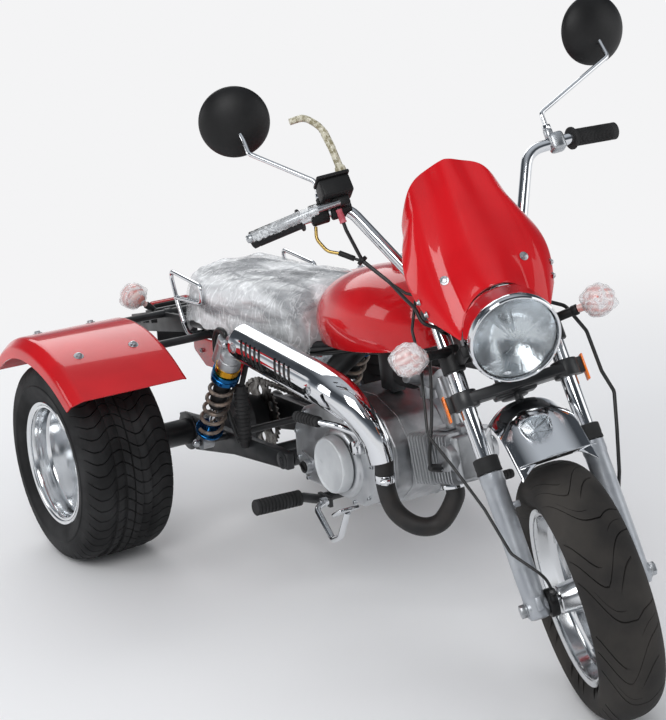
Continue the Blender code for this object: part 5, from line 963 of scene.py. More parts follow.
# Headlight: a chromed steel bowl and trim ring, a fluted glass lens and a
# silvered reflector with its bulb, held between the fork tubes.
LAMP_RADIUS = 0.085
LAMP_FORWARD = 0.164
LAMP_HEIGHT = 0.696
LAMP_DROOP = radians(40)
LAMP_BAND = 0.714
lamp_place = tilted((0, -LAMP_FORWARD, LAMP_HEIGHT), (radians(90) + LAMP_DROOP, 0, 0))
lamp_frame = FORK @ lamp_place

bowl = turn("headlight_bowl", [
    (0.0, -0.096), (0.02, -0.0955), (0.04, -0.092), (0.056, -0.084), (LAMP_RADIUS - 0.02, -0.07),
    (LAMP_RADIUS - 0.012, -0.054), (LAMP_RADIUS - 0.0078, -0.036), (LAMP_RADIUS - 0.0068, -0.012),
    (LAMP_RADIUS - 0.0066, 0.0035), (LAMP_RADIUS - 0.0055, 0.0052), (LAMP_RADIUS - 0.0035, 0.0055),
    (LAMP_RADIUS - 0.0012, 0.0036), (LAMP_RADIUS, -0.001), (LAMP_RADIUS, -0.0115),
    (LAMP_RADIUS - 0.0008, -0.0135), (LAMP_RADIUS - 0.0026, -0.0145), (LAMP_RADIUS - 0.0032, -0.016),
    (LAMP_RADIUS - 0.0036, -0.045), (LAMP_RADIUS - 0.008, -0.062), (LAMP_RADIUS - 0.016, -0.076),
    (LAMP_RADIUS - 0.028, -0.089), (0.042, -0.098), (0.02, -0.1015), (0.0, -0.102),
], steps=96)
finish(settle(bowl, lamp_frame), chrome, "steering", "headlight_shell", slot="chrome")

# Vacuum-silvered reflector: a soft mirror with radial ripples.
silvered = paint("silvered reflector", "#d9dcdf", 0.14, 1.0, smears=(0.1, 0.3, 34.0), grain=(220.0, 0.0004))
reflector = turn("headlight_reflector", [
    (0.01, -0.056), (0.022, -0.054), (0.04, -0.044), (0.056, -0.03), (0.068, -0.014),
    (LAMP_RADIUS - 0.0082, -0.004), (LAMP_RADIUS - 0.0082, -0.0055), (0.067, -0.016), (0.055, -0.032),
    (0.039, -0.046), (0.022, -0.056), (0.01, -0.058),
], steps=72)
finish(settle(reflector, lamp_frame), silvered, "steering", slot="chrome")

# Clear moulded glass: the flutes on its back break up what shows behind it.
lamp_glass = paint(
    "fluted lamp glass", "#f4f7f8", 0.03, smears=(0.02, 0.1, 24.0),
    sockets={"Transmission Weight": 1.0, "IOR": 1.5},
)
lens_section = [
    (0.0, 0.012), (0.02, 0.0114), (0.04, 0.0092), (0.058, 0.0052), (0.07, 0.0008),
    (LAMP_RADIUS - 0.0072, -0.0022), (LAMP_RADIUS - 0.0072, -0.0058), (0.07, -0.003), (0.058, 0.0014),
    (0.04, 0.0054), (0.02, 0.0076), (0.0, 0.0082),
]


def fluted(column, row):
    """A point of the lens: shallow flutes run up its back, bent by its dome."""
    radius, height = lens_section[row]
    angle = 2 * pi * column / 96
    x = radius * cos(angle)
    if row > 6:
        height += 0.0008 * cos(x * 2 * pi / 0.0085)
    return Vector((x, radius * sin(angle), height))


lens = grid("headlight_glass", 96, len(lens_section) - 1, fluted)
finish(settle(lens, lamp_frame), lamp_glass, "steering", "headlight_lens", slot="lens")
bulb = turn("headlight_bulb", [
    (0.0, -0.02), (0.004, -0.021), (0.0065, -0.026), (0.0065, -0.04), (0.009, -0.044), (0.01, -0.06),
    (0.0, -0.06),
], steps=32)
finish(settle(bulb, lamp_frame), silvered, "steering", slot="chrome")

parts = []
for side, _ in SIDES:
    x = side * LEG_SPACING
    band = turn("lamp_band", [
        (TUBE_RADIUS + 0.0004, LAMP_BAND + 0.024), (TUBE_RADIUS + 0.0045, LAMP_BAND + 0.024),
        (TUBE_RADIUS + 0.006, LAMP_BAND + 0.0225), (TUBE_RADIUS + 0.006, LAMP_BAND - 0.0225),
        (TUBE_RADIUS + 0.0045, LAMP_BAND - 0.024), (TUBE_RADIUS + 0.0004, LAMP_BAND - 0.024),
    ], steps=48)
    band.location = (x, -LEG_FORWARD, 0)
    parts.append(band)
    arm = brick(
        "lamp_arm", (0.014, 0.074, 0.022),
        (side * (LAMP_RADIUS - 0.001), -LEG_FORWARD - 0.05, LAMP_BAND - 0.006), edge=0.003,
    )
    inner = Vector((x, -LEG_FORWARD - 0.014, LAMP_BAND + 0.013))
    tip = Vector((side * 0.18, -0.102, LAMP_BAND + 0.013))
    stalk = bar("indicator_arm", inner, inner.lerp(tip, 0.58), 0.0085, sides=32)
    collar = bar("indicator_collar", inner.lerp(tip, 0.46), inner.lerp(tip, 0.575), 0.0098, sides=32)
    parts += [arm, stalk, collar]
parts.append(brick(
    "lamp_cross", (2 * LEG_SPACING - 0.01, 0.006, 0.026), (0, -LEG_FORWARD - 0.019, LAMP_BAND - 0.004),
    edge=0.0015,
))
bracket = join("headlight_bracket_arms", *parts)
clear = turn("lamp_bracket_clearance", [
    (0.0, 0.02), (LAMP_RADIUS + 0.0006, 0.02), (LAMP_RADIUS + 0.0006, -0.012),
    (LAMP_RADIUS - 0.0033, -0.0165), (LAMP_RADIUS - 0.0033, -0.0455), (LAMP_RADIUS - 0.0148, -0.08),
    (0.0, -0.11),
], steps=48)
cut_away(bracket, [settle(clear, lamp_place)])
on_fork(bracket, black_plastic, "headlight_bracket", slot="black_plastic")

# Fly screen: one thin red shell with three rounded lobes, bolted to two
# chromed stays from the lamp bracket.
SCREEN_THICK = 0.004

# Two-coat gloss red: deep clear lacquer with a faint orange-peel ripple.
red_paint = paint(
    "gloss red lacquer", "#c6131b", 0.22, patches=("#bd1119", "#cd161e", 5.0), grain=(160.0, 0.00005, 1.0),
    sockets={"Specular IOR Level": 0.14, "Coat Weight": 0.6, "Coat Roughness": 0.04},
)


def screen_point(across, up):
    """A point on the fly screen: across -1..1, up 0..1, in the fork frame."""
    shoulder = abs(across)
    half = 0.118 + 0.016 * sin(pi * min(1.0, up * 1.15)) - 0.018 * up ** 3
    if shoulder < 0.7:
        bottom = 0.798 - 0.07 * (shoulder / 0.7) ** 3
    else:
        bottom = 0.728 + 0.057 * (shoulder - 0.7) / 0.3
    top = 1.06 - 0.012 * shoulder - 0.07 * shoulder ** 4
    forward = 0.136 - 0.046 * up ** 1.6 - 0.052 * shoulder ** 2.2
    forward += 0.009 * cos(across * pi * 2.6) * (0.35 + 0.65 * up)
    forward += 0.028 * (1 - up) ** 4 * max(0.0, 1 - (shoulder / 0.5) ** 2)
    return Vector((across * half, -forward, bottom + (top - bottom) * up))


def thicken(piece, thickness, offset=0.0, edge=0.0):
    """A pressed or moulded sheet's real thickness, its edge rounded over."""
    select_only(piece)
    wall = piece.modifiers.new("sheet thickness", "SOLIDIFY")
    wall.thickness = thickness
    wall.offset = offset
    wall.use_even_offset = True
    bpy.ops.object.modifier_apply(modifier=wall.name)
    if edge:
        round_edges(piece, edge, 2, 60)
    bpy.ops.object.shade_smooth_by_angle(angle=radians(40))
    return piece


screen = grid("fly_screen_shell", 72, 40, lambda i, j: screen_point(-1 + i / 36, j / 40), closed=False)
thicken(screen, SCREEN_THICK, edge=0.0012)
on_fork(screen, red_paint, "fly_screen", slot="red_paint")

parts = []
for side, _ in SIDES:
    spot = screen_point(side * 4 / 7, 2 / 7)
    further_out = screen_point(side * 4 / 7 + 0.05, 2 / 7)
    further_up = screen_point(side * 4 / 7, 2 / 7 + 0.05)
    outward = (further_out - spot).cross(further_up - spot).normalized()
    if outward.y < 0:
        outward = -outward
    pad = spot + outward * (SCREEN_THICK / 2 + 0.0006)
    parts.append(tube("screen_stay", [
        pad, spot + outward * 0.03, Vector((side * 0.07, -LEG_FORWARD - 0.019, LAMP_BAND + 0.004)),
    ], 0.0045, bend=0.012))
    parts.append(bar(
        "screen_washer", spot - outward * (SCREEN_THICK / 2), spot - outward * (SCREEN_THICK / 2 + 0.001),
        0.0085, sides=32, edge=0.0003,
    ))
    parts.append(bar(
        "screen_bolt", spot - outward * (SCREEN_THICK / 2 + 0.001),
        spot - outward * (SCREEN_THICK / 2 + 0.0038), 0.0055, sides=24, edge=0.001,
    ))
    for step in (0.1, 0.22):
        at = screen_point(side * 0.955, step)
        sideways = Vector((side, 0.35, 0)).normalized()
        parts.append(bar("edge_washer", at, at + sideways * 0.0035, 0.0062, sides=24, edge=0.0004))
        parts.append(bar("edge_bolt", at + sideways * 0.0035, at + sideways * 0.0075, 0.0042, sides=6))
on_fork(join("screen_fixings", *parts), bolt_zinc, slot="chrome")

# Front indicators: round lamps still in their clear shipping bags, with the
# pink and amber lens showing through the crumpled film.
indicator_lens = paint("pale indicator lens", "#e6b6aa", 0.16)
tree, surface, place = shader_of(indicator_lens)
rings = add(
    tree, "ShaderNodeTexWave", {"Vector": place, "Scale": 26.0, "Distortion": 3.0, "Detail": 1.0},
    wave_type="RINGS", rings_direction="SPHERICAL",
)
shades = add(tree, "ShaderNodeValToRGB", {"Fac": rings.outputs["Fac"]})
shades.color_ramp.elements[0].color = colour("#f1dbd6")
shades.color_ramp.elements[1].color = colour("#d98c84")
tree.links.new(shades.outputs["Color"], surface.inputs["Base Color"])
surface.inputs["Coat Weight"].default_value = 0.8

# Thin clear polythene: nearly invisible but for white creases and glints.
clear_film = paint("clear polythene film", "#eef1f3", 0.16)
tree, surface, place = shader_of(clear_film)
creases = add(
    tree, "ShaderNodeTexNoise", {"Vector": place, "Scale": 34.0, "Detail": 3.0, "Distortion": 1.6},
)
sharp = add(tree, "ShaderNodeMath", {0: creases.outputs["Fac"], 1: 0.5}, operation="SUBTRACT")
sharp = add(tree, "ShaderNodeMath", {0: sharp.outputs[0]}, operation="ABSOLUTE")
milk_and_sheen = add(
    tree, "ShaderNodeMapRange",
    {"Value": sharp.outputs[0], "From Min": 0.0, "From Max": 0.06, "To Min": 0.8, "To Max": 0.3},
)
tree.links.new(milk_and_sheen.outputs["Result"], surface.inputs["Alpha"])
relief = add(tree, "ShaderNodeBump", {"Height": sharp.outputs[0], "Distance": 0.004, "Strength": 0.9})
tree.links.new(relief.outputs["Normal"], surface.inputs["Normal"])


def lamp_body(name, spot, foot_from, foot_radius, facing):
    """A round indicator: lens, trim ring and the foot it stands on."""
    made = turn(name, [
        (0.0, 0.024), (0.008, 0.0232), (0.016, 0.0208), (0.022, 0.0165), (0.0262, 0.0095), (0.0278, 0.0035),
        (0.029, 0.003), (0.029, -0.001), (0.0282, -0.0025), (0.0285, -0.006), (0.026, -0.012),
        (0.0215, -0.019), (0.014, -0.024), (0.006, -0.0258), (0.0, -0.026),
    ], steps=64)
    settle(made, tilted(spot, facing))
    return join(name, made, bar("indicator_foot", foot_from, spot, foot_radius, sides=28))


def film_bag(name, spot, facing, size, seed):
    """A crumpled film bag drawn round a lamp, its corners sticking out."""
    columns, rows = 48, 24

    def shape(column, row):
        """A point of the bag by its place round and along it."""
        angle = 2 * pi * column / columns
        tilt = pi * row / rows
        direction = Vector((sin(tilt) * cos(angle), sin(tilt) * sin(angle), cos(tilt)))
        crumple = noise.noise(direction * 2.6 + Vector((seed, 0, 0))) * 0.13
        crumple += noise.noise(direction * 7.0 + Vector((0, seed, 0))) * 0.05
        corner = 0.16 * max(0.0, cos(angle * 2 + 0.7)) ** 6 * sin(tilt) ** 2
        reach = size * (1 + crumple + corner)
        return Vector((direction.x * reach, direction.y * reach, direction.z * reach * 0.86))

    made = grid(name, columns, rows, shape, sharp=60)
    return settle(made, tilted(spot, facing))


for number, (side, word) in enumerate(SIDES):
    inner = Vector((side * LEG_SPACING, -LEG_FORWARD - 0.014, LAMP_BAND + 0.013))
    tip = Vector((side * 0.18, -0.102, LAMP_BAND + 0.013))
    joint = inner.lerp(tip, 0.58)
    facing = (radians(90) + RAKE, 0, 0)
    lamp = lamp_body(
        f"front_indicator_{word}_lamp", tip, joint + (tip - joint).normalized() * 0.0004, 0.0075, facing,
    )
    on_fork(lamp, indicator_lens, f"front_indicator_{word}", slot="indicator_lens")
    bag = film_bag(f"front_indicator_{word}_bag", tip, facing, 0.0315, 3.1 + number)
    on_fork(bag, clear_film)


# Front mudguard: one chromed steel pressing with turned-down sides, its front
# lip folded flat and drilled for a bolt.
def smooth_line(points, count):
    """Evenly spaced points along a path."""
    lengths = [(b - a).length for a, b in zip(points, points[1:])]
    total = sum(lengths)
    line = []
    for step in range(count + 1):
        target = total * step / count
        index = 0
        while index < len(lengths) - 1 and target > lengths[index]:
            target -= lengths[index]
            index += 1
        line.append(points[index].lerp(points[index + 1], min(1.0, target / lengths[index])))
    return line


guard_line = smooth_line(bent_path([
    (0, 0.03, 0.6), (0, -0.03, 0.6135), (0, -0.105, 0.572), (0, -0.166, 0.482),
], 0.08, 12), 40)


def guard_point(column, row):
    """A point of the mudguard: flat lip at its front, rolled edge at its sides."""
    across = -1 + column / 16
    droop = 0.03 * abs(across) ** 2.6
    if abs(across) > 0.9:
        droop -= 0.0012 * (abs(across) - 0.9) / 0.1
    return guard_line[row] + Vector((0.07 * across, 0.35 * droop, -droop))


guard = grid("front_mudguard_pressing", 32, 40, guard_point, closed=False)
thicken(guard, 0.0018, edge=0.0006)
lip = slab("mudguard_lip", [
    (0.07, 0.004), (0.071, -0.006), (0.066, -0.0105), (0.03, -0.0125), (0.0, -0.013), (-0.03, -0.0125),
    (-0.066, -0.0105), (-0.071, -0.006), (-0.07, 0.004), (-0.066, 0.01), (0.066, 0.01),
], 0.0016, edge=0.0006)
lip = settle(lip, tilted((0, -0.169, 0.4775), (radians(-8), 0, 0)))
lip_hole = bar("lip_hole", (0, -0.176, 0.47), (0, -0.177, 0.486), 0.003, sides=20, edge=0)
cut_away(lip, [lip_hole])
on_fork(join("front_mudguard_pressing", guard, lip), chrome, "front_mudguard", slot="chrome")
guard_bolts = []
for side, _ in SIDES:
    guard_bolts.append(cross_bar(
        "guard_bolt", side * 0.0705, side * 0.0725, -LEG_FORWARD + 0.004, 0.5585, 0.006, sides=6,
    ))
on_fork(join("mudguard_bolts", *guard_bolts), bolt_zinc, slot="chrome")


# Speedometer: a chromed cup and bezel behind clear glass, its dial plain black
# with white ticks and a red needle, and its black cable up from the hub.
gauge_place = tilted((0, -0.072, 0.872), (radians(18), 0, 0))
GAUGE = FORK @ gauge_place
cup = turn("speedometer_cup", [
    (0.0, 0.0165), (0.0335, 0.0165), (0.034, 0.0205), (0.035, 0.022), (0.0364, 0.0212), (0.037, 0.019),
    (0.037, 0.012), (0.0362, 0.01), (0.037, 0.008), (0.037, -0.008), (0.035, -0.014), (0.031, -0.02),
    (0.026, -0.0255), (0.02, -0.0275), (0.0, -0.028),
], steps=72)
settle(cup, gauge_place)
foot = brick(
    "gauge_foot", (0.026, 0.004, 0.06),
    (0, -(LEG_FORWARD + TUBE_RADIUS + 0.0098) - 0.002, UPPER_YOKE + 0.034), edge=0.0012,
)
on_fork(join("speedometer_cup", cup, foot), chrome, slot="chrome")

dial_black = paint("printed black dial", "#151516", 0.55)
dial_white = paint("printed white ticks", "#e8e8e4", 0.6)
dial = turn("speedometer_dial", [
    (0.0, 0.0172), (0.0325, 0.0172), (0.0325, 0.0168), (0.0, 0.0168),
], steps=64)
finish(settle(dial, GAUGE), dial_black, "steering", slot="black_plastic")
ticks = []
for number in range(21):
    angle = radians(225 - 270 * number / 20)
    reach = 0.0235 if number % 2 == 0 else 0.0262
    middle = (reach + 0.03) / 2
    ticks.append(brick(
        "tick", (0.03 - reach, 0.0009, 0.0003), (middle * cos(angle), middle * sin(angle), 0.0174),
        (0, 0, angle), edge=0.0001, segments=1,
    ))
finish(settle(join("speedometer_ticks", *ticks), GAUGE), dial_white, "steering", slot="black_plastic")
needle = join(
    "speedometer_needle",
    brick("needle", (0.026, 0.0014, 0.0008), (-0.0085, -0.0085, 0.0184), (0, 0, radians(45)), edge=0.0003),
    upright("needle_hub", 0, 0, 0.0172, 0.0195, 0.0035, sides=28),
)
needle_red = paint("red needle enamel", "#c8261b", 0.4)
finish(settle(needle, GAUGE), needle_red, "steering", slot="red_paint")
cover = turn("speedometer_glass", [
    (0.0, 0.0214), (0.02, 0.0212), (0.0335, 0.0206), (0.0335, 0.02), (0.02, 0.0206), (0.0, 0.0208),
], steps=64)
finish(settle(cover, GAUGE), lamp_glass, "steering", slot="lens")

# Extruded black cable sheath: soft plastic with a waxy shine.
sheath = paint("black cable sheath", "#151516", 0.36, smears=(0.28, 0.48, 60.0), grain=(900.0, 0.00005))
drive_cable = tube("speedometer_cable", [
    (-0.019, -0.058, UPPER_YOKE + 0.056), (-0.02, -0.048, UPPER_YOKE + 0.03),
    (-0.06, -0.034, UPPER_YOKE + 0.056), (-0.118, -0.03, UPPER_YOKE + 0.05),
    (-0.146, -0.036, UPPER_YOKE - 0.01), (-0.154, -0.046, LAMP_BAND + 0.006),
    (-0.183, -0.046, LOWER_YOKE - 0.024), (-0.16, -0.052, LOWER_YOKE - 0.09),
    (-0.134, -0.07, SLIDER_TOP - 0.06), (-0.12, -0.096, AXLE_HEIGHT + 0.1),
    (-0.08, -0.116, AXLE_HEIGHT + 0.042), (-0.069, -LEG_FORWARD - 0.042, AXLE_HEIGHT + 0.0145),
], 0.0028, bend=0.03, sides=16)
ferrules = [
    bar(
        "cable_ferrule", (-0.0695, -LEG_FORWARD - 0.039, AXLE_HEIGHT + 0.013),
        (-0.0715, -LEG_FORWARD - 0.053, AXLE_HEIGHT + 0.018), 0.0055, sides=20,
    ),
    bar(
        "cable_nut", (-0.019, -0.06, UPPER_YOKE + 0.0535), (-0.019, -0.0535, UPPER_YOKE + 0.044), 0.0052,
        sides=6,
    ),
]
on_fork(join("speedometer_cable", drive_cable, *ferrules), sheath, "speedometer", slot="black_plastic")


# Brake hose and throttle cable: a thick rubber hose from a faded red boot and
# a thin sheathed cable from a brass elbow, tied together below the bar.
tie = BAR_TOP - 0.11
hose = tube("brake_hose", [
    (-0.2, -0.026, BAR_TOP - 0.008), (-0.198, -0.02, BAR_TOP - 0.05), (-0.186, -0.006, tie),
    (-0.152, -0.012, BAR_TOP - 0.166), (-0.138, -0.034, BAR_TOP - 0.21),
    (-0.131, -0.054, UPPER_YOKE + 0.024), (-0.128, -0.06, UPPER_YOKE - 0.008),
    (-0.097, -0.06, UPPER_YOKE - 0.03), (-0.05, -0.046, UPPER_YOKE - 0.04),
    (0.05, -0.046, UPPER_YOKE - 0.042), (0.097, -0.06, UPPER_YOKE - 0.034),
    (0.132, -0.054, LAMP_BAND + 0.03), (0.156, -0.044, LAMP_BAND - 0.024),
    (0.158, -0.04, LOWER_YOKE - 0.008), (0.167, -0.04, LOWER_YOKE - 0.05),
    (0.15, -0.038, LOWER_YOKE - 0.112), (0.128, -0.03, LOWER_YOKE - 0.19), (0.105, 0.0, AXLE_HEIGHT + 0.11),
    (0.066, 0.034, AXLE_HEIGHT + 0.106), (0.064, 0.036, AXLE_HEIGHT + 0.0775),
], 0.0035, bend=0.022, sides=18)
on_fork(hose, sheath, "control_cables", slot="black_plastic")
throttle = tube("throttle_cable", [
    (-0.223, 0.004, BAR_TOP - 0.081), (-0.186, 0.0, tie), (-0.152, 0.004, BAR_TOP - 0.16),
    (-0.128, 0.002, BAR_TOP - 0.192), (-0.096, -0.006, UPPER_YOKE + 0.046),
    (-0.078, -0.02, UPPER_YOKE + 0.036), (-0.078, -0.022, UPPER_YOKE + UPPER_THICK + 0.0005),
], 0.0028, bend=0.016, sides=16)
on_fork(throttle, sheath, slot="black_plastic")
brass = paint("yellow passivated elbow", "#b59a5c", 0.3, 1.0, smears=(0.22, 0.42, 50.0))
elbow = tube("throttle_elbow", [
    (-0.246, 0.004, BAR_TOP - 0.0215), (-0.252, 0.006, BAR_TOP - 0.044), (-0.24, 0.006, BAR_TOP - 0.072),
    (-0.22, 0.004, BAR_TOP - 0.083),
], 0.0032, bend=0.024, sides=18)
on_fork(elbow, brass, slot="chrome")
boot_red = paint("faded red rubber boot", "#b8505c", 0.6, patches=("#ab4450", "#c26570", 40.0))
boot = turn("hose_boot", [
    (0.0, 0.0), (0.0062, 0.0), (0.0068, 0.002), (0.006, 0.004), (0.0066, 0.008), (0.0058, 0.011),
    (0.0062, 0.015), (0.0054, 0.018), (0.0058, 0.026), (0.0, 0.026),
], steps=32)
settle(boot, aimed((-0.1985, -0.0215, BAR_TOP - 0.036), (-0.002, -0.006, 0.042)))
on_fork(boot, boot_red, slot="rubber")
sleeve = bar(
    "cable_sleeve", (-0.221, 0.004, BAR_TOP - 0.0815), (-0.197, 0.0015, BAR_TOP - 0.1015), 0.0052, sides=24,
    edge=0.001,
)
strap = turn("cable_tie_strap", [
    (0.0078, 0.0035), (0.0102, 0.003), (0.0102, -0.003), (0.0078, -0.0035),
], steps=32)
settle(strap, aimed((-0.1855, -0.003, tie), (0.5, 0, -1)))
on_fork(join("cable_fittings", sleeve, strap), black_plastic, slot="black_plastic")

# Hand lever on the bar clamp: a curved arm wound in beige packing tape and
# film, with a knot of it where the lever meets its stalk.
tape = paint(
    "beige packing wrap", "#b3ab92", 0.55, patches=("#8d8568", "#cdc8b4", 120.0, 0.42, 0.58),
    grain=(260.0, 0.0012), sockets={"Coat Weight": 0.5, "Coat Roughness": 0.12},
)
arm = tube("hand_lever_arm", [
    (-0.19, 0.004, BAR_TOP + 0.014), (-0.168, 0.002, BAR_TOP + 0.067), (-0.17, 0.0, BAR_TOP + 0.11),
    (-0.176, 0.0, BAR_TOP + 0.155), (-0.2, 0.0, BAR_TOP + 0.185), (-0.23, 0.0, BAR_TOP + 0.184),
], 0.0062, bend=0.05, sides=28, steps=10)
for vertex in arm.data.vertices:
    at = vertex.co
    height = at.z - BAR_TOP
    centre_x = -0.172 if height < 0.15 else at.x
    swell = 1.0 if height < 0.075 else 1.22
    wrap = noise.noise(at * 190.0) * 0.0011 + noise.noise(at * 70.0) * 0.0009
    away = Vector((at.x - centre_x, at.y, 0)) if height < 0.15 else Vector((0, at.y, 0.001))
    vertex.co = at + away.normalized() * (wrap + (swell - 1.0) * 0.004)
knot = turn("lever_knot", [
    (0.0, 0.012), (0.006, 0.0115), (0.0098, 0.007), (0.0108, 0.0), (0.0095, -0.007), (0.006, -0.0115),
    (0.0, -0.012),
], steps=32)
knot.location = (-0.168, 0.002, BAR_TOP + 0.067)
on_fork(join("hand_lever_arm", arm, knot), tape, slot="chrome")

# Brake lever wrap: the crinkled shipping film still wound round the blade.
blade = [
    Vector((-0.24, -0.046, BAR_TOP - 0.004)), Vector((-0.3, -0.036, BAR_TOP - 0.008)),
    Vector((-0.366, -0.011, BAR_TOP - 0.01)),
]


def wound(column, row):
    """A point of the film wound round the lever blade, loose and creased."""
    share = row / 40
    spine = blade[0].lerp(blade[1], share * 2) if share < 0.5 else blade[1].lerp(blade[2], share * 2 - 1)
    angle = 2 * pi * column / 24
    direction = Vector((0, cos(angle), sin(angle)))
    crumple = noise.noise(Vector((share * 26, cos(angle), sin(angle))) * 1.3) * 0.003
    return spine + direction * (0.0092 + crumple + 0.0016 * sin(share * pi))


wrap = grid("brake_lever_film", 24, 40, wound, closed=False, sharp=60)
on_fork(wrap, clear_film)


# Rear fenders: one red pressing over each wheel, its outer corner rolled over
# and turned down, bolted through to the stays with chromed cap screws.
FENDER_RADIUS = REAR_RADIUS + 0.0585
FENDER_INNER = 0.238
FENDER_OUTER = 0.505
FENDER_THICK = 0.003
FENDER_LIFT, LIFT_START, LIFT_SPAN = 0.035, 90, 50
FENDER_ROWS = bent_path([
    (FENDER_INNER, 0, -0.0045), (FENDER_INNER + 0.006, 0, 0.0), (0.345, 0, 0.0),
    (FENDER_OUTER - 0.024, 0, 0.0), (FENDER_OUTER - 0.002, 0, -0.018), (FENDER_OUTER, 0, -0.04),
], 0.016, 5)


def fender_arc(angle):
    """Radius of the fender's middle line at an angle from the rear."""
    return FENDER_RADIUS + FENDER_LIFT * max(0.0, (degrees(angle) - LIFT_START) / LIFT_SPAN) ** 2


def fender_under(y):
    """Height of the fender's underside at a place along the trike."""
    angle = acos((y - WHEELBASE) / FENDER_RADIUS)
    for _ in range(6):
        angle = acos((y - WHEELBASE) / fender_arc(angle))
    return REAR_RADIUS + fender_arc(angle) * sin(angle)


for side, word in SIDES:
    def pressing(column, row):
        """A point of the fender's inner face."""
        angle = radians(36 + 105 * column / 84)
        spot = FENDER_ROWS[row if side > 0 else len(FENDER_ROWS) - 1 - row]
        flare = 0.0025 * max(0.0, 1 - column / 3) + 0.0025 * max(0.0, 1 - (84 - column) / 3)
        radius = fender_arc(angle) + spot.z + flare
        return Vector((side * spot.x, WHEELBASE + radius * cos(angle), REAR_RADIUS + radius * sin(angle)))

    fender = thicken(
        grid(f"rear_fender_{word}_pressing", 84, len(FENDER_ROWS) - 1, pressing, closed=False),
        FENDER_THICK, 1.0,
    )
    finish(fender, red_paint, "chassis", f"rear_fender_{word}", slot="red_paint")
    bolts = []
    for x, y in (
        (0.43, WHEELBASE - 0.133), (0.3, WHEELBASE - 0.133), (0.43, WHEELBASE + 0.092),
        (0.3, WHEELBASE + 0.092),
    ):
        spot = Vector((side * x, y, fender_under(y) + FENDER_THICK + 0.0006))
        lean = Vector((0, y - WHEELBASE, spot.z - REAR_RADIUS)).to_track_quat("Z", "Y").to_matrix().to_4x4()
        bolts.append(settle(turn("fender_bolt", [
            (0.0, 0.0042), (0.0032, 0.0042), (0.0038, 0.0062), (0.0062, 0.0056), (0.007, 0.0044),
            (0.007, 0.0014), (0.0105, 0.0012), (0.011, 0.0006), (0.011, -0.001), (0.0, -0.001),
        ], steps=28), Matrix.Translation(spot) @ lean))
    finish(join(f"fender_bolts_{word}", *bolts), bolt_zinc, "chassis", slot="chrome")


# Main frame: round steel tubes welded to a head tube, with seat rails, cross
# tubes for the fenders and hangers for the engine, all in black enamel.
RAIL_RADIUS = 0.011
RAIL_X = 0.1
RAIL_FRONT = Vector((RAIL_X, 0.83, 0.53))
RAIL_REAR = Vector((RAIL_X, WHEELBASE + 0.112, 0.481))
PIVOT = Vector((0.0, 0.895, 0.27))
TRAY_TOP = 0.476
SHOCK_X = 0.172
SHOCK_TOP = Vector((SHOCK_X, 0.969, 0.526))
SHOCK_FOOT = Vector((SHOCK_X, WHEELBASE - 0.188, 0.262))
HEAD_CLEARANCE = 0.003
BACKBONE_RADIUS = 0.024


def on_stem(height):
    """Place of a point on the steering axis."""
    return Vector((0, -TRAIL + height * sin(RAKE), height * cos(RAKE)))


def rail_height(y):
    """Centre height of the seat rails at a place along the trike."""
    share = (y - RAIL_FRONT.y) / (RAIL_REAR.y - RAIL_FRONT.y)
    return RAIL_FRONT.z + share * (RAIL_REAR.z - RAIL_FRONT.z)


def to_side(vector, side):
    """The same place on the right side, -1, or on the left side, 1."""
    return Vector((side * abs(vector.x), vector.y, vector.z))


# Stands a flat outline on edge: its X runs back, its Y up and its depth across.
ON_EDGE = Matrix(((0, 0, 1, 0), (1, 0, 0, 0), (0, 1, 0, 0), (0, 0, 0, 1)))


def side_slab(name, outline, thickness, x, edge=0.0015, segments=2):
    """A plate that stands lengthwise, from an outline of places along and up."""
    made = slab(name, outline, thickness, edge, segments)
    return settle(made, Matrix.Translation((x, 0, 0)) @ ON_EDGE)


head_low = on_stem(LOWER_YOKE + YOKE_THICK + HEAD_CLEARANCE)
head_high = on_stem(UPPER_YOKE - HEAD_CLEARANCE)
head_middle = head_low.lerp(head_high, 0.45)
backbone_line = [head_middle, (0, 0.44, 0.6), (0, 0.74, 0.535), (0, 0.865, 0.45), tuple(PIVOT)]
parts = [
    bar("head_tube", head_low, head_high, 0.024, sides=48),
    bar("head_cup_low", head_low, head_low.lerp(head_high, 0.1), 0.0262, sides=48),
    bar("head_cup_high", head_high, head_high.lerp(head_low, 0.1), 0.0262, sides=48),
    tube("backbone", backbone_line, BACKBONE_RADIUS, bend=0.1, sides=36, steps=10),
    side_slab("head_gusset", [
        (head_middle.y + 0.01, head_middle.z - 0.01), (head_middle.y + 0.15, head_middle.z - 0.03),
        (head_middle.y + 0.12, head_middle.z - 0.062), (head_low.y + 0.014, head_low.z + 0.006),
    ], 0.008, 0),
    bar(
        "shock_bar", to_side(SHOCK_TOP, -1) - Vector((0.02, 0, 0)), SHOCK_TOP + Vector((0.02, 0, 0)), 0.008,
        sides=28,
    ),
    cross_bar("pivot_tube", -0.1, 0.1, PIVOT.y, PIVOT.z, 0.018, sides=36),
    side_slab("front_hanger", [
        (0.592, 0.57), (0.66, 0.556), (0.65, 0.4625), (0.604, 0.4625),
    ], 0.03, 0, 0.003),
    side_slab("rear_hanger", [(0.88, 0.4), (0.893, 0.32), (0.8425, 0.3), (0.8425, 0.36)], 0.04, 0, 0.003),
]
for side, word in SIDES:
    parts += [
        tube(f"seat_rail_{word}", [
            (side * 0.01, 0.7, 0.548), (side * 0.06, 0.78, rail_height(0.78)), to_side(RAIL_FRONT, side),
            to_side(RAIL_REAR, side),
        ], RAIL_RADIUS, bend=0.05, sides=24),
        brick(f"shock_lug_{word}", (0.014, 0.027, 0.02), (side * RAIL_X, SHOCK_TOP.y, 0.5195), edge=0.002),
        brick(
            f"tray_leg_{word}", (0.012, 0.02, 0.034), (side * 0.096, 1.125, TRAY_TOP + 0.0173), edge=0.002,
        ),
    ]
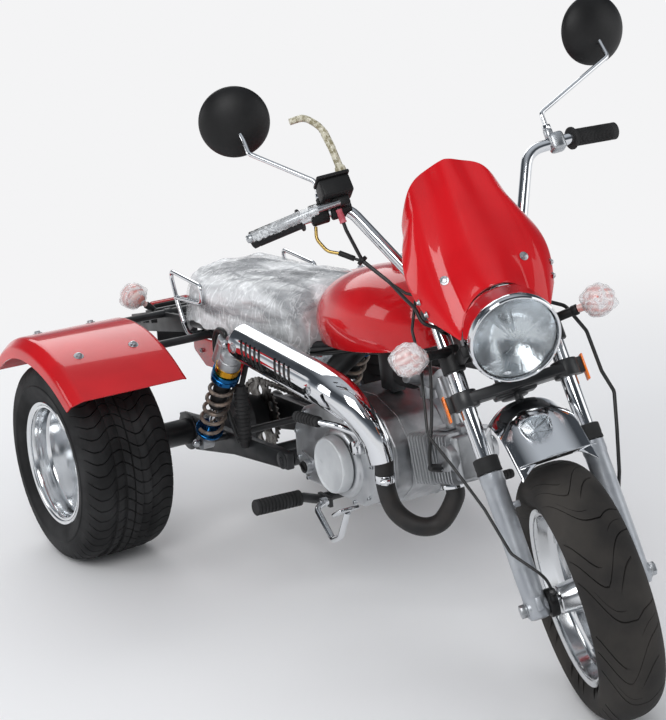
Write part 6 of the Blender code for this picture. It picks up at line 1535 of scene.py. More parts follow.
for y in (WHEELBASE - 0.133, WHEELBASE + 0.092):
    z = fender_under(y) - 0.0099
    parts.append(cross_bar("fender_stay", -0.448, 0.448, y, z, 0.009, sides=28))
    for x in (-0.104, 0.104):
        parts.append(cross_bar("stay_collar", x - 0.009, x + 0.009, y, z, 0.0108, sides=28))
finish(join("main_frame", *parts), black_paint, "chassis", "frame", slot="black_paint")

nuts = []
for side, _ in SIDES:
    for spot, width in ((SHOCK_TOP, 0.0195), (SHOCK_FOOT, 0.0195)):
        foot = to_side(spot, side) + Vector((side * width, 0, 0))
        nuts.append(bar(
            "acorn_nut", foot, foot + Vector((side * 0.009, 0, 0)), 0.0095, sides=6, edge=0.001,
        ))
        nuts.append(bar(
            "nut_dome", foot + Vector((side * 0.0085, 0, 0)), foot + Vector((side * 0.014, 0, 0)), 0.0075,
            0.003, sides=24, edge=0.001,
        ))
finish(join("shock_nuts", *nuts), bolt_zinc, "chassis", slot="chrome")


# Swingarm and rear axle: two flat steel arms on a pivot pin carry a turned
# axle housing with its bearings, the brake drum and the driven sprocket.
ARM_X = 0.112
HOUSING_RADIUS = 0.03
DRIVEN_RADIUS = 0.082
CHAIN_X = 0.075
parts = [
    cross_bar("pivot_pin", -ARM_X - 0.016, ARM_X + 0.016, PIVOT.y, PIVOT.z, 0.008, sides=28),
    cross_bar("swingarm_brace", -ARM_X, ARM_X, 1.01, 0.252, 0.014, sides=32),
    bar(
        "shock_foot_bar", to_side(SHOCK_FOOT, -1) - Vector((0.02, 0, 0)), SHOCK_FOOT + Vector((0.02, 0, 0)),
        0.008, sides=28,
    ),
]
for side, word in SIDES:
    parts.append(side_slab(f"swingarm_{word}", [
        (PIVOT.y - 0.02, PIVOT.z - 0.018), (PIVOT.y + 0.02, PIVOT.z - 0.022), (SHOCK_FOOT.y - 0.03, 0.225),
        (WHEELBASE - 0.03, REAR_RADIUS - 0.04), (WHEELBASE + 0.04, REAR_RADIUS - 0.034),
        (WHEELBASE + 0.044, REAR_RADIUS + 0.034), (WHEELBASE - 0.03, REAR_RADIUS + 0.042),
        (SHOCK_FOOT.y, 0.275), (PIVOT.y + 0.02, PIVOT.z + 0.02), (PIVOT.y - 0.02, PIVOT.z + 0.018),
    ], 0.018, side * ARM_X, 0.003, 3))
    for y, z, radius in ((WHEELBASE, REAR_RADIUS, 0.045), (PIVOT.y, PIVOT.z, 0.019)):
        parts.append(cross_bar(
            "arm_boss", side * (ARM_X + 0.008), side * (ARM_X + 0.0125), y, z, radius, sides=40, edge=0.001,
        ))
finish(join("swingarm_weldment", *parts), black_paint, "chassis", "swingarm", slot="black_paint")

along_x = Matrix.Translation((0, WHEELBASE, REAR_RADIUS)) @ Matrix.Rotation(pi / 2, 4, "Y")
housing = turn("axle_housing_turned", [
    (0.0, 0.228), (0.036, 0.228), (0.038, 0.226), (0.038, 0.198), (HOUSING_RADIUS + 0.001, 0.19),
    (HOUSING_RADIUS, 0.188), (HOUSING_RADIUS, 0.0822), (0.034, 0.08), (0.045, 0.064), (0.062, 0.026),
    (0.066, 0.022), (0.066, 0.01), (0.0645, 0.008), (0.0645, 0.004), (0.066, 0.002), (0.066, -0.022),
    (0.063, -0.026), (HOUSING_RADIUS + 0.002, -0.058), (HOUSING_RADIUS, -0.062), (HOUSING_RADIUS, -0.188),
    (HOUSING_RADIUS + 0.001, -0.19), (0.038, -0.198), (0.038, -0.226), (0.036, -0.228), (0.0, -0.228),
], steps=64)
finish(settle(housing, along_x), black_paint, "chassis", "axle_housing", slot="black_paint")

# Oiled roller chain and sprockets: dark bare steel with a brown film of grease.
chain_steel = paint(
    "oiled chain steel", "#6b6967", 0.38, 1.0, patches=("#4c4743", "#85827e", 90.0),
    smears=(0.28, 0.55, 60.0),
)
TOOTH = ((0.0, -0.0045), (0.22, -0.003), (0.42, 0.0035), (0.58, 0.0035), (0.78, -0.003))


def toothed(count, radius, tooth):
    """A round outline with teeth, each from shares of its pitch and reaches over the radius."""
    outline = []
    for number in range(count):
        for share, reach in tooth:
            angle = 2 * pi * (number + share) / count
            outline.append(((radius + reach) * cos(angle), (radius + reach) * sin(angle)))
    return outline


sprocket = slab("driven_sprocket", toothed(41, DRIVEN_RADIUS, TOOTH), 0.005, 0.0006, 1)
windows = [
    upright(
        "sprocket_window", 0.058 * cos(k * pi / 3), 0.058 * sin(k * pi / 3), -0.02, 0.02, 0.012, sides=24,
        edge=0,
    )
    for k in range(6)
]
cut_away(sprocket, [join("sprocket_windows", *windows)])
finish(
    settle(sprocket, along_x @ Matrix.Translation((0, 0, CHAIN_X))), chain_steel, "chassis",
    slot="chain_steel",
)

DRIVE_Y, DRIVE_Z, DRIVE_RADIUS, LINK_PITCH = 0.765, 0.29, 0.034, 0.015875
far, near = Vector((WHEELBASE, REAR_RADIUS)), Vector((DRIVE_Y, DRIVE_Z))
lean = atan2((far - near).y, (far - near).x)
spread = acos((DRIVE_RADIUS - DRIVEN_RADIUS) / (far - near).length)
run = []
for centre, radius, first, last in (
    (near, DRIVE_RADIUS, lean + spread, lean + 2 * pi - spread),
    (far, DRIVEN_RADIUS, lean - spread, lean + spread),
):
    for step in range(33):
        angle = first + (last - first) * step / 32
        run.append(centre + radius * Vector((cos(angle), sin(angle))))
run.append(run[0])
links = round(sum((b - a).length for a, b in zip(run, run[1:])) / LINK_PITCH / 2) * 2
pins = smooth_line([Vector((0, p.x, p.y)) for p in run], links)
link_outline = [
    (0.0052 * cos(a), 0.0052 * sin(a)) for a in [radians(-90 - 30 * k) for k in range(7)]
] + [(LINK_PITCH / 2, 0.0036)] + [
    (LINK_PITCH + 0.0052 * cos(a), 0.0052 * sin(a)) for a in [radians(90 - 30 * k) for k in range(7)]
] + [(LINK_PITCH / 2, -0.0036)]
half_links = []
for offset in (0.0042, 0.0058):
    plates = [
        settle(slab("link_plate", link_outline, 0.0012), Matrix.Translation((0, 0, x)))
        for x in (-offset, offset)
    ]
    roller = upright("link_roller", 0, 0, -0.0032, 0.0032, 0.0042, sides=10, edge=0)
    half_links.append(join("link", roller, *plates))
chain_links = []
for number in range(links):
    start, end = pins[number], pins[number + 1]
    copy = half_links[number % 2].copy()
    copy.data = copy.data.copy()
    bpy.context.collection.objects.link(copy)
    along = (end - start).normalized()
    frame_of_link = Matrix((
        (0, 0, 1, 0), (along.y, -along.z, 0, 0), (along.z, along.y, 0, 0), (0, 0, 0, 1),
    ))
    chain_links.append(settle(copy, Matrix.Translation((CHAIN_X, start.y, start.z)) @ frame_of_link))
for unused in half_links:
    bpy.data.objects.remove(unused)
finish(join("roller_chain", *chain_links), chain_steel, "chassis", "drive_chain", slot="chain_steel")


# Rear shocks: an alloy body with a side reservoir, a gold and a blue anodised
# collar, and a coil spring in dusty grey-brown paint.
spring_paint = paint("dusty spring enamel", "#6f625a", 0.42, 0.35, patches=("#57504b", "#8c7c70", 60.0))
cast_alloy = paint(
    "bead-blasted aluminium", "#aeb0b3", 0.42, 1.0, patches=("#a2a4a7", "#bcbec0", 26.0),
    smears=(0.34, 0.52, 40.0), grain=(900.0, 0.0001),
)
gold_anodised = paint("gold anodised aluminium", "#d59a2c", 0.26, 1.0, smears=(0.2, 0.36, 50.0))
blue_anodised = paint("blue anodised aluminium", "#1f5f95", 0.26, 1.0, smears=(0.2, 0.38, 50.0))
for side, word in SIDES:
    top, foot = to_side(SHOCK_TOP, side), to_side(SHOCK_FOOT, side)
    length = (foot - top).length
    axis = (foot - top).normalized()
    down = aimed(top, foot - top)
    body = turn("shock_body", [
        (0.0, 0.01), (0.013, 0.01), (0.013, 0.02), (0.023, 0.03), (0.025, 0.034), (0.025, 0.0435),
        (0.0235, 0.045), (0.0235, 0.048), (0.025, 0.0495), (0.025, 0.071), (0.0, 0.071),
    ])
    damper = turn("shock_damper", [
        (0.0, 0.1), (0.0185, 0.1), (0.0185, 0.198), (0.016, 0.2005), (0.0, 0.2005),
    ])
    rod_steel = turn("shock_rod", [
        (0.0, 0.199), (0.0068, 0.199), (0.0068, length - 0.04), (0.0, length - 0.04),
    ])
    clevis = turn("shock_clevis", [
        (0.0, length - 0.0365), (0.012, length - 0.0365), (0.012, length - 0.01), (0.0, length - 0.01),
    ])
    eyes = [
        bar("shock_eye", at - Vector((0.014, 0, 0)), at + Vector((0.014, 0, 0)), 0.017, sides=40)
        for at in (top, foot)
    ]
    beside = Vector((0, -axis.z, axis.y)).normalized()
    bottle_top = top + axis * 0.022 + beside * 0.036
    bottle = turn("shock_bottle", [
        (0.0, 0.0), (0.0145, 0.0), (0.0165, 0.002), (0.0165, 0.01), (0.0155, 0.011), (0.0155, 0.013),
        (0.0165, 0.014), (0.0165, 0.068), (0.015, 0.07), (0.0, 0.07),
    ])
    settle(bottle, aimed(bottle_top, axis))
    neck = bar("shock_neck", top + axis * 0.04, bottle_top + axis * 0.018, 0.01, sides=24)
    finish(
        join(f"shock_{word}_alloy", settle(body, down), settle(clevis, down), *eyes, bottle, neck),
        cast_alloy, "chassis", f"shock_{word}", slot="cast_alloy",
    )
    finish(
        join(f"shock_{word}_damper", settle(damper, down)), black_plastic, "chassis", slot="black_plastic",
    )
    finish(join(f"shock_{word}_rod", settle(rod_steel, down)), chrome, "chassis", slot="chrome")
    gold = turn("gold_collar", [
        (0.0, 0.0705), (0.0262, 0.0705), (0.027, 0.0715), (0.027, 0.0865), (0.0262, 0.0875), (0.0, 0.0875),
    ])
    finish(
        join(f"shock_{word}_gold_collar", settle(gold, down)), gold_anodised, "chassis", slot="cast_alloy",
    )
    blue = turn("blue_collar", [
        (0.0, 0.088), (0.03, 0.088), (0.031, 0.089), (0.031, 0.0955), (0.0295, 0.0965), (0.0295, 0.0985),
        (0.031, 0.0995), (0.031, 0.1105), (0.03, 0.1115), (0.0, 0.1115),
    ], steps=64)
    notches = [brick(
        "notch", (0.01, 0.006, 0.0065), (0.0325 * cos(k * pi / 4), 0.0325 * sin(k * pi / 4), 0.1055),
        (0, 0, k * pi / 4), 0.0006, 1,
    ) for k in range(8)]
    cut_away(blue, [join("notches", *notches)])
    perch = turn("spring_perch", [
        (0.0, length - 0.043), (0.03, length - 0.043), (0.031, length - 0.0422), (0.031, length - 0.0372),
        (0.03, length - 0.0362), (0.0, length - 0.0362),
    ])
    finish(
        join(f"shock_{word}_blue_collar", settle(blue, down), settle(perch, down)), blue_anodised,
        "chassis", slot="cast_alloy",
    )
    first, last = 0.1115 + 0.0042 + 0.0003, length - 0.043 - 0.0054
    coil = []
    for step in range(5 * 20 + 1):
        angle = 2 * pi * step / 20
        share = step / 100
        coil.append(down @ Vector((
            0.0255 * cos(angle), 0.0255 * sin(angle), first + (last - first) * share,
        )))
    spring = tube(f"shock_spring_{word}_coil", coil, 0.0042, bend=0, steps=1, sides=12)
    finish(spring, spring_paint, "chassis", f"shock_spring_{word}", slot="spring_steel")
    hose = tube(f"shock_{word}_hose", [
        bottle_top + axis * 0.004, bottle_top - axis * 0.01 + beside * 0.004,
        bottle_top + beside * 0.034 - axis * 0.002, bottle_top + beside * 0.05 + axis * 0.05,
        Vector((side * 0.15, 1.092, 0.36)), Vector((side * 0.124, 1.08, 0.266)),
    ], 0.0056, sides=16, smooth=True)
    finish(hose, sheath, "chassis", slot="black_plastic")


# Engine: a horizontal single in cast aluminium. The cases are blasted, the
# clutch cover is smoother and paler with a flat round cap, and all the covers
# are held by small socket screws.
CRANK = Vector((0.0, 0.6, 0.335))
CYLINDER_TILT = radians(13)
CASE_HALF = 0.085
CASE_BOTTOM = 0.246
COVER_DEPTH = 0.05
CAP_CENTRE = Vector((0.0, 0.636, 0.334))
CASE_OUTLINE = bent_path([
    (0, 0.503, 0.34), (0, 0.503, 0.385), (0, 0.545, 0.435), (0, 0.62, 0.462), (0, 0.72, 0.455),
    (0, 0.8, 0.42), (0, 0.842, 0.365), (0, 0.842, 0.295), (0, 0.8, CASE_BOTTOM), (0, 0.56, CASE_BOTTOM),
    (0, 0.503, 0.3), (0, 0.503, 0.34),
], 0.03, 4)[:-1]


def case_outline(inset):
    """The crankcase's outline seen from the side, drawn in by an inset."""
    middle = Vector((0, 0.67, 0.35))
    shrunk = [middle + (p - middle) * (1 - inset / (p - middle).length) for p in CASE_OUTLINE]
    return [(p.y, p.z) for p in shrunk]


barrel_frame = Matrix.Translation(CRANK) @ Matrix.Rotation(-CYLINDER_TILT, 4, "X")
parts = [
    side_slab("case_body", case_outline(0.0), 2 * CASE_HALF, 0, 0.008, 4),
    side_slab("case_seam", case_outline(-0.0012), 0.008, 0, 0.0012, 2),
    side_slab("case_rib", case_outline(-0.0016), 0.0045, 0.046, 0.0012, 2),
    side_slab("case_rib", case_outline(-0.0016), 0.0045, -0.046, 0.0012, 2),
    settle(bar("barrel_base", (0, -0.06, 0), (0, -0.106, 0), 0.05, sides=48), barrel_frame),
    cross_bar("generator_cover", CASE_HALF - 0.004, CASE_HALF + 0.036, 0.61, 0.339, 0.07, 0.064, 64, 0.006),
    side_slab("sprocket_guard", [
        (0.69, 0.252), (0.69, 0.33), (0.712, 0.35), (0.712, 0.252),
    ], 0.03, CASE_HALF + 0.01, 0.004),
    bar("breather_boss", (0.03, 0.7, 0.452), (0.03, 0.702, 0.468), 0.012, sides=24),
]
case = join("crankcase_casting", *parts)
recess = brick("sprocket_recess", (0.06, 0.2, 0.112), (0.092, 0.816, DRIVE_Z + 0.002), edge=0.006)
cut_away(case, [recess])
finish(case, cast_alloy, "chassis", "crankcase", slot="cast_alloy")
drive_teeth = toothed(15, DRIVE_RADIUS, TOOTH)
drive = settle(
    slab("drive_wheel", drive_teeth, 0.005, 0.0006, 1),
    Matrix.Translation((CHAIN_X, DRIVE_Y, DRIVE_Z)) @ Matrix.Rotation(pi / 2, 4, "Y"),
)
shaft = cross_bar("drive_shaft", CASE_HALF - 0.03, CHAIN_X + 0.01, DRIVE_Y, DRIVE_Z, 0.013, sides=28)
finish(join("drive_sprocket_wheel", drive, shaft), chain_steel, "chassis", slot="chain_steel")

# Die-cast cover with a fine satin finish, paler than the cases.
cover_alloy = paint(
    "satin die-cast cover", "#c3c5c8", 0.34, 1.0, patches=("#bbbdc0", "#cdcfd1", 18.0),
    smears=(0.28, 0.42, 30.0), grain=(1200.0, 0.00005),
)
# The flat cap is coated in pale grey paint and takes no mirror image.
cap_paint = paint("pale grey cap paint", "#c9cccf", 0.36, 0.25, patches=("#c4c7ca", "#d0d3d5", 22.0))
COVER_GAP = 0.0003
COVER_FACE = CASE_HALF + COVER_GAP + COVER_DEPTH
KICK_Y, KICK_Z = 0.545, 0.392
FILLER_Y, FILLER_Z = 0.775, 0.29
x = -COVER_FACE
to_cap = Matrix.Translation((0, CAP_CENTRE.y, CAP_CENTRE.z)) @ Matrix.Rotation(-pi / 2, 4, "Y")
flat = -x
cover = side_slab(
    "clutch_cover_casting", case_outline(0.012), COVER_DEPTH - 0.012,
    -(CASE_HALF + COVER_GAP + (COVER_DEPTH - 0.012) / 2), 0.007, 4,
)
dome = settle(turn("clutch_dome", [
    (0.0, flat - 0.002), (0.0605, flat - 0.002), (0.066, flat - 0.003), (0.0705, flat - 0.006),
    (0.0735, flat - 0.011), (0.0755, flat - 0.017), (0.079, flat - 0.023), (0.082, flat - 0.03),
    (0.084, flat - 0.04), (0.0, flat - 0.04),
], steps=72), to_cap)
ribs = [
    side_slab("cover_rib", outline, 0.006, x + 0.012, 0.002)
    for outline in (
        [(0.7, 0.398), (0.79, 0.392), (0.79, 0.386), (0.704, 0.39)],
        [(0.712, 0.3), (0.8, 0.318), (0.8, 0.311), (0.714, 0.292)],
        [(0.56, 0.4), (0.545, 0.428), (0.551, 0.43), (0.567, 0.405)],
    )
]
kick_boss = cross_bar(
    "kick_boss", -CASE_HALF - 0.02, x - 0.004, KICK_Y, KICK_Z, 0.016, sides=36, edge=0.0015,
)
filler = cross_bar(
    "oil_filler_boss", -CASE_HALF - 0.02, x - 0.001, FILLER_Y, FILLER_Z, 0.015, sides=36, edge=0.0015,
)
finish(
    join("clutch_cover_casting", cover, dome, *ribs, kick_boss, filler), cover_alloy, "chassis",
    "clutch_cover", slot="cast_alloy",
)
cap = settle(turn("clutch_cap", [
    (0.0, flat + 0.0215), (0.046, flat + 0.0218), (0.0515, flat + 0.0228), (0.0535, flat + 0.0238),
    (0.056, flat + 0.023), (0.0578, flat + 0.019), (0.0588, flat + 0.01), (0.0588, flat + 0.002),
    (0.0575, flat), (0.0, flat),
], steps=96), to_cap)
dents = [
    cross_bar(
        "cap_dent", -0.01 + x - 0.016, x - 0.021, CAP_CENTRE.y + dy, CAP_CENTRE.z + dz, 0.0035, 0.0028, 20,
        0,
    )
    for dy, dz in ((0.03, 0.002), (-0.032, -0.004))
]
cut_away(cap, dents)
finish(cap, cap_paint, "chassis", slot="cast_alloy")
oil_cap = cross_bar(
    "oil_filler_cap", x - 0.0008, x - 0.0038, FILLER_Y, FILLER_Z, 0.0128, sides=36, edge=0.001,
)
oil_grip = brick(
    "oil_grip", (0.006, 0.02, 0.0045), (x - 0.0055, FILLER_Y, FILLER_Z), (radians(35), 0, 0), 0.0012, 2,
)
finish(join("oil_filler_cap", oil_cap, oil_grip), black_plastic, "chassis", slot="black_plastic")


def socket_screw(spot, direction, size=0.0045):
    """A small socket-head screw standing on a face."""
    head = turn("socket_screw", [
        (0.0, size * 0.3), (size * 0.52, size * 0.3), (size * 0.52, size * 0.95),
        (size * 0.88, size * 0.95), (size, size * 0.8), (size, -0.0015), (0.0, -0.0015),
    ], steps=18)
    return settle(head, aimed(spot, direction))


screws = []
for y, z in (
    (0.528, 0.35), (0.565, 0.426), (0.64, 0.443), (0.712, 0.438), (0.778, 0.408), (0.818, 0.356),
    (0.815, 0.3), (0.782, 0.262), (0.7, 0.258), (0.6, 0.258), (0.545, 0.28),
):
    screws.append(socket_screw((-(COVER_FACE - 0.012), y, z), (-1, 0, 0)))
for k in range(6):
    screws.append(socket_screw((
        CASE_HALF + 0.034, 0.61 + 0.056 * cos(k * pi / 3), 0.339 + 0.056 * sin(k * pi / 3),
    ), (1, 0, 0)))
finish(join("engine_screws", *screws), bolt_zinc, "chassis", slot="chrome")

# Cylinder and head: sand-cast, with thin cooling fins, the barrel's darker in their depth from painted
# shade.
fin_alloy = paint(
    "sand-cast fin aluminium", "#b4b6b9", 0.42, 1.0, patches=("#a9abae", "#c2c4c6", 34.0),
    grain=(700.0, 0.00016),
)
# The barrel is the same casting, with painted shade dark between its fins and a painted highlight bright
# along their edges: the distance from its axis sets the colour.
barrel_alloy = paint("barrel aluminium with painted fin shade", "#b4b6b9", 0.46, 1.0, grain=(700.0, 0.00016))
tree, surface, place = shader_of(barrel_alloy)
from_crank = add(tree, "ShaderNodeVectorMath", {0: place, 1: CRANK}, operation="SUBTRACT")
from_axis = add(
    tree, "ShaderNodeVectorMath",
    {0: from_crank.outputs["Vector"], 1: (0, -cos(CYLINDER_TILT), sin(CYLINDER_TILT))},
    operation="CROSS_PRODUCT",
)
from_axis = add(tree, "ShaderNodeVectorMath", {0: from_axis.outputs["Vector"]}, operation="LENGTH")
depth = add(
    tree, "ShaderNodeMapRange", {"Value": from_axis.outputs["Value"], "From Min": 0.041, "From Max": 0.054},
)
# Painted shade and highlight: dark close to the barrel's axis, bright at the fins' outer edges.
fin_gap_shade = add(tree, "ShaderNodeValToRGB", {"Fac": depth.outputs["Result"]})
fin_gap_shade.color_ramp.elements[0].color = colour("#232425")
fin_gap_shade.color_ramp.elements[1].color = colour("#c6c8ca")
tree.links.new(fin_gap_shade.outputs["Color"], surface.inputs["Base Color"])
BARREL_START = 0.108
FIN_COUNT, FIN_PITCH, FIN_THICK = 6, 0.0105, 0.0045
FIN_WIDTH, FIN_HEIGHT = 0.112, 0.104
HEAD_START = BARREL_START + FIN_COUNT * FIN_PITCH + 0.004
HEAD_LENGTH = 0.088


def rounded_box(x, y, corner, steps=5):
    """An outline of half width x and half height y with round corners."""
    path = [(0, -y, 0), (x, -y, 0), (x, y, 0), (-x, y, 0), (-x, -y, 0), (0, -y, 0)]
    return [(p.x, p.y) for p in bent_path(path, corner, steps)[:-1]]


def fin(name, width, height, at, thickness=FIN_THICK):
    """A cooling fin across the barrel, its corners rounded."""
    outline = rounded_box(width / 2, height / 2, 0.012)
    return settle(
        slab(name, outline, thickness, 0.0012, 2),
        barrel_frame @ Matrix.Translation((0, at, 0)) @ Matrix.Rotation(pi / 2, 4, "X"),
    )


parts = [settle(bar(
    "cylinder_sleeve", (0, -BARREL_START, 0), (0, -BARREL_START - FIN_COUNT * FIN_PITCH - 0.003, 0), 0.04,
    sides=48, edge=0,
), barrel_frame)]
for number in range(FIN_COUNT):
    parts.append(fin(
        "cylinder_fin", FIN_WIDTH, FIN_HEIGHT, -(BARREL_START + 0.003 + FIN_PITCH * (number + 0.4)),
    ))
finish(join("cylinder_casting", *parts), barrel_alloy, "chassis", "cylinder", slot="cast_alloy")
middle = HEAD_START + HEAD_LENGTH / 2
parts = [brick("head_body", (0.086, HEAD_LENGTH, 0.088), (0, -middle, 0), edge=0.008, segments=4)]
for number in range(7):
    parts.append(fin(
        "head_fin", FIN_WIDTH - 0.004, FIN_HEIGHT - 0.004, -(HEAD_START + 0.004 + number * FIN_PITCH),
    ))
settle(parts[0], barrel_frame)
for side in (-1, 1):
    lid = turn("cam_cap", [
        (0.0, 0.0175), (0.016, 0.0178), (0.02, 0.0172), (0.0255, 0.015), (0.0285, 0.008), (0.03, 0.002),
        (0.03, 0.0), (0.0, 0.0),
    ], steps=48)
    parts.append(settle(
        lid,
        barrel_frame @ Matrix.Translation((
            side * 0.04, -middle - 0.014, 0.004,
        )) @ Matrix.Rotation(side * pi / 2, 4, "Y"),
    ))
parts.append(settle(bar(
    "tappet_cap", (0, -middle - 0.018, 0.036), (0, -middle - 0.022, 0.06), 0.019, sides=6, edge=0.0015,
), barrel_frame))
finish(join("cylinder_head_casting", *parts), fin_alloy, "chassis", "cylinder_head", slot="cast_alloy")
plug = settle(bar(
    "plug_hex", (-0.03, -middle + 0.006, -0.02), (-0.062, -middle, -0.0125), 0.009, sides=6,
), barrel_frame)
finish(plug, bolt_zinc, "chassis", slot="chrome")
plug_cap = settle(bar(
    "plug_cap", (-0.056, -middle + 0.001, -0.014), (-0.084, -middle - 0.0036, -0.0065), 0.0085, 0.0072, 24,
    0.002,
), barrel_frame)
lead_start = barrel_frame @ Vector((-0.082, -middle - 0.0032, -0.007))
lead = tube("plug_lead_cable", [
    lead_start, lead_start + Vector((-0.006, -0.004, 0.018)), lead_start + Vector((0.012, 0.006, 0.08)),
    Vector((-0.046, 0.42, 0.5)), Vector((-0.022, 0.455, 0.572)), Vector((-0.012, 0.48, 0.59)),
], 0.0034, sides=12, smooth=True)
finish(join("plug_lead", plug_cap, lead), sheath, "chassis", slot="black_plastic")

# Carburettor between head and air filter: zinc die-cast, with a float bowl,
# a slide cover and a black foam filter.
port = HEAD_START + 0.022
manifold = tube("intake_manifold", [
    barrel_frame @ Vector((0, -port, FIN_HEIGHT / 2 - 0.0017)), barrel_frame @ Vector((0, -port, 0.09)),
    (0, 0.46, 0.5195),
], 0.014, bend=0.03, sides=28)
flange = settle(brick(
    "manifold_flange", (0.05, 0.032, 0.005), (0, -port, FIN_HEIGHT / 2 + 0.001), edge=0.002,
), barrel_frame)
carb = bar("carb_throat", (0, 0.452, 0.52), (0, 0.545, 0.512), 0.022, sides=40, edge=0.002)
bowl = bar("float_bowl", (0, 0.495, 0.52), (0, 0.497, 0.476), 0.021, 0.019, 40, 0.003)
rim = bar("bowl_rim", (0, 0.4953, 0.4995), (0, 0.4956, 0.5035), 0.0225, sides=40)
slide = bar("slide_cover", (0.0, 0.497, 0.514), (-0.052, 0.497, 0.53), 0.015, sides=36, edge=0.002)
finish(
    join("carburettor_casting", manifold, flange, carb, bowl, rim, slide), cast_alloy, "chassis",
    "carburettor", slot="cast_alloy",
)
foam = paint("black filter foam", "#1c1c1d", 0.92, grain=(420.0, 0.0008))
filter_body = turn("air_filter_foam", [
    (0.0, 0.0), (0.026, 0.0), (0.03, 0.004), (0.0305, 0.02), (0.03, 0.038), (0.026, 0.042), (0.0, 0.0428),
], steps=48)
along = Vector((0, 0.043, -0.003))
finish(settle(filter_body, aimed((0, 0.541, 0.512), along)), foam, "chassis", slot="black_plastic")


# Exhaust: a black steel header swept back from under the head into a round
# silencer behind a chromed and slotted heat shield.
PIPE_RADIUS = 0.0185
MUFFLER_RADIUS = 0.036
MUFFLER_X = 0.178
SHIELD_CLEAR = 0.005
SHIELD_THICK = 0.0025
MUFFLER_FRONT = Vector((-MUFFLER_X + 0.006, 0.575, 0.508))
MUFFLER_REAR = Vector((-MUFFLER_X, 0.915, 0.538))

# Stove-baked matt black on steel: chalky, browned a little by the heat.
exhaust_black = paint(
    "heat-proof matt black", "#1e1e1f", 0.58, patches=("#151516", "#262220", 20.0), grain=(600.0, 0.0001),
)


def around_muffler(share, angle, radius):
    """A point round the silencer, by its share of the length and degrees up from its outer side."""
    along = (MUFFLER_FRONT - MUFFLER_REAR).normalized()
    out = Vector((-1, 0, 0))
    out = (out - along * out.dot(along)).normalized()
    over = along.cross(out).normalized()
    if over.z < 0:
        over = -over
    turned = radians(angle)
    return MUFFLER_REAR.lerp(MUFFLER_FRONT, share) + (out * cos(turned) + over * sin(turned)) * radius


def smooth_at(values, share):
    """A value on a smooth curve through the values of a list."""
    place = share * (len(values) - 1)
    index = min(int(place), len(values) - 2)
    t = place - index
    a, b, c, d = (values[max(0, min(len(values) - 1, index + k))] for k in (-1, 0, 1, 2))
    slope, bow, twist = c - a, a * 2 - b * 5 + c * 4 - d, b * 3 - a - c * 3 + d
    return b + slope * (t / 2) + bow * (t * t / 2) + twist * (t * t * t / 2)


header_points = [Vector(spot) for spot in (
    barrel_frame @ Vector((-0.024, -port, -(FIN_HEIGHT / 2 - 0.0017))),
    barrel_frame @ Vector((-0.024, -port, -0.078)), (-0.048, 0.409, 0.252), (-0.086, 0.43, 0.247),
    (-0.116, 0.461, 0.276), (-0.128, 0.474, 0.33), (-0.134, 0.47, 0.41), (-0.15, 0.502, 0.478),
    MUFFLER_FRONT + Vector((0, 0.02, 0.002)),
)]
header_line = [smooth_at(header_points, step / 90) for step in range(91)]
header = tube("header_pipe", header_line, PIPE_RADIUS, bend=0, steps=1, sides=36)
axis = (MUFFLER_FRONT - MUFFLER_REAR).normalized()
can = settle(turn("silencer_can", [
    (0.0, -0.001), (0.03, 0.0), (0.0345, 0.002), (MUFFLER_RADIUS, 0.005), (MUFFLER_RADIUS, 0.012),
    (MUFFLER_RADIUS - 0.001, 0.013), (MUFFLER_RADIUS - 0.001, 0.03), (MUFFLER_RADIUS, 0.031),
    (MUFFLER_RADIUS, 0.325), (MUFFLER_RADIUS - 0.002, 0.34), (0.0, 0.3415),
], steps=64), aimed(MUFFLER_REAR, axis))
cone = bar(
    "silencer_cone", MUFFLER_FRONT + Vector((0.004, -0.036, -0.012)),
    MUFFLER_FRONT + Vector((0, 0.006, 0.0005)), PIPE_RADIUS + 0.001, MUFFLER_RADIUS - 0.003, 48, 0,
)
tip = bar(
    "tail_pipe", MUFFLER_REAR - Vector((0, 0.01, 0.001)), MUFFLER_REAR + Vector((0.004, 0.026, 0.0)), 0.011,
    sides=32,
)
bore = bar(
    "tail_bore", MUFFLER_REAR + Vector((0.002, 0.004, 0)), MUFFLER_REAR + Vector((0.006, 0.06, 0.0)),
    0.0092, sides=32, edge=0,
)
cut_away(tip, [bore])
ear = bar(
    "silencer_ear", MUFFLER_REAR + Vector((0.03, -0.06, -0.004)),
    (-RAIL_X - RAIL_RADIUS + 0.004, MUFFLER_REAR.y - 0.06, rail_height(MUFFLER_REAR.y - 0.06)), 0.006,
    sides=24,
)
posts = [
    bar(
        "shield_post", around_muffler(share, angle, MUFFLER_RADIUS - 0.004),
        around_muffler(share, angle, MUFFLER_RADIUS + 0.0036), 0.004, sides=20,
    )
    for share, angle in ((0.08, -9.0), (0.46, -9.0), (0.86, -9.0), (0.08, 69.0), (0.86, 69.0))
]
finish(
    join("exhaust_pipe", header, can, cone, tip, ear, *posts), exhaust_black, "chassis", "exhaust",
    slot="exhaust_black",
)
port_ring = bar(
    "port_ring", barrel_frame @ Vector((-0.024, -port, -(FIN_HEIGHT / 2 - 0.001))),
    barrel_frame @ Vector((-0.024, -port, -0.06)), 0.0255, sides=40, edge=0.0015,
)
band_spot = Vector((-0.129, 0.4735, 0.345))
band = bar(
    "header_band", band_spot - Vector((0, 0, 0.008)), band_spot + Vector((0, 0, 0.008)),
    PIPE_RADIUS + 0.0016, sides=48, edge=0.0006,
)
band_bolt = bar(
    "band_bolt", band_spot + Vector((-0.006, -0.028, 0)), band_spot + Vector((-0.022, -0.018, 0)), 0.0045,
    sides=6,
)
band_ear = brick(
    "band_ear", (0.012, 0.014, 0.014), band_spot + Vector((-0.012, -0.0195, 0)), (0, 0, radians(32)),
    0.0015, 2,
)
finish(join("header_clamps", port_ring, band, band_ear, band_bolt), chrome, "chassis", slot="chrome")

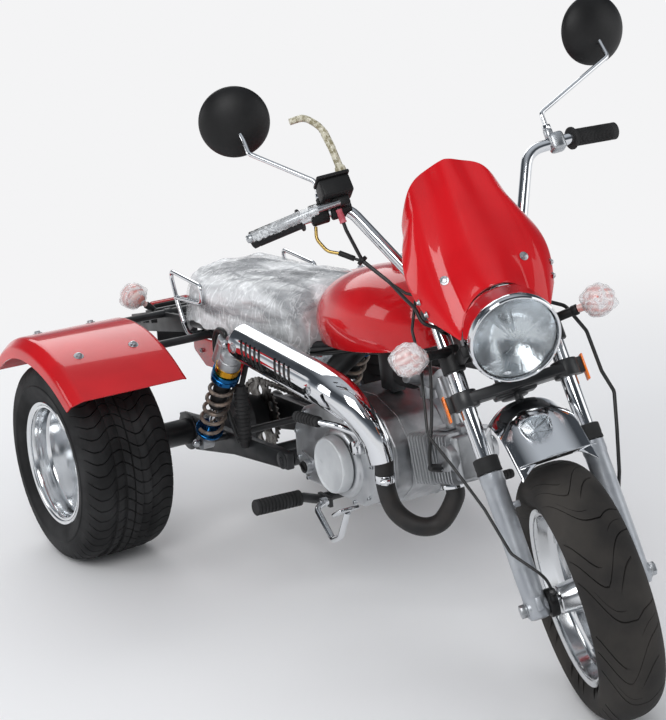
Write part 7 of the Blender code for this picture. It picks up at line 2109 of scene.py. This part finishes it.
spine = [
    MUFFLER_REAR + Vector((0, 0.004, 0.0)), MUFFLER_REAR.lerp(MUFFLER_FRONT, 0.33),
    MUFFLER_REAR.lerp(MUFFLER_FRONT, 0.66), MUFFLER_FRONT + Vector((0, 0.01, 0.0)),
    Vector((-0.166, 0.536, 0.496)), Vector((-0.154, 0.5, 0.468)), Vector((-0.142, 0.474, 0.428)),
    Vector((-0.136, 0.464, 0.384)),
]
reach = [MUFFLER_RADIUS + SHIELD_CLEAR] * 4 + [0.039, 0.034, 0.03, 0.028]


def shield_point(column, row):
    """A point of the shield's outer face, with its pressed band and rolled rear end."""
    share = column / 110
    point = smooth_at(spine, share)
    along = (smooth_at(spine, min(1, share + 0.02)) - smooth_at(spine, max(0, share - 0.02))).normalized()
    out = Vector((-1, 0, 0))
    out = (out - along * out.dot(along)).normalized()
    over = out.cross(along).normalized()
    if over.dot(Vector((0, -1, 1))) < 0:
        over = -over
    angle = -48 + 156 * row / 48
    radius = smooth_at(reach, share)
    along_band = min(1.0, max(0.0, (share - 0.035) / 0.02)) * min(1.0, max(0.0, (0.4 - share) / 0.02))
    across_band = min(1.0, max(0.0, (angle + 32) / 5)) * min(1.0, max(0.0, (33 - angle) / 5))
    radius -= 0.0022 * along_band * across_band
    flank = min(1.0, max(0.0, (share - 0.46) / 0.05)) * min(1.0, max(0.0, (0.92 - share) / 0.05))
    radius -= 0.0018 * flank * min(1.0, max(0.0, (angle + 38) / 6)) * min(1.0, max(0.0, (4 - angle) / 6))
    radius -= 0.004 * max(0.0, 1 - share / 0.012) ** 2
    return point + (out * cos(radians(angle)) + over * sin(radians(angle))) * radius


shield = grid("heat_shield_pressing", 110, 48, shield_point, closed=False, sharp=50)
thicken(shield, SHIELD_THICK, -1.0)
slot_outline = rounded_box(0.0046, 0.022, 0.0046, 4)
slots = []
run = MUFFLER_FRONT - MUFFLER_REAR
for count, start in ((5, 0.16), (4, 0.55)):
    for number in range(count):
        centre = MUFFLER_REAR + run * (start + 0.052 * number) + Vector((-0.034, 0, 0.005))
        cutter = slab("shield_slot", slot_outline, 0.06)
        slots.append(settle(
            cutter, Matrix.Translation(centre) @ Matrix.Rotation(radians(-20), 4, "X") @ ON_EDGE,
        ))
slots.append(settle(
    slab("bend_opening", rounded_box(0.0052, 0.017, 0.0052), 0.05),
    Matrix.Translation((-0.205, 0.548, 0.498)) @ Matrix.Rotation(radians(-30), 4, "X") @ ON_EDGE,
))
cut_away(shield, [join("shield_slots", *slots)])
finish(shield, chrome, "chassis", "heat_shield", slot="chrome")
screws = []
for share, angle in ((0.055, 2.0), (0.93, 2.0)):
    spot = around_muffler(share, angle, MUFFLER_RADIUS + SHIELD_CLEAR - 0.0015)
    out = (spot - around_muffler(share, angle, 0)).normalized()
    screws.append(settle(turn("shield_screw", [
        (0.0, 0.0018), (0.003, 0.002), (0.0034, 0.0042), (0.0062, 0.0038), (0.0078, 0.0022),
        (0.008, 0.0008), (0.0112, 0.0006), (0.0115, -0.0005), (0.0, -0.0005),
    ], steps=28), aimed(spot, out)))
finish(join("shield_screws", *screws), bolt_zinc, "chassis", slot="chrome")


# Fuel tank: two pressed and welded halves in gloss red, hollowed underneath
# for the backbone, with a chromed screw cap on a short neck.
def unit_section(power, foot, steps=40):
    """Flat-based domed section in half widths and shares of the height, from the middle of its base."""
    base = [
        (0.0, 0.0), (0.45, 0.0), (foot - 0.05, 0.0), (foot - 0.01, 0.015), (foot + 0.01, 0.06),
        (foot + (1 - foot) * 0.6, 0.18),
    ]
    dome = []
    for step in range(steps + 1):
        angle = pi * step / steps
        c, s = cos(angle), sin(angle)
        dome.append((abs(c) ** (2 / power) * (1 if c >= 0 else -1), 0.3 + 0.7 * abs(s) ** (2 / power)))
    return base + dome + [(-x, z) for x, z in reversed(base)]


def lofted(name, section, stations, columns, swell=None, sharp=50):
    """A closed form whose section follows stations of place, half width, base and top."""
    stations = [Vector(station) for station in stations]
    middle = Vector((0, stations[0][0], (stations[0][2] + stations[0][3]) / 2))
    last = Vector((0, stations[-1][0], (stations[-1][2] + stations[-1][3]) / 2))

    def shape(column, row):
        """A point of the form, closed at both ends."""
        if column == 0:
            return middle
        if column == columns:
            return last
        y, half, low, high = smooth_at(stations, (column - 1) / (columns - 2))
        x, z = section[row]
        spot = Vector((x * half, y, low + z * (high - low)))
        return swell(spot, x, z, (column - 1) / (columns - 2)) if swell else spot

    return grid(name, columns, len(section) - 1, shape, sharp=sharp)


tank = lofted("fuel_tank_shell", unit_section(2.3, 0.92), [
    (0.3965, 0.022, 0.622, 0.644), (0.3985, 0.038, 0.613, 0.656), (0.408, 0.066, 0.604, 0.682),
    (0.44, 0.095, 0.596, 0.709), (0.5, 0.118, 0.584, 0.726), (0.58, 0.128, 0.571, 0.729),
    (0.66, 0.122, 0.561, 0.716), (0.73, 0.105, 0.556, 0.692), (0.775, 0.082, 0.556, 0.668),
    (0.79, 0.062, 0.564, 0.644), (0.792, 0.04, 0.578, 0.628),
], 90, sharp=60)
tunnel = tube("tank_tunnel", backbone_line, BACKBONE_RADIUS + 0.0008, bend=0.1, sides=36, steps=10)
hanger_clear = brick("tank_hanger_clearance", (0.034, 0.1, 0.06), (0, 0.622, 0.56), edge=0.004)
cut_away(tank, [tunnel, hanger_clear])
CAP_Y = 0.56
NECK_TOP = 0.7345
neck = turn("filler_neck", [
    (0.0, NECK_TOP), (0.0245, NECK_TOP), (0.026, 0.7335), (0.026, 0.722), (0.03, 0.716), (0.0, 0.716),
])
finish(
    join("fuel_tank_shell", tank, settle(neck, Matrix.Translation((0, CAP_Y, 0)))), red_paint, "chassis",
    "fuel_tank", slot="red_paint",
)
cap = slab(
    "tank_cap_grip", toothed(24, 0.0, ((0.0, 0.0262), (0.3, 0.027), (0.7, 0.027))), 0.0095, 0.0012, 2,
)
settle(cap, Matrix.Translation((0, CAP_Y, NECK_TOP + 0.0003 + 0.00475)))
dome = turn("tank_cap_dome", [
    (0.0, 0.016), (0.008, 0.0157), (0.016, 0.0145), (0.021, 0.0122), (0.0235, 0.0092), (0.0235, 0.004),
    (0.0, 0.004),
], steps=64)
latch = brick("cap_latch", (0.01, 0.02, 0.0035), (0, CAP_Y, NECK_TOP + 0.0155), edge=0.0012)
finish(
    join("tank_cap_chromed", cap, settle(dome, Matrix.Translation((0, CAP_Y, 0.7348))), latch), chrome,
    "chassis", "tank_cap", slot="chrome",
)


# Seat: foam on a base, covered in grey vinyl with a welted edge, still under
# the clear film that it was shipped in. The film is creased and hangs down in
# points at its corners.
SEAT_FRONT = 0.798
SEAT_REAR = WHEELBASE - 0.03
vinyl = paint("grey seat vinyl", "#707377", 0.48, patches=("#686b6f", "#7a7d81", 14.0))
tree, surface, place = shader_of(vinyl)
hides = add(tree, "ShaderNodeTexVoronoi", {"Vector": place, "Scale": 520.0})
relief = add(
    tree, "ShaderNodeBump", {"Height": hides.outputs["Distance"], "Distance": 0.0003, "Strength": 0.8},
)
tree.links.new(relief.outputs["Normal"], surface.inputs["Normal"])
surface.inputs["Specular IOR Level"].default_value = 0.4
seat_section = unit_section(3.0, 0.94, 64)
seat_stations = []
for share, half, top in (
    (-0.003, 0.06, 0.594), (0.0, 0.08, 0.612), (0.016, 0.1, 0.634), (0.102, 0.118, 0.652),
    (0.318, 0.13, 0.645), (0.553, 0.134, 0.632), (0.749, 0.132, 0.628), (0.906, 0.124, 0.626),
    (0.98, 0.108, 0.612), (1.0, 0.085, 0.59), (1.002, 0.06, 0.575),
):
    y = SEAT_FRONT + share * (SEAT_REAR - SEAT_FRONT)
    seat_stations.append((
        y, half, rail_height(y) + RAIL_RADIUS + 0.0006 + (0.01 if half == 0.06 else 0.0), top,
    ))


def quilted(spot, x, z, share):
    """The foam's crown between the welt and three sewn cross channels."""
    dent = 0.0
    welt = abs(z - 0.74)
    if welt < 0.03:
        dent += 0.0022 * (1 - welt / 0.03)
    for channel in (0.42, 0.56, 0.7):
        away = abs(share - channel)
        if z > 0.8 and away < 0.016:
            dent += 0.003 * (1 - away / 0.016) * min(1.0, (z - 0.8) / 0.1)
    if z > 0.35:
        crown = Vector((x, 0, z - 0.3)).normalized()
        spot -= crown * dent
    return spot


seat = lofted("seat_cover", seat_section, seat_stations, 150, quilted, sharp=70)
cut_away(seat, [cross_bar(
    "shock_bar_clearance", -0.25, 0.25, SHOCK_TOP.y, SHOCK_TOP.z, 0.0112, sides=32, edge=0,
)])
finish(seat, vinyl, "chassis", "seat", slot="seat_cover")

# The film: clear where it lies on the vinyl, milky along its creases, with long white streaks of painted
# sheen over it.
seat_film = paint("creased clear seat film with painted sheen", "#f1f3f5", 0.2)
tree, surface, place = shader_of(seat_film)
lengthwise = add(
    tree, "ShaderNodeMapping", {"Vector": place, "Scale": (1.0, 0.3, 1.0), "Rotation": (0.25, 0.0, 0.35)},
)
sheen = add(
    tree, "ShaderNodeTexNoise",
    {"Vector": lengthwise.outputs["Vector"], "Scale": 17.0, "Detail": 4.0, "Distortion": 0.5},
)
crosswise = add(
    tree, "ShaderNodeMapping", {"Vector": place, "Scale": (0.5, 1.0, 0.35), "Rotation": (0.0, 0.5, -0.4)},
)
creases = add(
    tree, "ShaderNodeTexNoise",
    {"Vector": crosswise.outputs["Vector"], "Scale": 46.0, "Detail": 5.0, "Distortion": 0.8},
)
crease = add(tree, "ShaderNodeMath", {0: creases.outputs["Fac"], 1: 0.5}, operation="SUBTRACT")
crease = add(tree, "ShaderNodeMath", {0: crease.outputs[0]}, operation="ABSOLUTE")
line = add(
    tree, "ShaderNodeMapRange",
    {"Value": crease.outputs[0], "From Min": 0.0, "From Max": 0.03, "To Min": 0.3, "To Max": 0.0},
)
# Painted sheen: the lengthwise streaks set where the film turns white and opaque, as the milky film and its
# highlights would look.
milk_and_sheen = add(
    tree, "ShaderNodeMapRange",
    {"Value": sheen.outputs["Fac"], "From Min": 0.38, "From Max": 0.62, "To Min": 0.14, "To Max": 0.8},
)
alpha = add(tree, "ShaderNodeMath", {0: milk_and_sheen.outputs["Result"], 1: line.outputs["Result"]}, operation="ADD")
tree.links.new(alpha.outputs[0], surface.inputs["Alpha"])
relief = add(tree, "ShaderNodeBump", {"Height": sheen.outputs["Fac"], "Distance": 0.016, "Strength": 0.9})
ridges_of_film = add(
    tree, "ShaderNodeBump",
    {"Height": crease.outputs[0], "Distance": 0.003, "Strength": 0.8, "Normal": relief.outputs["Normal"]},
)
tree.links.new(ridges_of_film.outputs["Normal"], surface.inputs["Normal"])
FILM_COLUMNS, FILM_ROWS, FILM_END, FILM_EDGE = 130, 96, 8, 14
stations = [Vector(station) for station in seat_stations[1:-1]]


def draped(column, row):
    """A point of the film: over the seat, down its sides and round its ends."""
    share = min(1.0, max(0.0, (column - FILM_END) / (FILM_COLUMNS - 2 * FILM_END)))
    y, half, low, high = smooth_at(stations, share)
    over = max(0, FILM_END - column, column - (FILM_COLUMNS - FILM_END)) / FILM_END
    hang = max(0, FILM_EDGE - row, row - (FILM_ROWS - FILM_EDGE)) / FILM_EDGE
    turned = pi * min(1.0, max(0.0, (row - FILM_EDGE) / (FILM_ROWS - 2 * FILM_EDGE)))
    c, s = cos(turned), sin(turned)
    side = 1 if c >= 0 else -1
    belt = low + 0.3 * (high - low)
    x = (half + 0.0025) * abs(c) ** (2 / 3.0) * side
    z = belt + (high + 0.0025 - belt) * abs(s) ** (2 / 3.0)
    pattern = Vector((x * 20, y * 8, z * 20))
    broad, fine = noise.noise(pattern + Vector((y * 12, 0, 0))), noise.noise(pattern * 2.3)
    fold = abs(broad) * 0.01 + abs(fine) * 0.005
    out = Vector((c, 0, s * 0.8 + 0.05)).normalized()
    corner = max(0.0, 1 - abs(share - 0.06) / 0.1) * 0.03 + max(0.0, 1 - abs(share - 0.93) / 0.08) * 0.018
    drop = 0.034 + 0.02 * noise.noise(Vector((y * 11, side * 3.0, 0))) + corner
    spot = Vector((x, y, z)) + out * (0.001 + fold)
    if hang > 0:
        flutter = 0.0045 * noise.noise(Vector((y * 34, hang * 1.5, side * 5.0)))
        spot = Vector((
            side * (half + 0.0035 + 0.004 * hang) + flutter * hang + out.x * fold, y, belt - drop * hang,
        ))
    if over > 0:
        end = -1 if share < 0.5 else 1
        ragged = 0.012 * noise.noise(Vector((x * 40, end * 2.0, 0)))
        foot = belt - 0.02 - ragged - 0.01 * (abs(x) / half) ** 2
        rough = abs(noise.noise(Vector((x * 30, over * 2, end)))) * 0.002
        spot.y += end * (0.001 + 0.0012 * sin(over * pi / 2) + rough) * (1 if end < 0 else 2.4)
        spot.z = spot.z + (min(spot.z, foot) - spot.z) * over
    return spot


film = grid("seat_shipping_film", FILM_COLUMNS, FILM_ROWS, draped, closed=False, sharp=70)
finish(film, seat_film, "chassis")


# Under the seat: red side panels on a battery box, the wiring loom, a finned
# regulator and a bellows strut beside the frame.
panels, panel_bolts = [], []
for side, word in SIDES:
    panel = side_slab(f"panel_{word}", [(p.y, p.z) for p in bent_path([
        (0, 1.1, 0.468), (0, 1.03, 0.466), (0, 1.09, 0.412), (0, 1.25, 0.402), (0, 1.305, 0.432),
        (0, 1.3, 0.464), (0, 1.18, 0.47), (0, 1.1, 0.468),
    ], 0.012, 4)[:-1]], 0.004, side * (RAIL_X + 0.004), 0.0015, 3)
    panels.append(panel)
    for y, z in ((1.085, 0.445), (1.262, 0.436)):
        panel_bolts.append(socket_screw((side * (RAIL_X + 0.006), y, z), (side, 0, 0), 0.005))
finish(join("side_panel_pair", *panels), red_paint, "chassis", "side_panels", slot="red_paint")
finish(join("side_panel_bolts", *panel_bolts), bolt_zinc, "chassis", slot="chrome")
tray = brick("battery_box", (2 * RAIL_X, 0.12, 0.052), (0, 1.165, TRAY_TOP - 0.026), edge=0.004)
finish(tray, black_plastic, "chassis", slot="black_plastic")
fins = [brick("regulator_body", (0.018, 0.06, 0.046), (-0.099, 0.88, 0.492), edge=0.002)]
for number in range(6):
    fins.append(brick(
        "regulator_fin", (0.01, 0.0024, 0.044), (-0.111, 0.856 + number * 0.0096, 0.492), edge=0.0006,
        segments=1,
    ))
finish(join("voltage_regulator", *fins), cast_alloy, "chassis", slot="cast_alloy")
loom = [
    tube("wiring_loom", [
        (-0.03, 0.7, 0.538), (-0.078, 0.8, 0.512), (-0.088, 0.86, 0.514), (-0.086, 0.96, 0.5),
        (-0.08, 1.06, 0.488), (-0.07, 1.108, 0.47),
    ], 0.0055, sides=16, smooth=True),
    tube("regulator_leads", [
        (-0.094, 0.905, 0.474), (-0.096, 0.94, 0.462), (-0.088, 0.985, 0.484), (-0.082, 1.03, 0.492),
    ], 0.0038, sides=12, smooth=True),
    tube("engine_loom", [
        (-0.086, 0.85, 0.512), (-0.07, 0.84, 0.48), (-0.052, 0.8, 0.45), (-0.046, 0.77, 0.43),
    ], 0.0045, sides=12, smooth=True),
]
finish(join("wiring_loom", *loom), sheath, "chassis", slot="black_plastic")
strut_top, strut_foot = Vector((-0.139, 1.025, 0.412)), Vector((-0.126, 1.051, 0.262))
profile = [(0.0, 0.0), (0.01, 0.0), (0.012, 0.006)]
for number in range(13):
    high = 0.01 + number * 0.0098
    profile += [(0.0125, high), (0.016, high + 0.003), (0.016, high + 0.005), (0.0125, high + 0.008)]
profile += [(0.012, 0.142), (0.01, 0.151), (0.0, 0.151)]
bellows = settle(
    turn("bellows_strut", profile, steps=36, sharp=50), aimed(strut_top, strut_foot - strut_top),
)
strut_arm = bar("strut_arm", (-0.104, 1.022, 0.508), (-0.137, 1.025, 0.41), 0.006, sides=20)
finish(join("bellows_strut", bellows, strut_arm), grip_rubber, "chassis", slot="rubber")


# Grab loops: one bent chromed rod that runs under the seat rails and stands
# up beside the seat on both sides.
LOOP_X, LOOP_RADIUS, LOOP_Y = 0.146, 0.005, SEAT_REAR - 0.046
cross = rail_height(LOOP_Y) - RAIL_RADIUS - LOOP_RADIUS - 0.0006
half = [
    (LOOP_X - 0.01, LOOP_Y, cross), (LOOP_X, LOOP_Y, cross + 0.03), (LOOP_X, LOOP_Y + 0.026, 0.56),
    (LOOP_X, LOOP_Y + 0.048, 0.622), (LOOP_X, LOOP_Y - 0.1, 0.61), (LOOP_X, LOOP_Y - 0.1, 0.571),
    (LOOP_X, LOOP_Y + 0.026, 0.562),
]
loops = tube(
    "grab_loop_rod", [(-x, y, z) for x, y, z in reversed(half)] + half, LOOP_RADIUS, bend=0.014, sides=20,
    steps=5,
)
welds = [
    bar(
        "grab_weld", (side * LOOP_X, LOOP_Y + 0.019, 0.5624), (side * LOOP_X, LOOP_Y + 0.029, 0.5619),
        0.006, sides=20,
    )
    for side, _ in SIDES
]
finish(join("grab_loop_rod", loops, *welds), chrome, "chassis", "grab_loops", slot="chrome")


# Tail bracket: folded black steel with long slots, a plate tab, the tail lamp
# and the bagged rear indicators.
TAIL_FRONT = WHEELBASE - 0.018
TAIL_END = WHEELBASE + 0.2705
parts, cutters = [], []
oblong = rounded_box(0.018, 0.006, 0.006)
for side, word in SIDES:
    x = side * (RAIL_X + RAIL_RADIUS + 0.0028)
    parts.append(side_slab(f"tail_side_{word}", [
        (TAIL_FRONT, 0.47), (TAIL_END - 0.0085, 0.418), (TAIL_END + 0.0035, 0.43),
        (TAIL_END - 0.0005, 0.458), (TAIL_FRONT + 0.14, 0.494), (TAIL_FRONT, 0.507),
    ], 0.005, x, 0.0012))
    for number in range(3):
        cutters.append(settle(
            slab("tail_slot", oblong, 0.03),
            Matrix.Translation((
                x, TAIL_FRONT + 0.162 + number * 0.046, 0.466 - number * 0.009,
            )) @ Matrix.Rotation(radians(-11), 4, "X") @ ON_EDGE,
        ))
side_plates = cut_away(join("tail_sides", *parts), [join("tail_slots", *cutters)])
parts = [
    side_plates,
    brick(
        "tail_cross", (2 * (RAIL_X + RAIL_RADIUS) + 0.01, 0.006, 0.036), (0, TAIL_END - 0.003, 0.438),
        edge=0.0015,
    ),
    brick("number_plate_tab", (0.11, 0.004, 0.05), (0, TAIL_END - 0.004, 0.4), edge=0.0015),
    brick(
        "tail_deck", (2 * (RAIL_X + RAIL_RADIUS) + 0.008, 0.06, 0.005), (0, TAIL_FRONT + 0.18, 0.4865),
        (radians(-13.6), 0, 0), 0.0015,
    ),
]
for side, word in SIDES:
    inner = Vector((side * (RAIL_X + 0.004), TAIL_FRONT + 0.17, 0.484))
    tip = Vector((side * (RAIL_X + 0.06), TAIL_FRONT + 0.17, 0.532))
    joint = inner.lerp(tip, 0.45)
    parts.append(bar("rear_stalk", inner, joint, 0.007, 0.0088, 28))
    lamp = lamp_body(
        f"rear_indicator_{word}_lamp", tip, joint + (tip - joint).normalized() * 0.0004, 0.0065,
        (radians(-90), 0, 0),
    )
    finish(lamp, indicator_lens, "chassis", f"rear_indicator_{word}", slot="indicator_lens")
    bag = film_bag(f"rear_indicator_{word}_bag", tip, (radians(-90), 0, 0), 0.0315, 7.7 + side)
    finish(bag, clear_film, "chassis")
finish(join("tail_bracket_folded", *parts), black_paint, "chassis", "tail_bracket", slot="black_paint")
tail_lens = paint("red tail lamp acrylic", "#a01418", 0.12, patches=("#951216", "#ad181d", 40.0))
tree, surface, place = shader_of(tail_lens)
prisms = add(tree, "ShaderNodeTexChecker", {"Vector": place, "Scale": 260.0})
relief = add(tree, "ShaderNodeBump", {"Height": prisms.outputs["Fac"], "Distance": 0.0006, "Strength": 0.6})
tree.links.new(relief.outputs["Normal"], surface.inputs["Normal"])
lamp_y = TAIL_END + 0.0005 + 0.0003
base = brick("tail_lamp_base", (0.106, 0.01, 0.048), (0, lamp_y + 0.005, 0.446), edge=0.004)
finish(base, black_plastic, "chassis", slot="black_plastic")
lens = brick("tail_lamp_lens", (0.11, 0.026, 0.052), (0, lamp_y + 0.021, 0.446), edge=0.009, segments=5)
finish(lens, tail_lens, "chassis", "tail_lamp", slot="tail_lens")


# Foot controls: ribbed rubber pegs on a bent bar, a chromed brake pedal with
# a flat pad, the kick starter and the gear lever with their rubbers.
bar_z = CASE_BOTTOM - 0.0103
peg_bar = tube("peg_bar", [
    (-0.278, 0.72, 0.252), (-0.175, 0.72, 0.248), (-0.14, 0.72, bar_z), (0.14, 0.72, bar_z),
    (0.175, 0.72, 0.248), (0.278, 0.72, 0.252),
], 0.01, bend=0.02, sides=24)
mount = brick("peg_mount", (0.12, 0.05, 0.006), (0, 0.72, bar_z - 0.0085), edge=0.0015)
lug = brick("pedal_lug", (0.0092, 0.047, 0.0216), (-0.1307, 0.7065, 0.2358), edge=0.0015)
finish(join("footpeg_bar", peg_bar, mount, lug), black_paint, "chassis", slot="black_paint")
rubbers = []
for side, _ in SIDES:
    profile = [(0.0, 0.105), (0.015, 0.105), (0.0165, 0.1035)]
    for rib in range(12):
        high = 0.1035 - rib * 0.008
        profile += [
            (0.0165, high), (0.0165, high - 0.005), (0.0142, high - 0.0055), (0.0142, high - 0.0074),
        ]
    profile += [(0.0165, 0.006), (0.0165, 0.0015), (0.0, 0.0015)]
    rubber = turn("peg_rubber", profile, steps=40)
    rubbers.append(settle(
        rubber,
        Matrix.Translation((side * 0.182, 0.72, 0.249)) @ Matrix.Rotation(side * radians(88), 4, "Y"),
    ))
finish(join("footpeg_rubbers", *rubbers), grip_rubber, "chassis", "footpegs", slot="rubber")

pedal = tube("brake_pedal_arm", [
    (-0.146, 0.69, 0.236), (-0.168, 0.68, 0.232), (-0.186, 0.59, 0.196), (-0.188, 0.556, 0.214),
    (-0.186, 0.528, 0.272),
], 0.0065, bend=0.02, sides=24)
pad = brick("pedal_pad", (0.046, 0.04, 0.008), (-0.19, 0.528, 0.2762), (radians(-30), 0, 0), 0.003)
ridges = [brick(
    "pad_ridge", (0.04, 0.003, 0.004), (-0.19, 0.5145 + k * 0.009, 0.2765 + 0.0078 - 0.0052 * k),
    (radians(-30), 0, 0), 0.0008, 1,
) for k in range(4)]
pivot = cross_bar("pedal_pivot", -0.1356, -0.152, 0.693, 0.237, 0.01, sides=28)
finish(join("brake_pedal_arm", pedal, pad, *ridges, pivot), chrome, "chassis", "brake_pedal", slot="chrome")

x = -COVER_FACE
kick = tube("kick_arm", [
    (x - 0.012, KICK_Y, KICK_Z), (x - 0.016, 0.512, 0.426), (x - 0.05, 0.54, 0.446),
    (x - 0.068, 0.6, 0.446), (x - 0.07, 0.61, 0.446),
], 0.0065, bend=0.02, sides=24)
kick_hub = cross_bar("kick_hub", x - 0.0043, x - 0.019, KICK_Y, KICK_Z, 0.014, sides=36, edge=0.0015)
pinch = upright("kick_pinch_bolt", x - 0.0115, 0.53, 0.384, 0.404, 0.0042, sides=6)
finish(join("kick_starter_arm", kick, kick_hub, pinch), chrome, "chassis", slot="chrome")


def ribbed(count, start, crest, groove):
    """Ribs along a rubber sleeve, as points of its profile."""
    points = []
    for rib in range(count):
        high = start + rib * 0.0082
        points += [(crest, high), (crest, high + 0.005), (groove, high + 0.0056), (groove, high + 0.0076)]
    return points


profile = [(0.0, 0.0), (0.0095, 0.0), *ribbed(8, 0.002, 0.0112, 0.0098), (0.0095, 0.069), (0.0, 0.069)]
start, end = Vector((x - 0.065, 0.588, 0.446)), Vector((x - 0.078, 0.656, 0.446))
sleeve = settle(turn("kick_rubber", profile, steps=32), aimed(start, end - start))
finish(sleeve, grip_rubber, "chassis", "kick_starter", slot="rubber")

gear = tube("gear_arm", [
    (CASE_HALF + 0.0003, 0.655, 0.262), (0.15, 0.655, 0.262), (0.158, 0.6, 0.258), (0.16, 0.525, 0.262),
    (0.2, 0.52, 0.262),
], 0.006, bend=0.015, sides=20)
finish(gear, chrome, "chassis", slot="chrome")
profile = [(0.0, 0.0), (0.009, 0.0), *ribbed(4, 0.0015, 0.01, 0.0086), (0.009, 0.0345), (0.0, 0.0345)]
toe = settle(
    turn("gear_toe_rubber", profile, steps=32),
    Matrix.Translation((0.172, 0.5205, 0.262)) @ Matrix.Rotation(pi / 2, 4, "Y"),
)
finish(toe, grip_rubber, "chassis", "gear_lever", slot="rubber")
